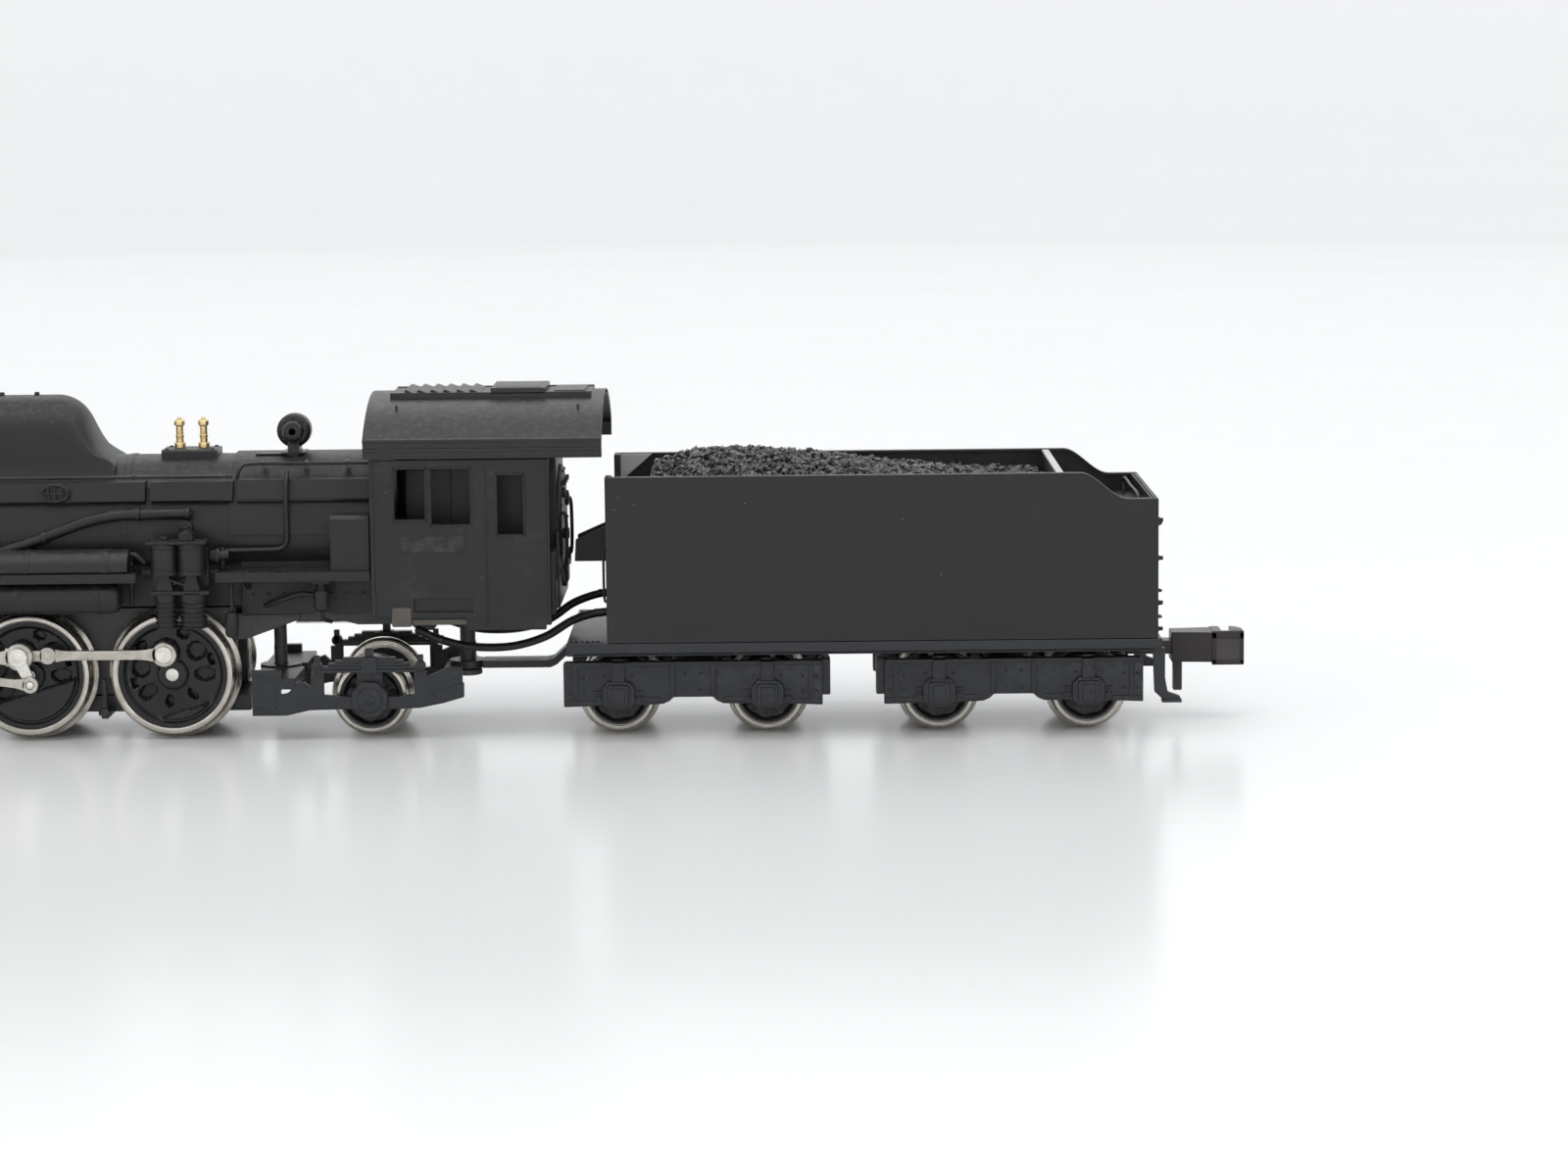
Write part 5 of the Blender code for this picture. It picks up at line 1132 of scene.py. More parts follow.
def trailing():
    """The truck under the cab: bars, leaf springs and round axleboxes."""
    x, _, z = middle("trailing_wheelset")
    shape = Shape()
    springs = Shape()
    for y in ((-6.9, -0.9), (0.9, 6.9)):
        shape.box((6.25, 9.55), y, (4.02, 4.88), 0.08)
    shape.ring("z", (LINK_X, 0.0), 0.6, 1.6, (3.92, 5.0), 40)
    shape.box((20.1, 20.8), (-6.8, 6.8), (3.45, 4.2), 0.08)
    for sign in SIDES.values():
        outline = [(6.2, 2.0), (8.8, 2.0), (10.6, 2.4), (13.0, 2.45), (17.4, 2.45), (19.0, 2.5),
                   (20.8, 2.85), (22.4, 3.3), (22.4, 4.4), (20.8, 4.0), (19.2, 3.6), (17.4, 3.42),
                   (13.0, 3.42), (11.4, 3.6), (10.7, 4.1), (10.2, 4.6), (9.5, 4.3), (8.9, 3.7), (8.4, 3.6),
                   (8.4, 5.5), (6.2, 5.5)]
        shape.prism("y", outline, out(sign, 6.3, 6.95), 0.08)
        shape.box((6.5, 8.1), out(sign, 6.9, 7.0), (2.3, 5.2), 0.03)
        spots = [(6.8, 2.7), (7.8, 2.7), (6.8, 4.9), (7.8, 4.9), (20.0, 3.4), (21.6, 3.8)]
        shape.nuts("y", spots, sign * 6.94, sign, 0.2, 0.12)
        for k, (half, low) in enumerate(((4.1, 5.3), (3.6, 5.56), (3.1, 5.8), (2.6, 6.02), (2.0, 6.24))):
            leaf = [(x - half, low + 0.22), (x - half, low), (x - half / 2, low), (x + half / 2, low),
                    (x + half, low), (x + half, low + 0.22)]
            springs.prism("y", leaf, out(sign, 6.4 + 0.02 * (k % 2), 7.08 - 0.02 * (k % 2)), 0.04)
        springs.box((x - 0.6, x + 0.6), out(sign, 6.32, 7.18), (5.2, 6.5), 0.08)
        for hang in (11.2, 19.1):
            shape.box((hang - 0.5, hang + 0.5), out(sign, 6.42, 6.9), (3.0, 5.3), 0.06)
            shape.rod("y", (hang, 5.75), 0.42, out(sign, 6.42, 7.12), 24)
            shape.rod("y", (hang, 5.75), 0.2, out(sign, 6.9, 7.18), 16)
            shape.box((hang - 0.22, hang + 0.22), out(sign, 6.42, 6.85), (5.5, 6.6), 0.05)
        gap = ((x - 0.42, x + 0.42), (2.78, 3.62))
        shape.plate("y", (x - 1.0, x + 1.0), (1.9, 6.4), [gap], out(sign, 6.25, 6.6))
        shape.prism("y", circle((x, z), 1.5, 8, radians(22)), out(sign, 6.68, 7.3), 0.14)
        shape.rod("y", (x, z), 0.95, out(sign, 7.2, 7.42), 32, bevel=0.1)
        shape.rod("y", (x, z), 0.4, out(sign, 7.3, 7.5), 24)
        shape.nuts("y", circle((x, z), 1.12, 4, pi / 4), sign * 7.28, sign, 0.14, 0.1)
        shape.prism("y", [(18.9, 3.5), (22.3, 3.9), (22.3, 5.6), (21.2, 5.6), (19.6, 4.9), (18.9, 4.8)],
                    out(sign, 6.35, 6.88), 0.08)
        shape.box((14.9, 15.5), out(sign, 6.25, 7.0), (6.4, 7.1), 0.08)
    piece("trailing_truck_moulding", "trailing_truck", "underframe", shape, ["trailing_truck"],
          (LINK_X, 0.0, 4.4))
    piece("trailing_truck_springs", "trailing_truck", "underframe", springs,
          origin=(LINK_X, 0.0, 4.4))


for make in (chassis, keeper, cylinders, front_end, leading, trailing):
    make()


# ---------------------------------------------------------------- boiler

def shell_point(radius, angle):
    return radius * cos(radians(angle)), BOILER_Z + radius * sin(radians(angle))


def boiler():
    """The boiler casing with bands, ledges, steam pipes and handrails."""
    shape = Shape()
    details = Shape()
    lower = -42.0
    outer = arc((0.0, BOILER_Z), BOILER_RADIUS, lower, 180 - lower, 72)
    inner = arc((0.0, BOILER_Z), BOILER_RADIUS - 0.7, 180 - lower, lower, 72)
    shape.prism("x", outer + inner, (-52.5, 15.6), 0.05)
    front_ring = ((-52.5, 1.0), (-52.5, 0.06), (-52.44, 0.0), (-51.4, 0.0), (-51.4, 1.0))
    shape.lathe("x", (0.0, BOILER_Z), [(x, BOILER_RADIUS - depth) for x, depth in front_ring], 96,
                closed=True)
    for low, high, thick in ((4.7, 15.6, 0.18), (-44.6, -44.1, 0.1), (-41.5, -41.0, 0.1), (-30.0, -29.5, 0.1),
                             (-3.6, -3.1, 0.06), (-52.2, -51.8, 0.08)):
        ring_outer = arc((0.0, BOILER_Z), BOILER_RADIUS + thick, 0, 180, 64)
        ring_inner = arc((0.0, BOILER_Z), BOILER_RADIUS - 0.2, 180, 0, 64)
        shape.prism("x", ring_outer + ring_inner, (low, high), 0.04)
    for sign in SIDES.values():
        shape.box((5.4, 15.6), out(sign, 4.3, 5.3), (9.6, 16.2), 0.12)
        shape.box((-44.0, 5.4), out(sign, 3.6, 4.5), (10.2, 12.8), 0.12)
        ledge = ((5.0, 18.35), (5.5, 18.35), (5.62, 18.5), (5.3, 19.55), (5.2, 19.9), (4.0, 19.9),
                 (4.0, 18.6))
        step = ((4.6, 18.35), (5.62, 18.35), (5.68, 18.6), (5.1, 20.0), (4.0, 20.0))
        for outline, x in ((ledge, (-43.9, -1.7)), (ledge, (-1.3, 5.0)), (step, (5.3, 15.6))):
            shape.prism("x", [(sign * y, z) for y, z in outline], x, 0.06)
        for x in (-38.0, -26.0, -14.0, -2.6, 4.6):
            for radius, y in ((0.14, (4.6, 5.05)), (0.2, (4.95, 5.15))):
                details.rod("y", (x, 20.25), radius, out(sign, *y), 12)
        front_rail = [(-43.6, 5.05, 20.25), (-20.0, 5.05, 20.25), (4.9, 5.05, 20.25)]
        details.tube(on_side(sign, front_rail), 0.14, 10, 3)
        rear_rail = [(5.2, 4.55, 19.9), (5.5, 4.45, 20.8), (6.4, 4.15, 21.1), (11.0, 4.15, 21.1),
                     (15.4, 4.15, 21.1)]
        details.tube(on_side(sign, rear_rail), 0.14, 10)
        for x in (7.2, 10.4, 13.6):
            details.rod("y", (x, 21.1), 0.19, out(sign, 3.3, 4.2), 12)
        for x in range(-51, -44):
            for a in (24, 72, 156):
                y, z = shell_point(BOILER_RADIUS - 0.02, a if sign > 0 else 180 - a)
                shape.rod("z", (x, y), 0.09, (z - 0.15, z + 0.07), 8, bevel=0.03)
        shape.rivets("y", [6.3 + 1.2 * k for k in range(8)], (11.2, 13.9), sign * 5.28, sign, 0.13)
        steam = [(-48.0, 4.6, 15.6), (-48.0, 5.55, 13.9), (-48.0, 6.3, 12.1), (-48.0, 6.4, 10.3)]
        shape.tube(on_side(sign, steam), 0.75, 32, ends=False)
        shape.rod("z", (-48.0, sign * 6.4), 1.0, (9.95, 10.5), 28)
        shape.nuts("z", circle((-48.0, sign * 6.4), 0.85, 6), 10.48, 1, 0.12, 0.1)
    shape.prism("x", [(-1.5, 21.1), (1.5, 21.1), (1.5, 21.8), (1.35, 21.95), (-1.35, 21.95), (-1.5, 21.8)],
                (-1.0, 3.3), 0.06)
    shape.nuts("z", [(x, y) for x in (-0.6, 2.9) for y in (-1.15, 1.15)], 21.94, 1, 0.16, 0.1)
    shape.lathe("y", (-51.2, 22.3), [(-3.6, 0.9), (-3.55, 1.2), (-3.4, 1.35), (-3.1, 1.35), (-3.05, 1.28),
                                     (3.05, 1.28), (3.1, 1.35), (3.4, 1.35), (3.55, 1.2), (3.6, 0.9)], 56)
    for y in (-2.2, 2.2):
        shape.ring("y", (-51.2, 22.3), 1.2, 1.34, (y - 0.15, y + 0.15), 48, bevel=0.02)
        shape.box((-51.9, -50.5), (y - 0.3, y + 0.3), (20.6, 21.6), 0.06)
    piece("boiler_casing", "engine", "body", shape, ["boiler_shell"], (-18.0, 0.0, 15.8))
    piece("boiler_handrails", "engine", "satin", details, origin=(-18.0, 0.0, 20.0))


def boiler_fittings():
    """Pipes, covers and valves on the boiler's sides."""
    shape = Shape()
    for sign in SIDES.values():
        thick = [(-15.4, 5.7, 13.6), (-13.6, 6.0, 14.4), (-11.8, 6.05, 15.0), (-10.2, 6.0, 15.5),
                 (-7.8, 6.0, 16.4), (-5.7, 5.95, 17.1), (-3.6, 5.9, 17.45), (-1.4, 5.85, 17.5),
                 (1.8, 5.8, 17.5)]
        shape.tube(on_side(sign, thick), 0.42, 18)
        for x, z in ((-9.4, 15.8), (-2.2, 17.5), (1.6, 17.5)):
            shape.rod("x", (sign * 5.96, z), 0.52, (x - 0.18, x + 0.18), 24)
        thin = [(3.8, 6.6, 14.7), (6.0, 6.2, 14.7), (8.2, 6.05, 14.72), (8.85, 6.05, 14.95),
                (9.1, 6.05, 15.6), (9.1, 6.05, 17.4), (9.1, 6.0, 18.7), (9.1, 5.6, 19.8), (9.1, 4.9, 20.5)]
        shape.tube(on_side(sign, thin), 0.2, 14)
        shape.lathe("z", (11.8, sign * 7.5), [(10.1, 0.2), (10.2, 0.45), (10.45, 0.62), (11.7, 0.62),
                                              (11.9, 0.45), (12.2, 0.36), (12.95, 0.36)], 32)
        shape.box((11.1, 12.5), out(sign, 6.9, 8.1), (12.3, 12.55), 0.05)
        drain = [(11.6, 7.2, 11.3), (10.2, 6.8, 11.4), (8.6, 6.4, 10.9), (7.2, 5.7, 10.3)]
        shape.tube(on_side(sign, drain), 0.2, 12)
        shape.tube(on_side(sign, [(11.8, 7.5, 10.2), (11.9, 7.2, 9.5), (12.4, 6.6, 9.2)]), 0.15, 10)
        shape.rod("y", (1.4, 16.5), 0.55, out(sign, 5.5, 6.1), 28, bevel=0.08)
        shape.nuts("y", [(1.4, 16.5)], sign * 6.08, sign, 0.26, 0.14)
        turns = [2 * pi * k / 40 for k in range(41)]
        oval = [(-8.5 + 1.0 * cos(a), 19.15 + 0.62 * sin(a)) for a in turns]
        shape.prism("y", oval[:-1], out(sign, 4.9, 5.6), 0.05)
        shape.tube([(x, sign * 5.72, z) for x, z in oval], 0.13, 10)
        for shift in (-0.5, 0.0, 0.5):
            shape.box((-8.57 + shift, -8.43 + shift), out(sign, 5.5, 5.8), (18.62, 19.68), 0.04)
        shape.box((-9.4, -7.6), out(sign, 5.5, 5.8), (19.08, 19.22), 0.04)
        shape.box((-24.0, -21.5), out(sign, 5.2, 6.1), (15.3, 17.0), 0.15)
        shape.rod("x", (sign * 5.9, 14.3), 0.3, (-43.0, -20.0), 16)
        for x in (-40.0, -34.0, -27.0, -21.0):
            shape.rod("x", (sign * 5.9, 14.3), 0.4, (x - 0.15, x + 0.15), 20)
            shape.box((x - 0.15, x + 0.15), out(sign, 5.2, 5.9), (14.1, 14.5), 0.04)
    piece("boiler_pipes", "engine", "body", shape, origin=(-4.0, 0.0, 16.5))


def smokebox_door():
    shape = Shape()
    x = -52.55
    profile = ((0.0, 5.2), (0.2, 5.2), (0.25, 5.12), (0.25, 4.55), (0.35, 4.45), (0.42, 4.3), (0.7, 3.75),
               (0.92, 3.1), (1.1, 2.3), (1.2, 1.5), (1.23, 0.7), (1.25, 0.62))
    shape.lathe("x", (0.0, BOILER_Z), [(x - ahead, radius) for ahead, radius in profile], 96)
    shape.nuts("x", circle((0.0, BOILER_Z), 4.85, 16, pi / 16), x - 0.24, -1, 0.17, 0.14)
    shape.rod("x", (0.0, BOILER_Z), 0.5, (x - 1.65, x - 1.1), 28)
    shape.box((x - 1.6, x - 1.35), (-0.12, 0.12), (BOILER_Z - 1.6, BOILER_Z), 0.05)
    for z in (-1.7, 1.7):
        shape.prism("x", [(0.5, BOILER_Z + z - 0.2), (4.3, BOILER_Z + z - 0.25), (4.3, BOILER_Z + z + 0.25),
                          (0.5, BOILER_Z + z + 0.2)], (x - 1.2, x - 0.3), 0.08)
        shape.rod("z", (x - 0.55, 4.5), 0.26, (BOILER_Z + z - 0.6, BOILER_Z + z + 0.6), 20)
    shape.tube([(x - 0.2, -3.2, 20.0), (x - 0.75, -2.2, 20.35), (x - 0.75, 0.0, 20.5), (x - 0.75, 2.2, 20.35),
                (x - 0.2, 3.2, 20.0)], 0.13)
    piece("smokebox_door_moulding", "engine", "body", shape, ["smokebox_door"], (x, 0.0, BOILER_Z))


def chimney():
    shape = Shape()
    profile = [(20.7, 1.88), (21.35, 1.82), (21.7, 1.72), (22.1, 1.45), (22.6, 1.3), (24.6, 1.31),
               (25.05, 1.38), (25.2, 1.5), (25.3, 1.6), (25.8, 1.6), (25.92, 1.52), (25.95, 1.3),
               (25.9, 1.12), (25.5, 1.0), (23.0, 0.98), (22.4, 0.9)]
    shape.lathe("z", (-47.6, 0.0), profile, 64)
    for spot in circle((-47.6, 0.0), 1.62, 12):
        shape.rivet("z", spot, 21.78, 1, 0.1)
    shape.tube([(-46.9, 1.5, 21.2), (-46.6, 1.6, 22.6), (-46.6, 1.6, 24.2)], 0.16)
    piece("chimney_moulding", "engine", "body", shape, ["chimney"], (-47.6, 0.0, 23.0))


def dome():
    """The long dome over the boiler, as a loft of arches that swell from its ends."""
    top = 26.2
    ridge = [(-28.8, 20.9), (-28.0, 21.2), (-27.2, 21.7), (-26.8, 22.6)]
    ridge += arc((-24.4, top - 2.0), 2.0, 170, 90, 8)
    ridge += [(-20.0, top), (-15.0, top)]
    ridge += arc((-9.1, top - 2.7), 2.7, 90, 18, 10)
    ridge += [(-6.05, 23.2), (-5.7, 22.5), (-5.2, 21.95), (-4.6, 21.5), (-4.25, 21.1)]
    half = 3.38
    shape = Shape()
    loops = []
    side_z = 21.5
    for x, crown in ridge:
        arch = min(half, max(0.3, crown - side_z))
        section = [(x, half + 0.85, 19.3), (x, half + 0.5, 20.1), (x, half + 0.12, 20.9), (x, half, side_z)]
        angles = [pi * k / 32 for k in range(1, 32)]
        section += [(x, half * cos(a), crown - arch + arch * sin(a)) for a in angles]
        section += [(x, -y, z) for _, y, z in reversed(section[:4])]
        low = min(side_z, crown - 0.3)
        section = [(px, py, min(pz, low) if abs(py) >= half else pz) for px, py, pz in section]
        loops.append(section)
    shape.rings(loops)
    for sign in SIDES.values():
        shape.rivets("y", (-24.5, -8.5), (25.05,), sign * 2.0, sign, 0.2, 12)
        shape.rivets("y", [-26.0 + 2.05 * k for k in range(10)], (21.1,), sign * half, sign)
    for x in (-13.4, -10.7):
        shape.rod("z", (x, 0.0), 0.2, (26.0, 26.42), 16, bevel=0.05)
    for x in (-20.9, -15.9):
        shape.box((x, x + 0.15), (-1.3, 1.3), (26.0, 26.2), 0.02)
    shape.rod("z", (-18.3, 0.0), 1.1, (25.9, 26.2), 36, bevel=0.06)
    piece("dome_moulding", "engine", "body", shape, ["dome_cover"], (-16.5, 0.0, 23.0))


def safety_valves():
    for name in ("safety_valve_front", "safety_valve_rear"):
        x = middle(name)[0]
        shape = Shape()
        profile = [(22.0, 0.45), (22.3, 0.45), (22.36, 0.4), (22.4, 0.3), (22.8, 0.29), (22.86, 0.34),
                   (22.95, 0.34), (23.0, 0.29), (23.66, 0.29), (23.72, 0.38), (23.76, 0.43), (24.04, 0.43),
                   (24.1, 0.38), (24.14, 0.2), (24.3, 0.17), (24.35, 0.1)]
        shape.lathe("z", (x, 0.0), profile, 40)
        shape.lathe("z", (x, 0.0), [(22.28, 0.45), (22.4, 0.45)], 6, bevel=0.02)
        piece(f"{name}_turning", "engine", "brass", shape, [name], (x, 0.0, 23.0))


def generator():
    x, z = 9.2, 23.3
    shape = Shape()
    profile = [(-2.0, 0.35), (-2.0, 0.5), (-1.9, 0.7), (-1.75, 0.78), (-1.2, 0.8), (-1.16, 1.05),
               (-1.1, 1.16), (-0.95, 1.3), (-0.62, 1.3), (-0.58, 1.22), (-0.5, 1.22), (-0.46, 1.3),
               (0.1, 1.3), (0.18, 1.2), (0.25, 0.85), (0.9, 0.8), (1.4, 0.78), (1.52, 0.66), (1.6, 0.4)]
    shape.lathe("y", (x, z), profile, 56)
    shape.nuts("y", circle((x, z), 1.0, 8), -1.14, -1, 0.11, 0.09)
    shape.rod("y", (x, z), 0.3, (-2.0, -1.9), 20)
    shape.prism("x", [(-1.8, 21.4), (0.6, 21.4), (0.3, 22.2), (0.1, 23.0), (-1.3, 23.0), (-1.5, 22.2)],
                (x - 0.45, x + 0.45), 0.1)
    shape.box((x - 0.9, x + 0.9), (-1.9, 0.7), (21.55, 21.72), 0.05)
    shape.box((x - 2.9, x + 0.6), (-1.6, 0.9), (21.5, 21.62), 0.04)
    piece("generator_moulding", "engine", "satin", shape, ["turbo_generator"], (x, -0.2, z))


def headlamp():
    x, z = -50.9, 25.0
    shape = Shape()
    profile = ((1.0, 0.3), (1.0, 0.42), (0.85, 0.72), (0.6, 0.88), (-0.6, 1.0), (-0.7, 1.1), (-1.05, 1.1),
               (-1.1, 1.04), (-1.1, 0.92), (-0.8, 0.88), (-0.55, 0.7), (-0.4, 0.3))
    shape.lathe("x", (0.0, z), [(x + dx, radius) for dx, radius in profile], 56)
    shape.prism("x", [(-0.5, 23.72), (0.5, 23.72), (0.35, 24.3), (-0.35, 24.3)], (x - 0.45, x + 0.45), 0.05)
    shape.rod("z", (x, 0.0), 0.3, (25.9, 26.2), 20)
    piece("headlamp_moulding", "engine", "body", shape, ["headlamp"], (x, 0.0, z))
    glass = Shape()
    glass.lathe("x", (0.0, z), [(x - 1.04, 0.05), (x - 1.02, 0.4), (x - 0.95, 0.7), (x - 0.84, 0.88),
                                (x - 0.76, 0.88)], 48)
    piece("headlamp_glass", "engine", "lens", glass, origin=(x, 0.0, z))


for make in (boiler, boiler_fittings, smokebox_door, chimney, dome, safety_valves, generator, headlamp):
    make()


# ---------------------------------------------------------------- running boards and what hangs on them

def running_boards(side):
    sign = SIDES[side]
    x0, x1 = span(f"running_board_{side}", 0)
    shape = Shape()
    gap = {"left": (-2.1, 3.9), "right": (-12.6, -6.4)}[side]
    runs = ((x0 + 0.2, gap[0]), (gap[1], x1))
    for low, high in runs:
        shape.box((low, high), out(sign, 5.4, 8.5), (12.95, 13.28), 0.05)
        shape.box((low, high), out(sign, 8.28, 8.55), (12.55, 13.3), 0.06)
        places = [low + 0.8 + 1.6 * k for k in range(int((high - low) / 1.6))]
        shape.rivets("y", places, (12.78,), sign * 8.53, sign, 0.08)
        for k in range(int((high - low) / 0.55)):
            place = low + 0.3 + 0.55 * k
            shape.box((place - 0.1, place + 0.1), out(sign, 6.2, 8.2), (13.2, 13.3), 0.02)
    shape.box(gap, out(sign, 5.4, 6.2), (12.95, 13.28), 0.04)
    shape.box((x0, x0 + 0.5), out(sign, 5.4, 8.55), (12.65, 13.3), 0.06)
    chest = ((5.95, 13.2), (8.1, 13.2), (8.1, 17.2), (7.8, 17.5), (5.95, 17.5))
    shape.prism("x", [(sign * y, z) for y, z in chest], (12.6, 15.6), 0.1)
    shape.box((12.95, 15.25), out(sign, 8.0, 8.08), (13.7, 16.9), 0.03)
    shape.rivets("y", (13.2, 15.0), (14.0, 16.6), sign * 8.06, sign, 0.1)
    if side == "left":
        tank(shape, (-24.0, -2.7), (-7.05, 13.4), 1.6, 180)
    else:
        shape.box((-30.0, -20.0), out(sign, 5.9, 8.0), (13.2, 14.2), 0.1)
        for x in (-28.0, -25.0, -22.0):
            shape.box((x - 0.9, x + 0.9), out(sign, 7.9, 7.98), (13.4, 14.0), 0.03)
    for x in (-36.0, -20.0, 6.0) if side == "left" else (-36.0, -20.0):
        shape.prism("x", [(sign * 5.4, 12.95), (sign * 8.2, 12.95), (sign * 8.2, 12.6), (sign * 5.6, 11.6)],
                    (x - 0.15, x + 0.15), 0.04)
    piece(f"running_board_{side}_moulding", "engine", "body", shape, [f"running_board_{side}"],
          (-16.0, sign * 7.0, 13.0))


def tank(shape, along, centre, radius, end):
    """A cylinder with domed ends, or the upper part of one up to an end angle, with strap bands."""
    low, high = along
    if end >= 360:
        profile = [(low, 0.3 * radius), (low + 0.06, 0.62 * radius), (low + 0.2, 0.86 * radius),
                   (low + 0.42, radius - 0.03), (low + 0.6, radius), (high - 0.6, radius),
                   (high - 0.42, radius - 0.03), (high - 0.2, 0.86 * radius), (high - 0.06, 0.62 * radius),
                   (high, 0.3 * radius)]
        shape.lathe("x", centre, profile, 48)
    else:
        shape.prism("x", arc(centre, radius, 0, end, 36), along, 0.12)
    for step in (0.08, 0.36, 0.64, 0.92):
        x = low + (high - low) * step
        stop = min(end, 359)
        ring = arc(centre, radius + 0.04, 0, stop, 40) + arc(centre, radius - 0.2, stop, 0, 40)
        shape.prism("x", ring, (x - 0.22, x + 0.22), 0.02)


def reservoirs(side):
    sign = SIDES[side]
    x0, x1 = span(f"air_reservoir_{side}", 0)
    centre = (sign * 7.2, 11.3)
    shape = Shape()
    tank(shape, (x0, x1), centre, 1.2, 360)
    for step in (0.22, 0.78):
        x = x0 + (x1 - x0) * step
        shape.box((x - 0.2, x + 0.2), out(sign, 6.2, 7.6), (12.1, 12.5), 0.04)
    shape.rod("x", centre, 0.25, (x0, x0 + 0.3), 16)
    piece(f"air_reservoir_{side}_moulding", "engine", "body", shape, [f"air_reservoir_{side}"],
          ((x0 + x1) / 2, sign * 7.2, 11.3))


def deflectors(side):
    sign = SIDES[side]
    shape = Shape()
    outline = [(-55.6, 9.6), (-53.0, 9.6), (-53.0, 11.7), (-52.7, 12.0), (-43.8, 12.0), (-43.8, 19.6)]
    outline += arc((-44.6, 19.6), 0.8, 0, 90, 6) + arc((-54.8, 19.6), 0.8, 90, 180, 6)
    shape.prism("y", outline, out(sign, 8.66, 8.86), 0.05)
    for x, z in ((-54.4, 18.6), (-45.4, 18.6), (-54.4, 14.5)):
        shape.rod("y", (x, z), 0.14, out(sign, 7.0, 8.7), 12)
    shape.rivets("y", (-53.6, -51.2, -48.8, -46.4, -44.4), (12.4, 20.0), sign * 8.84, sign, 0.08)
    shape.tube(on_side(sign, [(-55.3, 8.76, 10.2), (-55.5, 8.76, 14.0), (-55.3, 8.76, 18.6)]), 0.1, 10)
    shape.box((-55.6, -43.8), out(sign, 8.62, 8.7), (15.8, 16.0), 0.02)
    piece(f"smoke_deflector_{side}_sheet", "engine", "body", shape, [f"smoke_deflector_{side}"],
          (-49.5, sign * 8.7, 15.0))


def ribbed(shape, centre, radius, low, high, pitch):
    """An upright cylinder with cooling ribs round it."""
    profile = [(low, radius * 0.8), (low + 0.05, radius)]
    z = low + 0.12
    while z + pitch < high - 0.1:
        profile += [(z, radius), (z + pitch * 0.1, radius * 0.88), (z + pitch * 0.5, radius * 0.88),
                    (z + pitch * 0.6, radius)]
        z += pitch
    profile += [(high - 0.05, radius), (high, radius * 0.8)]
    shape.lathe("z", centre, profile, 40)


def compressor():
    y = -7.75
    shape = Shape()
    shape.box((-1.25, 3.35), (y - 1.12, y + 0.7), (15.5, 15.75), 0.06)
    for x in (0.0, 2.05):
        for radius, z in ((1.1, (15.1, 15.5)), (1.05, (13.3, 15.2)), (1.1, (13.1, 13.4))):
            shape.rod("z", (x, y), radius, z, 40)
        for spot in circle((x, y), 0.86, 8, 0.2):
            shape.nuts("z", [spot], 15.73 if abs(spot[1] - y) < 0.688 else 15.48, 1, 0.1, 0.1)
        shape.rod("z", (x, y), 0.35, (15.7, 16.0), 24)
        neck = [(x - 0.7, 11.75), (x + 0.7, 11.75), (x + 0.35, 13.2), (x - 0.35, 13.2)]
        shape.prism("y", neck, (y - 0.5, y + 0.5), 0.1)
    ribbed(shape, (0.05, y), 0.86, 9.0, 11.7, 0.36)
    ribbed(shape, (2.1, y), 1.04, 9.0, 11.7, 0.36)
    shape.box((-1.0, 3.4), (y - 0.7, y + 0.5), (11.6, 11.9), 0.06)
    shape.prism("y", [(-0.75, 13.1), (-0.3, 13.1), (2.9, 11.9), (2.4, 11.9)], (y - 0.45, y - 0.1), 0.05)
    shape.prism("y", [(2.75, 13.1), (2.3, 13.1), (-0.8, 11.9), (-0.3, 11.9)], (y - 0.1, y + 0.3), 0.05)
    shape.rod("y", (1.75, 15.95), 0.55, (y - 0.8, y + 0.6), 32)
    shape.rod("y", (1.75, 15.95), 0.3, (y - 0.95, y - 0.7), 24)
    shape.nuts("y", [(1.75, 15.95)], y - 0.9, -1, 0.18, 0.12)
    shape.box((-1.1, 3.2), (-6.9, -6.3), (12.0, 15.0), 0.08)
    shape.box((-0.6, 2.6), (-7.6, -6.5), (13.6, 14.6), 0.08)
    shape.tube([(-1.6, -6.9, 13.9), (-2.4, -6.9, 14.5), (-3.1, -6.9, 14.5)], 0.24, 16)
    shape.tube([(-2.75, -6.6, 14.4), (-2.75, -6.6, 12.6), (-2.75, -6.6, 10.6)], 0.17, 12)
    shape.rod("z", (-2.75, -6.6), 0.28, (13.6, 14.0), 20)
    shape.rod("x", (y + 0.9, 14.4), 0.42, (3.3, 4.8), 28)
    shape.rod("x", (y + 0.9, 14.4), 0.58, (3.8, 4.1), 28)
    shape.rod("z", (4.3, y + 0.9), 0.2, (13.3, 15.0), 16)
    shape.lathe("z", (4.95, -7.6), [(8.2, 0.2), (8.3, 0.42), (8.5, 0.52), (9.9, 0.52), (10.1, 0.42),
                                    (10.2, 0.2)], 28)
    shape.rod("z", (4.95, -7.4), 0.15, (10.1, 12.9), 12)
    piece("air_compressor_moulding", "engine", "body", shape, ["air_compressor"], (1.0, y, 12.0))


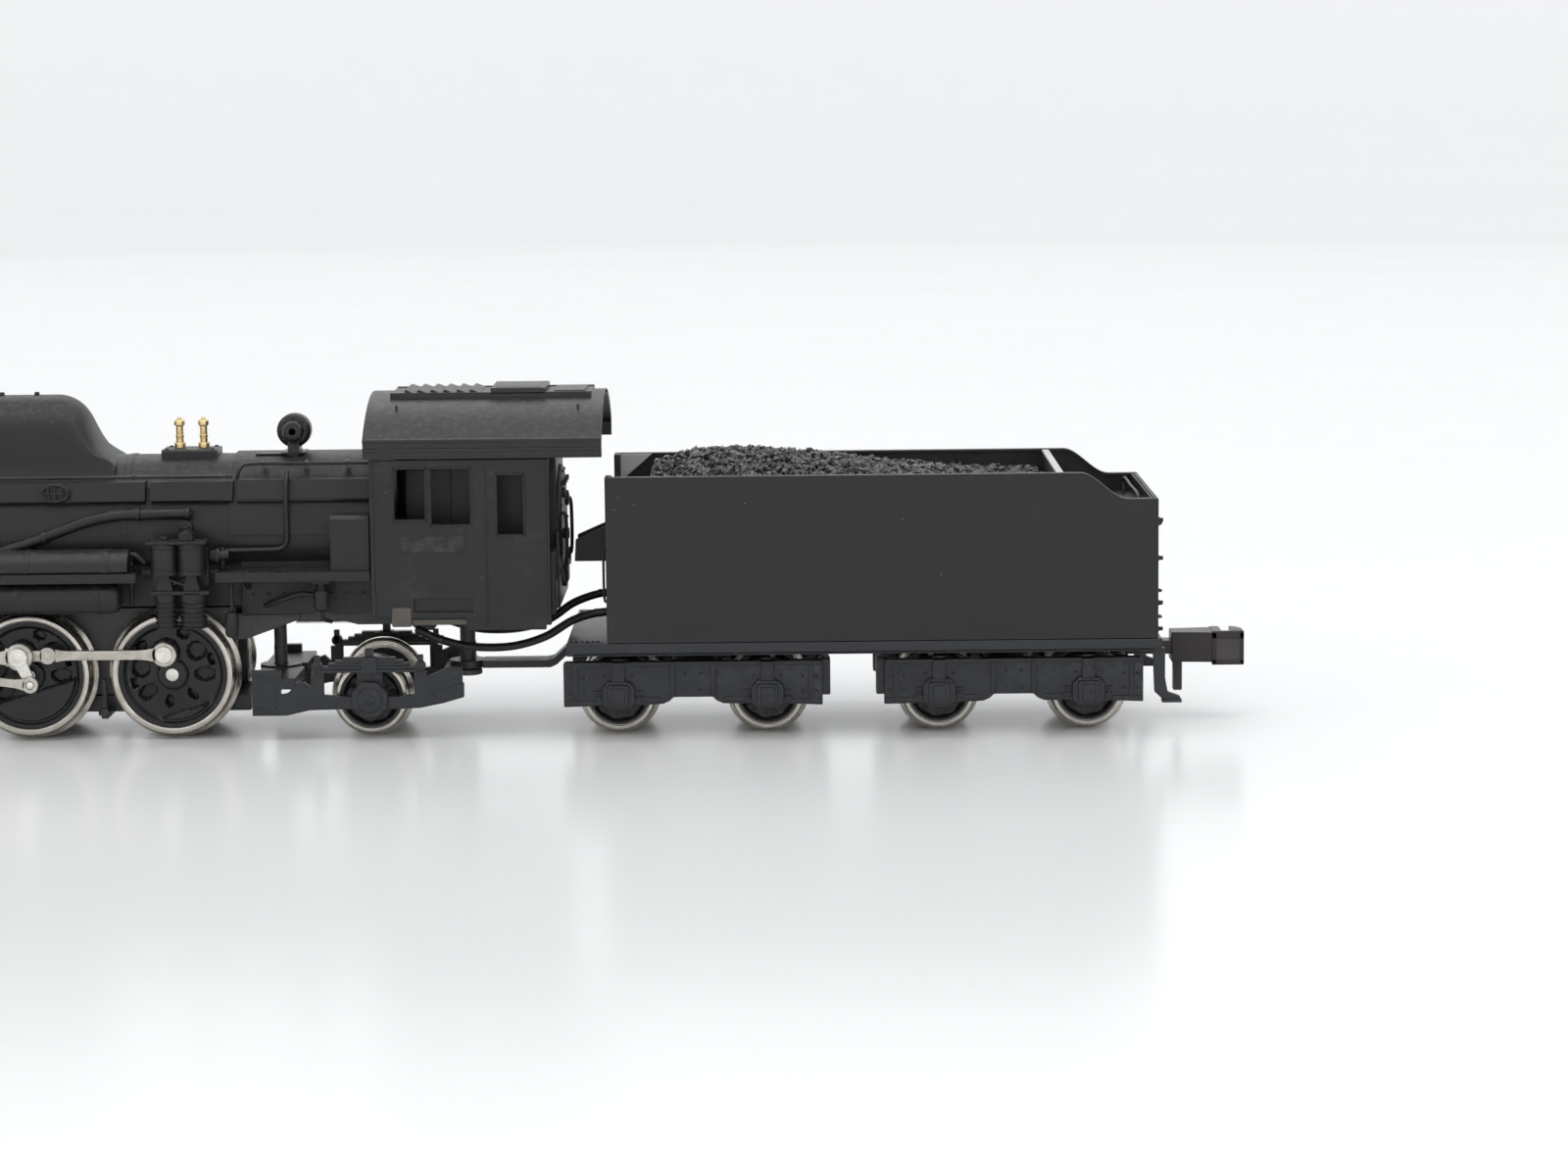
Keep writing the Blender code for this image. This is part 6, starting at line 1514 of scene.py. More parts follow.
def water_pump():
    y = 7.75
    shape = Shape()
    for x in (-10.6, -8.4):
        ribbed(shape, (x, y), 1.05, 9.4, 11.8, 0.36)
        shape.rod("z", (x, y), 0.95, (13.1, 15.5), 40)
        shape.rod("z", (x, y), 1.0, (13.0, 13.3), 40)
        shape.rod("z", (x, y), 0.3, (11.6, 13.2), 20)
        spots = [(x + 0.68 * u, y + 0.55 * v) for u, v in circle((0.0, 0.0), 1.0, 8)]
        shape.nuts("z", spots, 15.78, 1, 0.09, 0.06)
    shape.box((-11.4, -7.6), (y - 0.6, y + 0.6), (11.7, 12.0), 0.06)
    for x in (-11.2, -9.5, -7.8):
        shape.rod("z", (x, y), 0.18, (11.9, 13.3), 14)
    shape.box((-11.8, -7.2), (y - 0.9, y + 0.8), (15.45, 15.78), 0.06)
    shape.box((-11.4, -7.6), (6.3, 6.9), (12.0, 15.0), 0.08)
    shape.box((-11.0, -8.0), (6.5, 7.6), (13.5, 14.6), 0.08)
    piece("feed_water_pump_moulding", "engine", "body", shape, ["feed_water_pump"], (-9.5, y, 12.6))


for side in SIDES:
    running_boards(side)
    reservoirs(side)
    deflectors(side)
compressor()
water_pump()


# ---------------------------------------------------------------- cab

WALL = (8.05, 8.6)
ROOF_HALF = 8.7
ROOF_TOP = 26.2
ROOF_X = (15.3, 33.3)


def roof_radius(half, rise=2.9):
    return (half**2 + rise**2) / (2 * rise)


def arched(half, foot, crown, steps=36, turn_back=False):
    """Upright sides and the roof's arch over them, as (y, z)."""
    radius = roof_radius(half)
    spread = asin(half / radius) * 180 / pi
    curve = arc((0.0, crown - radius), radius, 90 - spread, 90 + spread, steps)
    line = [(half, foot)] + curve + [(-half, foot)]
    return line[::-1] if turn_back else line


def window_frame(shape, sign, x, z, divided=None):
    """A thin raised frame round a window, and a bar across it."""
    low, high = x
    bottom, top = z
    y = out(sign, 8.5, 8.6)
    for bx in (low - 0.16, high):
        shape.box((bx, bx + 0.16), y, (bottom - 0.16, top + 0.16), 0.03)
    for bz in (bottom - 0.16, top):
        shape.box((low - 0.16, high + 0.16), y, (bz, bz + 0.16), 0.03)
    if divided:
        shape.box((divided - 0.14, divided + 0.14), out(sign, 8.2, 8.45), (bottom, top), 0.03)


def cab_walls():
    """The cab sides and front, with window frames and the recesses under them; the black backs of the
    recesses are painted shade.
    """
    shape = Shape()
    ledge = Shape()
    recess_shade = Shape()
    x0, x1 = span("cab_body", 0)
    windows = [((17.6, 19.9), (17.2, 21.0)), ((20.4, 23.3), (16.8, 21.0)), ((25.35, 27.3), (16.0, 20.5))]
    for sign in SIDES.values():
        recess = ((18.9, 23.4), (10.1, 11.15))
        foot = ((x0 - 1, 22.9), (8.0, 9.6))
        notch = ((28.9, 29.5), (8.0, 9.05))
        openings = windows + [foot, notch]
        shape.plate("y", (x0 + 0.05, x1), (8.7, 21.7), openings + [recess], out(sign, WALL[0], 8.52), 0.06)
        for window in windows:
            window_frame(shape, sign, *window)
        shape.box((24.42, 24.52), out(sign, 8.45, 8.6), (9.0, 21.6), 0.02)
        shape.box((x1 - 0.22, x1), out(sign, 8.0, 8.6), (9.3, 21.6), 0.08)
        shape.box((x0 + 0.05, x0 + 0.3), out(sign, 8.3, 8.6), (9.7, 21.6), 0.05)
        for x in (18.8, 21.7):
            shape.ring("y", (x, 15.6), 0.12, 0.24, out(sign, 8.4, 8.58), 20)
        shape.box((18.0, 22.8), out(sign, 8.5, 8.56), (14.7, 15.9), 0.03)
        shape.rivets("y", [16.6 + 1.15 * k for k in range(11)], (12.1,), sign * 8.51, sign, 0.06)
        ledge.box((17.2, 18.7), out(sign, 7.6, 8.58), (9.0, 10.5), 0.14)
        ledge.box((17.5, 22.9), out(sign, 7.6, 8.3), (9.1, 9.55), 0.08)
        # A black sheet at the back of each recess: painted shade.
        recess_shade.box((18.6, 23.7), out(sign, 8.0, 8.14), (9.9, 11.4), 0.02)
        shape.box((23.1, 28.9), out(sign, 8.0, 8.56), (8.72, 8.95), 0.05)
        for z in (10.4, 17.9):
            shape.rod("x", (sign * 8.45, z), 0.12, (x1 - 0.1, x1), 10)
    front = [((-7.8, -6.5), (17.6, 20.6)), ((6.5, 7.8), (17.6, 20.6))]
    arch_z = ROOF_TOP - 0.72
    radius = roof_radius(8.6)

    def raise_arch(y, z):
        crown = arch_z - radius + sqrt(radius**2 - y**2)
        return (y, z if z < 21.5 else crown)

    columns = [((y, y), (0.0, 0.0)) for y in (-7.2, -5.6, -4.6, -2.4, -1.2, 0.0, 1.2, 2.4, 4.6, 5.6, 7.2)]
    hole = [((-3.9, 3.9), (9.0, 16.9))]
    shape.plate("x", (-8.5, 8.5), (9.6, 22.0), front + hole + columns, (x0, x0 + 0.6), 0.05, raise_arch)
    for low, high in ((-7.8, -6.5), (6.5, 7.8)):
        for y in (low - 0.12, high):
            shape.box((x0, x0 + 0.1), (y, y + 0.12), (17.5, 20.7), 0.02)
    piece("cab_walls", "engine", "body", shape, ["cab_body"], (22.5, 0.0, 15.0))
    piece("cab_ledges", "engine", "ledge", ledge, origin=(20.0, 0.0, 9.8))
    piece("cab_recess_painted_shade", "engine", "sleeve", recess_shade, origin=(21.0, 0.0, 10.6))


def cab_roof():
    shape = Shape()
    outer = arched(ROOF_HALF, 21.8, ROOF_TOP)
    inner = arched(ROOF_HALF - 0.38, 21.8, ROOF_TOP - 0.38, turn_back=True)
    shape.prism("x", outer + inner, ROOF_X, 0.07)
    for sign in SIDES.values():
        for z in (22.5, 23.2):
            shape.prism("x", [(sign * 8.5, z - 0.16), (sign * 8.83, z - 0.12), (sign * 8.83, z + 0.08),
                              (sign * 8.5, z + 0.16)], ROOF_X, 0.03)
        shape.box(ROOF_X, out(sign, 8.3, 8.76), (21.8, 21.95), 0.04)
        for x in (17.6, 31.4):
            shape.rod("z", (x, sign * 5.2), 0.1, (24.9, 25.55), 10)
    for x in (15.3, 33.0):
        band_outer = arched(ROOF_HALF + 0.04, 23.2, ROOF_TOP)
        band_inner = arched(ROOF_HALF - 0.3, 23.2, ROOF_TOP - 0.3, turn_back=True)
        shape.prism("x", band_outer + band_inner, (x, x + 0.3), 0.03)
    piece("cab_roof_moulding", "engine", "roof", shape, ["cab_roof"], (24.0, 0.0, 24.0))


def ventilator():
    shape = Shape()
    for sign in SIDES.values():
        shape.box((16.9, 32.3), out(sign, 2.75, 3.0), (25.5, 26.3), 0.05)
    shape.box((16.9, 32.3), (-2.8, 2.8), (25.7, 26.22), 0.04)
    shape.box((24.6, 28.8), (-3.0, 3.0), (26.1, 26.62), 0.08)
    shape.box((25.0, 28.4), (-2.6, 2.6), (26.5, 26.65), 0.04)
    for k in range(6):
        x = 18.0 + 1.0 * k
        louvre = [(x, 26.15), (x + 0.8, 26.15), (x + 0.8, 26.25), (x + 0.15, 26.5), (x, 26.5)]
        shape.prism("y", louvre, (-2.8, 2.8), 0.03)
    shape.box((29.4, 31.8), (-2.4, 2.4), (26.1, 26.36), 0.05)
    piece("roof_ventilator_moulding", "engine", "roof", shape, ["roof_ventilator"], (24.6, 0.0, 26.0))


def backhead():
    """The moulded backhead in the cab, with its gauges, fire door and pipes."""
    shape = Shape()
    x = 29.5
    shape.box((18.0, 29.6), (-7.95, 7.95), (9.75, 14.6), 0.15)
    shape.box((21.5, 29.6), (-4.6, 4.6), (14.5, 21.4), 0.15)
    shape.box((18.0, 21.6), (-4.4, 4.4), (14.5, 20.6), 0.15)
    shape.lathe("x", (0.0, BOILER_Z), [(x, 4.6), (x + 0.2, 4.6), (x + 0.34, 4.5), (x + 0.42, 4.2),
                                       (x + 0.45, 3.6), (x + 0.45, 0.2)], 72)
    shape.box((29.5, 29.8), (-5.6, 5.6), (9.9, BOILER_Z), 0.1)
    for spot in circle((0.0, BOILER_Z), 4.25, 14):
        shape.rivet("x", spot, 29.92, 1, 0.12)
    shape.nuts("x", [(-1.6, 15.2)], 29.92, 1, 0.45, 0.46)
    shape.rod("x", (1.4, 17.6), 0.6, (29.9, 30.2), 36)
    shape.rod("x", (1.4, 17.6), 0.42, (30.1, 30.24), 32)
    shape.rod("x", (-1.9, 18.4), 0.42, (29.9, 30.15), 32)
    shape.box((29.8, 30.1), (-1.4, 1.4), (11.0, 13.2), 0.1)
    for y in ((-1.1, -0.1), (0.1, 1.1)):
        shape.box((30.0, 30.2), y, (11.3, 12.9), 0.05)
    shape.tube([(29.9, 3.4, 13.0), (30.25, 3.4, 13.4), (30.25, 3.4, 17.0), (29.9, 3.4, 17.4)], 0.14)
    shape.tube([(29.9, -3.8, 12.6), (30.25, -3.8, 13.0), (30.25, -3.6, 16.6), (29.9, -3.6, 17.0)], 0.14)
    for y in (-5.0, 5.0):
        shape.ring("x", (y, 12.6), 0.5, 0.7, (29.9, 30.08), 32)
        shape.box((29.86, 30.0), (y - 0.6, y + 0.6), (12.52, 12.68), 0.03)
    shape.box((29.7, 30.05), (-2.6, 2.6), (19.0, 19.3), 0.06)
    for k in range(6):
        shape.rod("x", (-2.2 + 0.88 * k, 19.15), 0.2, (30.0, 30.2), 16)
    for sign in SIDES.values():
        shape.box((29.5, 29.66), out(sign, 5.9, 7.8), (10.2, 14.5), 0.05)
    piece("cab_backhead_moulding", "engine", "body", shape, ["cab_backhead"], (24.0, 0.0, 15.5))


for make in (cab_walls, cab_roof, ventilator, backhead):
    make()


# ---------------------------------------------------------------- between engine and tender

def between():
    """The drawbar, the two motor leads and the contact strip."""
    x0, x1 = DRAWBAR_X
    shape = Shape()
    outline = [(x0, 4.62), (28.7, 4.62), (29.2, 4.85), (30.4, 5.95), (30.8, 6.02), (x1, 6.02), (x1, 6.48),
               (30.5, 6.48), (30.0, 6.3), (28.9, 5.3), (28.4, 5.18), (x0, 5.18)]
    # The ends of the bar stop short of the rings, a little more so along its middle
    for rear, front, y, bevel in ((1.2, 1.0, (-1.2, -0.25), 0.05), (1.2, 1.0, (0.25, 1.2), 0.05),
                                  (1.3, 1.1, (-0.3, 0.3), 0.04)):
        cut = {x0: rear, x1: -front}
        shape.prism("y", [(x + cut.get(x, 0.0), z) for x, z in outline], y, bevel)
    shape.ring("z", (x0, 0.0), 0.7, 1.45, (4.62, 5.18), 40)
    shape.ring("z", (x1, 0.0), 0.6, 1.2, (6.02, 6.48), 40)
    shape.box((24.4, 28.0), (-0.5, 0.5), (5.1, 5.2), 0.03)
    piece("drawbar_moulding", "drawbar", "underframe", shape, ["drawbar"], (x0, 0.0, 4.9))
    routes = {
        "left": [(18.7, -4.6, 8.25), (20.4, -4.3, 7.4), (22.8, -3.6, 6.7), (25.8, -3.0, 6.6),
                 (28.4, -2.9, 7.3), (30.6, -3.1, 8.6), (32.6, -3.3, 9.2), (34.6, -3.4, 9.3)],
        "right": [(18.7, 4.6, 8.25), (20.4, 4.3, 7.6), (23.0, 3.6, 7.0), (26.0, 3.1, 7.1),
                  (28.4, 3.0, 7.8), (30.4, 3.1, 9.1), (32.6, 3.3, 9.8), (34.6, 3.4, 9.8)],
    }
    for side, route in routes.items():
        lead = Shape()
        lead.tube(route, 0.32, 20, 12)
        for k in (1, 6):
            place = Vector(route[k])
            lead.ring("x", (place.y, place.z), 0.25, 0.33, (place.x - 0.3, place.x + 0.3), 20, bevel=0.01)
        piece(f"wire_{side}_sleeve", "drawbar", "sleeve", lead, [f"wire_{side}"], (x0, 0.0, 7.0))
    strip = Shape()
    strip.box((9.0, 21.4), (-1.4, 1.4), (8.34, 8.46), 0.03)
    strip.rod("z", (17.5, 0.0), 0.6, (8.12, 8.5), 32)
    strip.box((9.2, 10.4), (-1.1, 1.1), (8.3, 8.36), 0.02)
    strip.rod("z", (11.5, 0.0), 0.35, (8.31, 8.4), 24)
    piece("pickup_strip_metal", "engine", "strip", strip, ["pickup_strip"], (15.0, 0.0, 8.4))


# ---------------------------------------------------------------- tender

WALL_Y = (8.7, 9.2)
BULKHEAD = (67.6, 68.1)
BUNKER_FLOOR = 15.2


def side_top(x):
    """The height of a tender side along its length: level, then an S-curve down at the rear."""
    x1 = TENDER_X[1]
    return TENDER_TOP - (TENDER_TOP - 18.3) * smooth_step(x1 - 5.9, x1 - 2.3, x)


def tender_walls():
    """The tender tank and bunker above the frame, and pale painted highlights: the bright top of the
    bulkhead, the glint on the hatch lid and the light front corners.
    """
    shape = Shape()
    painted_highlights = Shape()
    x0, x1 = TENDER_X
    bottom = SILL_Z[1] + 0.03
    stations = [x1 - 6.2 + 4.2 * k / 20 for k in range(21)]
    top = [(x, side_top(x)) for x in stations] + [(x1, side_top(x1))]
    for sign in SIDES.values():
        outline = [(x0, bottom), (x1, bottom)] + top[::-1] + [(x0, TENDER_TOP)]
        shape.prism("y", outline, out(sign, *WALL_Y), 0.06)
        lip = [(x0, TENDER_TOP - 0.22)] + [(x, z - 0.22) for x, z in top] + top[::-1] + [(x0, TENDER_TOP)]
        shape.prism("y", lip, out(sign, 8.5, 8.8), 0.04)
        for x in (40.0, 47.0, 54.0, 61.0):
            shape.box((x - 0.15, x + 0.15), out(sign, 8.45, 8.8), (BUNKER_FLOOR, TENDER_TOP - 0.3), 0.04)
        # The pale gusset at each front corner is a painted highlight.
        gusset = [(x0 + 0.3, TENDER_TOP - 0.05), (x0 + 3.0, TENDER_TOP - 0.05), (x0 + 0.3, 17.9)]
        painted_highlights.prism("y", gusset, out(sign, 8.35, 8.65), 0.04)
        if sign < 0:
            shape.rod("y", (x1 + 0.25, 16.2), 0.3, out(sign, 5.6, 6.5), 24)
            shape.box((x1 - 0.2, x1 + 0.1), out(sign, 5.4, 6.7), (15.4, 16.6), 0.05)
        shape.box((x1 - 0.1, x1 + 0.1), out(sign, 7.2, 8.0), (9.0, 11.3), 0.05)
        for z in (9.1, 10.1, 11.1):
            step = [(x1 - 0.05, 7.25, z), (x1 + 0.3, 7.3, z), (x1 + 0.3, 7.9, z), (x1 - 0.05, 7.95, z)]
            shape.tube(on_side(sign, step), 0.09, 8)
        for z in (8.3, 10.3, 13.7, 16.6):
            shape.rod("x", (sign * 8.5, z), 0.16, (x1 - 0.1, x1 + 0.4), 14)
            shape.rod("x", (sign * 8.5, z), 0.24, (x1 - 0.1, x1 + 0.1), 14)
        grab = [(x0 + 0.1, 7.9, 10.8), (x0 - 0.2, 7.9, 11.0), (x0 - 0.2, 7.9, 14.6), (x0 + 0.1, 7.9, 14.8)]
        shape.tube(on_side(sign, grab), 0.1, 10)
    shape.box((x1 - 0.5, x1), (-8.8, 8.8), (bottom, 18.3), 0.06)
    shape.box((x1 - 0.56, x1 - 0.3), (-8.7, 8.7), (18.0, 18.3), 0.04)
    shape.rivets("x", [-7.8 + 1.2 * k for k in range(14)], (8.4, 17.4), x1 - 0.02, 1, 0.08)
    for y in (-3.6, 3.6):
        shape.box((x1 - 0.05, x1 + 0.08), (y - 0.15, y + 0.15), (8.2, 17.6), 0.03)
    openings = [((-8.8, -7.4), (30.0, 31.0)), ((-4.3, -2.5), (8.5, 10.1)), ((2.5, 4.3), (9.0, 10.6)),
                ((-7.4, 7.4), (17.7, 21.0))]
    shape.plate("x", (-8.8, 8.8), (bottom, TENDER_TOP), openings, (x0, x0 + 0.5), 0.05)
    for y in (-3.4, 3.4):
        z = 9.3 if y < 0 else 9.8
        shape.ring("x", (y, z), 0.62, 0.95, (x0 - 0.08, x0 + 0.1), 32)
    for y in (-6.6, 6.6):
        gap = ((y - 0.6, y + 0.6), (11.4, 14.6))
        shape.plate("x", (y - 0.9, y + 0.9), (11.0, 15.0), [gap], (x0 - 0.08, x0 + 0.1))
        for z in (12.0, 13.0, 14.0):
            shape.box((x0 - 0.1, x0 + 0.1), (y - 0.7, y + 0.7), (z - 0.08, z + 0.08), 0.03)
    chute = [(30.75, 13.0), (33.6, 13.0), (33.6, 15.9), (30.85, 14.7)]
    for y in ((-1.75, -1.5), (1.5, 1.75)):
        shape.prism("y", chute, y, 0.05)
    shape.prism("y", [(30.75, 13.0), (33.6, 13.0), (33.6, 13.4), (30.78, 13.4)], (-1.62, 1.62), 0.05)
    shape.prism("y", [(30.9, 13.2), (33.6, 13.2), (33.6, 15.2), (31.0, 13.9)], (-1.52, 1.52), 0.05)
    shape.box((x0 + 0.4, BULKHEAD[0] + 0.1), (-8.75, 8.75), (BUNKER_FLOOR - 0.55, BUNKER_FLOOR), 0.04)
    shape.box((BULKHEAD[1] - 0.1, x1 - 0.3), (-8.75, 8.75), (16.3, 16.9), 0.04)
    shape.box(BULKHEAD, (-8.75, 8.75), (14.7, 20.05), 0.05)
    # A pale strip along the bulkhead top: painted highlight.
    painted_highlights.box((BULKHEAD[0] - 0.02, BULKHEAD[1] + 0.02), (-8.7, 8.7), (20.02, 20.25), 0.05)
    shape.rod("z", (71.4, 0.0), 1.7, (16.8, 17.35), 48, bevel=0.1)
    # A pale disc on the hatch lid: a painted glint.
    painted_highlights.rod("z", (71.4, 0.0), 1.45, (17.3, 17.45), 48)
    shape.box((69.4, 69.9), (-0.5, 0.5), (16.8, 17.5), 0.06)
    for y in (-5.6, 5.6):
        shape.rod("z", (71.4, y), 0.9, (16.8, 17.2), 36)
        shape.box((70.2, 72.6), (y - 0.12, y + 0.12), (17.1, 17.3), 0.03)
    shape.tube([(73.9, -6.0, 16.9), (73.9, -6.0, 18.2), (73.9, 0.0, 18.25), (73.9, 6.0, 18.2),
                (73.9, 6.0, 16.9)], 0.12, 10)
    piece("tender_walls", "tender", "body", shape, ["tender_body"], (54.0, 0.0, 14.0))
    piece("tender_painted_highlights", "tender", "edge", painted_highlights, origin=(54.0, 0.0, 18.0))


def heap(x, y):
    """The top of the coal: highest behind the front, sloping down to the bulkhead and to the sides."""
    along = (x - 34.2) / (67.4 - 34.2)
    hump = sin(pi * min(1.0, along / 0.5)) if along < 0.25 else 0.5 * (1 + cos(pi * (along - 0.25) / 0.75))
    ridge = 1.0 - 0.75 * (abs(y) / 8.6) ** 2
    return 19.1 + 2.4 * hump * ridge + 0.12 * sin(2.3 * x) * cos(1.7 * y)


def coal_lump(rng, size):
    """One broken lump: a few random corners wrapped in flat faces."""
    lump = bmesh.new()
    for _ in range(rng.randint(8, 13)):
        a, c = rng.uniform(0, 2 * pi), rng.uniform(-1, 1)
        flat = sqrt(1 - c * c)
        stretch = rng.uniform(0.8, 1.1)
        lump.verts.new((stretch * flat * cos(a), stretch * flat * sin(a) * rng.uniform(0.7, 1.0), 0.8 * c))
    bmesh.ops.convex_hull(lump, input=lump.verts)
    loose = [v for v in lump.verts if not v.link_faces]
    bmesh.ops.delete(lump, geom=loose, context="VERTS")
    spin = Matrix.Rotation(rng.uniform(0, 6.28), 4, "Z") @ Matrix.Rotation(rng.uniform(-1, 1), 4, "X")
    lump.transform(spin @ Matrix.Scale(size, 4))
    return lump


def coal_heap():
    rng = Random(7)
    x0, x1 = 36.75, 67.4
    half = 8.5
    bed = Shape()
    columns, rows = 60, 32
    shell = bmesh.new()
    grid = []
    for i in range(columns + 1):
        x = x0 + (x1 - x0) * i / columns
        ys = [-half + 2 * half * k / rows for k in range(rows + 1)]
        grid.append([shell.verts.new((x, y, heap(x, y) - 0.35 + rng.uniform(-0.12, 0.12))) for y in ys])
    for a, b in zip(grid, grid[1:]):
        for k in range(rows):
            shell.faces.new((a[k], a[k + 1], b[k + 1], b[k]))
    border = [e for e in shell.edges if e.is_boundary]
    walls = bmesh.ops.extrude_edge_only(shell, edges=border)["geom"]
    for vert in walls:
        if isinstance(vert, bmesh.types.BMVert):
            vert.co.z = BUNKER_FLOOR + 0.05
    bmesh.ops.holes_fill(shell, edges=[e for e in shell.edges if e.is_boundary])
    bed.take(shell)
    top = span("coal_load", 2)[1]
    x = x0 + 0.3
    while x < x1 - 0.25:
        y = -half + 0.3
        while y < half - 0.25:
            size = rng.choice((0.2, 0.25, 0.3, 0.36, 0.46))
            px, py = x + rng.uniform(-0.22, 0.22), y + rng.uniform(-0.22, 0.22)
            px = min(max(px, x0 + size), x1 - size)
            py = min(max(py, -half + size), half - size)
            pz = min(heap(px, py) - 0.28 + rng.uniform(-0.15, 0.22), top - 0.85 * size)
            lump = coal_lump(rng, size)
            lump.transform(Matrix.Translation((px, py, pz)))
            bed.take(lump)
            y += 0.46
        x += 0.46
    piece("coal_lumps", "tender", "coal", bed, ["coal_load"], (52.0, 0.0, 19.0), smooth=12)


def tender_frame():
    """The tender floor, its sills, posts and the screws of the bogies."""
    low, high = SILL_Z
    shape = Shape()
    shape.box((TENDER_X[0] - 3.1, TENDER_X[1] + 0.3), (-8.9, 8.9), (low + 0.05, high - 0.02), 0.05)
    for sign in SIDES.values():
        shape.box((TENDER_X[0] - 3.1, TENDER_X[1] + 0.3), out(sign, 8.6, 9.2), (low, high), 0.07)
        shape.box((TENDER_X[0] - 2.6, TENDER_X[1] - 0.2), out(sign, 9.12, 9.2), (low + 0.1, low + 0.22), 0.02)
        post = [(74.82, 6.9), (75.75, 6.9), (75.75, 4.6), (75.95, 3.5), (76.9, 3.15), (76.9, 2.75),
                (75.6, 2.9), (74.95, 3.5)]
        shape.prism("y", post, out(sign, 8.35, 8.95), 0.08)
        shape.box((75.5, 77.0), out(sign, 8.25, 9.1), (2.7, 2.95), 0.05)
        shape.box((30.6, 33.2), out(sign, 7.4, 9.0), (7.56, 7.63), 0.02)
        for k in range(6):
            shape.box((30.8 + 0.42 * k, 31.0 + 0.42 * k), out(sign, 7.5, 8.9), (7.58, 7.65), 0.015)
        shape.box((35.0, 74.0), out(sign, 3.2, 3.7), (6.52, 6.8), 0.05)
        for x in (46.0, 50.0, 54.0, 58.0):
            shape.box((x - 0.2, x + 0.2), out(sign, 3.6, 8.7), (6.45, 6.75), 0.04)
    for x in (46.0, 52.15, 58.3):
        shape.box((x - 0.3, x + 0.3), (-3.3, 3.3), (6.5, 6.75), 0.05)
    shape.rod("z", (DRAWBAR_X[1], 0.0), 0.5, (5.75, 7.0), 28)
    shape.rod("z", (DRAWBAR_X[1], 0.0), 0.95, (5.5, 5.86), 36, bevel=0.1)
    for x in BOGIE_X.values():
        shape.rod("z", (x, 0.0), 0.7, (3.6, 7.0), 28)
        shape.rod("z", (x, 0.0), 1.3, (3.3, 3.76), 40, bevel=0.12)
        shape.box((x - 0.9, x + 0.9), (-0.13, 0.13), (3.3, 3.42), 0.02)
        shape.rod("z", (x, 0.0), 2.2, (5.92, 7.0), 44)
    shape.rod("z", (COUPLER_X, 0.0), 0.3, (4.9, 7.0), 20)
    shape.rod("z", (COUPLER_X, 0.0), 0.7, (4.6, 5.0), 28, bevel=0.08)
    shape.box((71.2, 71.8), (-1.6, 1.6), (4.85, 7.0), 0.08)
    piece("tender_frame_moulding", "tender", "underframe", shape, ["tender_floor"], (53.0, 0.0, 6.0))


def axlebox(shape, sign, x):
    """An axlebox with its cover, the post above it and the keeps and stays on both sides."""
    case = [(x - 0.75, 2.22), (x + 0.75, 2.22), (x + 1.25, 2.7), (x + 1.25, 3.9), (x + 0.8, 4.4),
            (x - 0.8, 4.4), (x - 1.25, 3.9), (x - 1.25, 2.7)]
    shape.prism("y", case, out(sign, 6.6, 7.18), 0.1)
    shape.box((x - 0.8, x + 0.8), out(sign, 7.1, 7.38), (2.45, 4.15), 0.09)
    shape.box((x - 0.5, x + 0.5), out(sign, 7.3, 7.48), (2.7, 3.9), 0.07)
    shape.rod("y", (x, SMALL_WHEEL_Z), 0.2, out(sign, 7.4, 7.5), 20)
    shape.nuts("y", [(x + dx, z) for dx in (-0.64, 0.64) for z in (2.6, 4.0)], sign * 7.36, sign, 0.11, 0.07)
    shape.box((x - 0.5, x + 0.5), out(sign, 6.6, 7.1), (4.2, 5.86), 0.09)
    shape.rivets("y", (x - 1.05, x + 1.05), (4.75,), sign * 6.7, sign, 0.14)
    for stay in (x - 1.575, x + 1.575):
        for half, face, z in ((0.3, 6.92, (3.0, 3.16)), (0.3, 6.92, (3.5, 3.66)), (0.07, 6.9, (3.0, 3.66))):
            shape.box((stay - half, stay + half), out(sign, 6.6, face), z, 0.03)


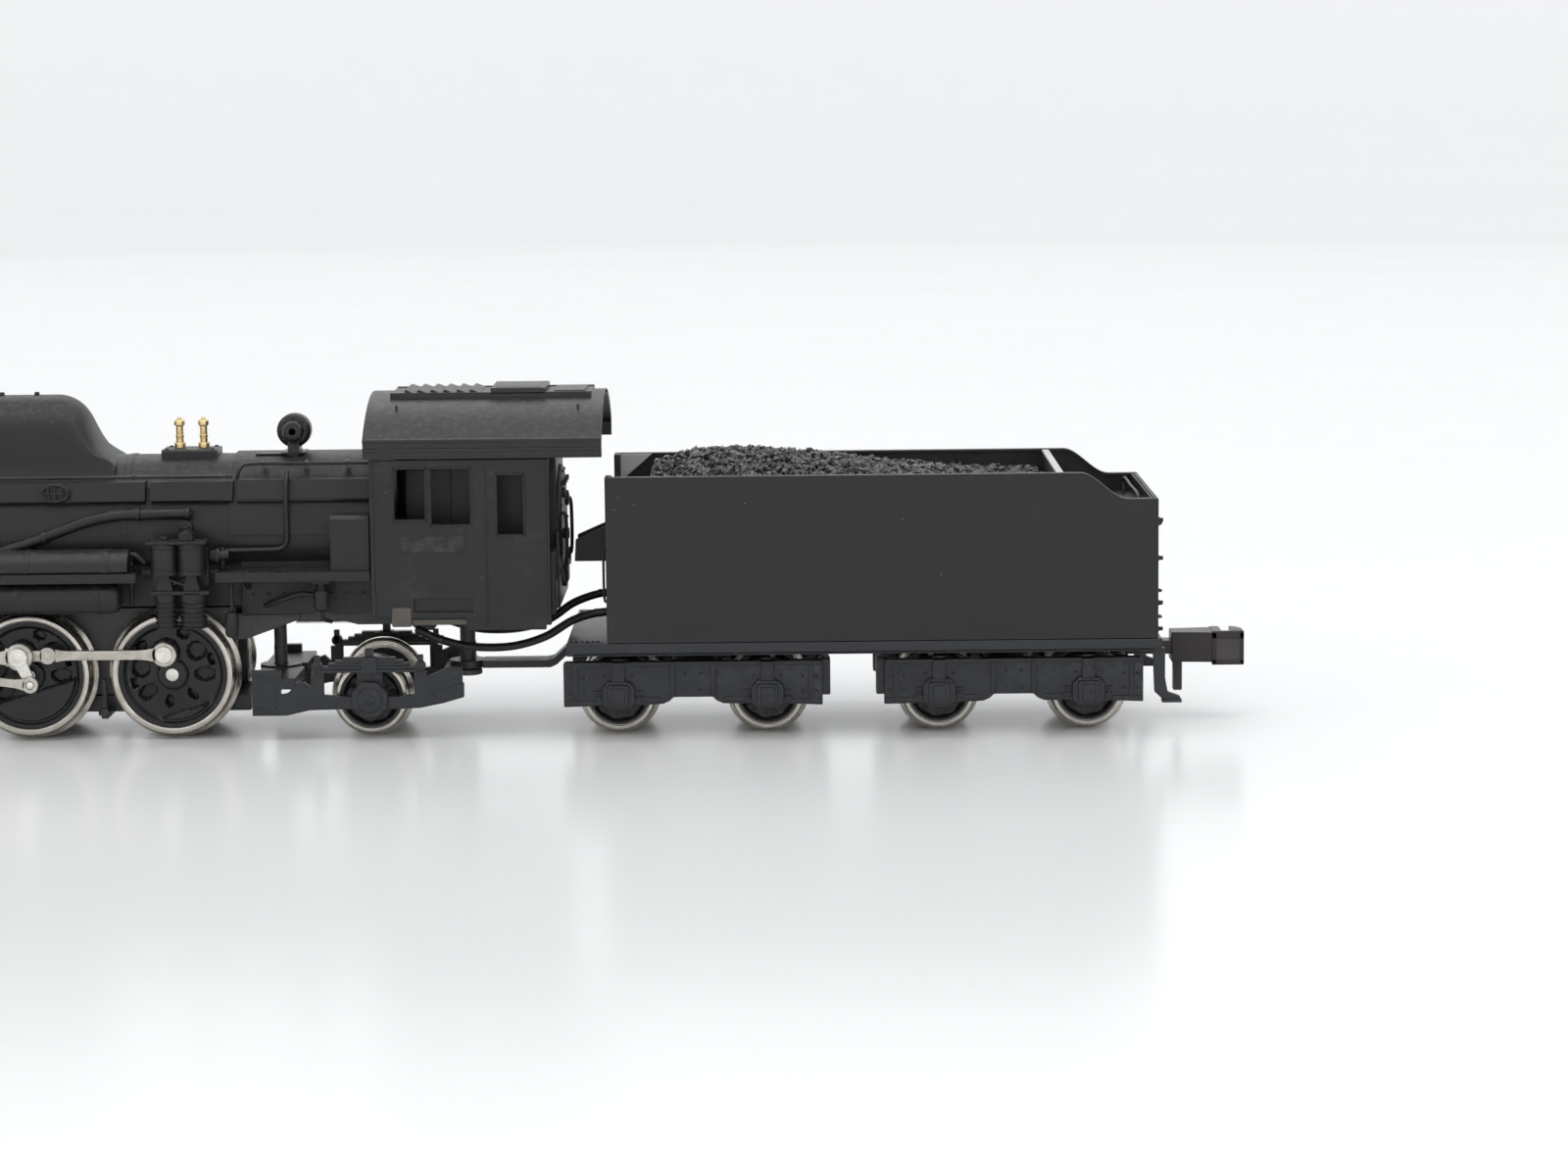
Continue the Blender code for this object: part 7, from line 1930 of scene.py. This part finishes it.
def bogie_frame(place, x):
    """A tender bogie's frame, whose crossbar is at the end nearer the middle of the tender."""
    shape = Shape()
    inner = {"front": 1, "rear": -1}[place]
    half = 5.7
    for y in ((-6.3, -0.8), (0.8, 6.3)):
        shape.box((x - 2.0, x + 2.0), y, (4.02, 5.0), 0.08)
    shape.ring("z", (x, 0.0), 0.76, 1.9, (3.92, 5.78), 44)
    edge = [(-9.9, 2.4), (-half - 1.9, 2.45), (-half - 1.3, 2.5), (-half + 1.3, 2.5), (-half + 1.9, 2.5),
            (-2.3, 2.58), (-1.8, 2.8), (-1.5, 3.1), (1.5, 3.1), (1.8, 2.8), (2.3, 2.58), (half + 1.9, 2.5),
            (9.9, 2.4), (9.9, 5.75), (9.75, 5.9), (-9.75, 5.9), (-9.9, 5.75)]
    for sign in SIDES.values():
        shape.prism("y", [(x + dx, z) for dx, z in edge], out(sign, 6.05, 6.72), 0.09)
        shape.box((x - 9.8, x + 9.8), out(sign, 6.6, 6.9), (5.5, 5.88), 0.07)
        for end in (-1, 1):
            for near, far, z in ((2.4, 3.9, (2.7, 3.1)), (7.5, 9.8, (2.5, 2.9))):
                shape.box(out(end, near, far, x), out(sign, 6.6, 6.84), z, 0.06)
            shape.box((x + end * 9.0 - 0.2, x + end * 9.0 + 0.2), out(sign, 6.6, 6.86), (2.7, 5.6), 0.05)
            shape.rivets("y", (x + end * 9.45, x + end * 8.4), (3.5, 4.6), sign * 6.7, sign, 0.13)
            shape.box((x + end * 1.55 - 0.2, x + end * 1.55 + 0.2), out(sign, 6.6, 6.95), (3.2, 5.7), 0.05)
            axlebox(shape, sign, x + end * half)
        shape.rivets("y", (x - 0.6, x + 0.6), (3.6, 4.9), sign * 6.7, sign, 0.13)
        shape.box(out(inner, 9.6, 10.5, x), out(sign, 4.6, 6.3), (3.1, 5.9), 0.12)
    name = f"tender_bogie_{place}"
    piece(f"{name}_moulding", name, "underframe", shape, [name], (x, 0.0, 4.8))


def coupler():
    shape = Shape()
    sheen_patch = Shape()
    end = span("rear_coupler", 0)[1]
    shape.prism("z", [(73.5, -0.7), (77.6, -0.9), (77.6, 0.9), (73.5, 0.7)], (5.12, 6.18), 0.08)
    shape.ring("z", (COUPLER_X, 0.0), 0.38, 0.78, (5.12, 6.18), 32)
    shape.prism("z", [(77.0, -1.1), (78.6, -1.25), (80.3, -1.45), (80.3, 1.45), (78.6, 1.25), (77.0, 1.1)],
                (4.52, 6.88), 0.1)
    shape.box((80.15, end - 0.05), (-1.4, -0.66), (4.38, 6.92), 0.06)
    shape.box((80.15, 80.93), (-1.2, 1.45), (4.35, 6.95), 0.08)
    shape.prism("z", [(81.7, -0.9), (end, -0.9), (end, 0.35), (82.2, 1.1), (81.7, 1.45)], (4.34, 6.96), 0.07)
    shape.prism("z", [(80.5, -1.3), (82.4, -1.3), (82.3, 0.3), (81.7, 1.35), (80.5, 1.35)], (4.42, 5.25),
                0.05)
    for x, z in (((80.1, end), (6.35, 6.98)), ((80.1, end), (4.32, 4.75)), ((80.1, 80.5), (4.4, 6.9)),
                 ((82.25, end), (4.4, 6.9))):
        shape.box(x, (-1.5, -1.3), z, 0.06)
    shape.prism("y", [(77.2, 2.2), (77.9, 2.2), (77.9, 4.7), (77.2, 4.7)], (-0.5, 0.5), 0.1)
    shape.prism("y", [(77.2, 4.3), (78.6, 4.55), (77.2, 5.2)], (-0.45, 0.45), 0.05)
    # A lighter grey patch on the left side of the head: painted sheen.
    sheen_patch.box((80.4, 82.35), (-1.46, -1.3), (4.65, 6.45), 0.02)
    piece("rear_coupler_moulding", "coupler", "coupler", shape, ["rear_coupler"], (COUPLER_X, 0.0, 5.6))
    piece("rear_coupler_sheen_patch", "coupler", "sheen_patch", sheen_patch, origin=(81.4, -1.45, 5.6))


for make in (between, tender_walls, coal_heap, tender_frame, coupler):
    make()
for place, x in BOGIE_X.items():
    bogie_frame(place, x)
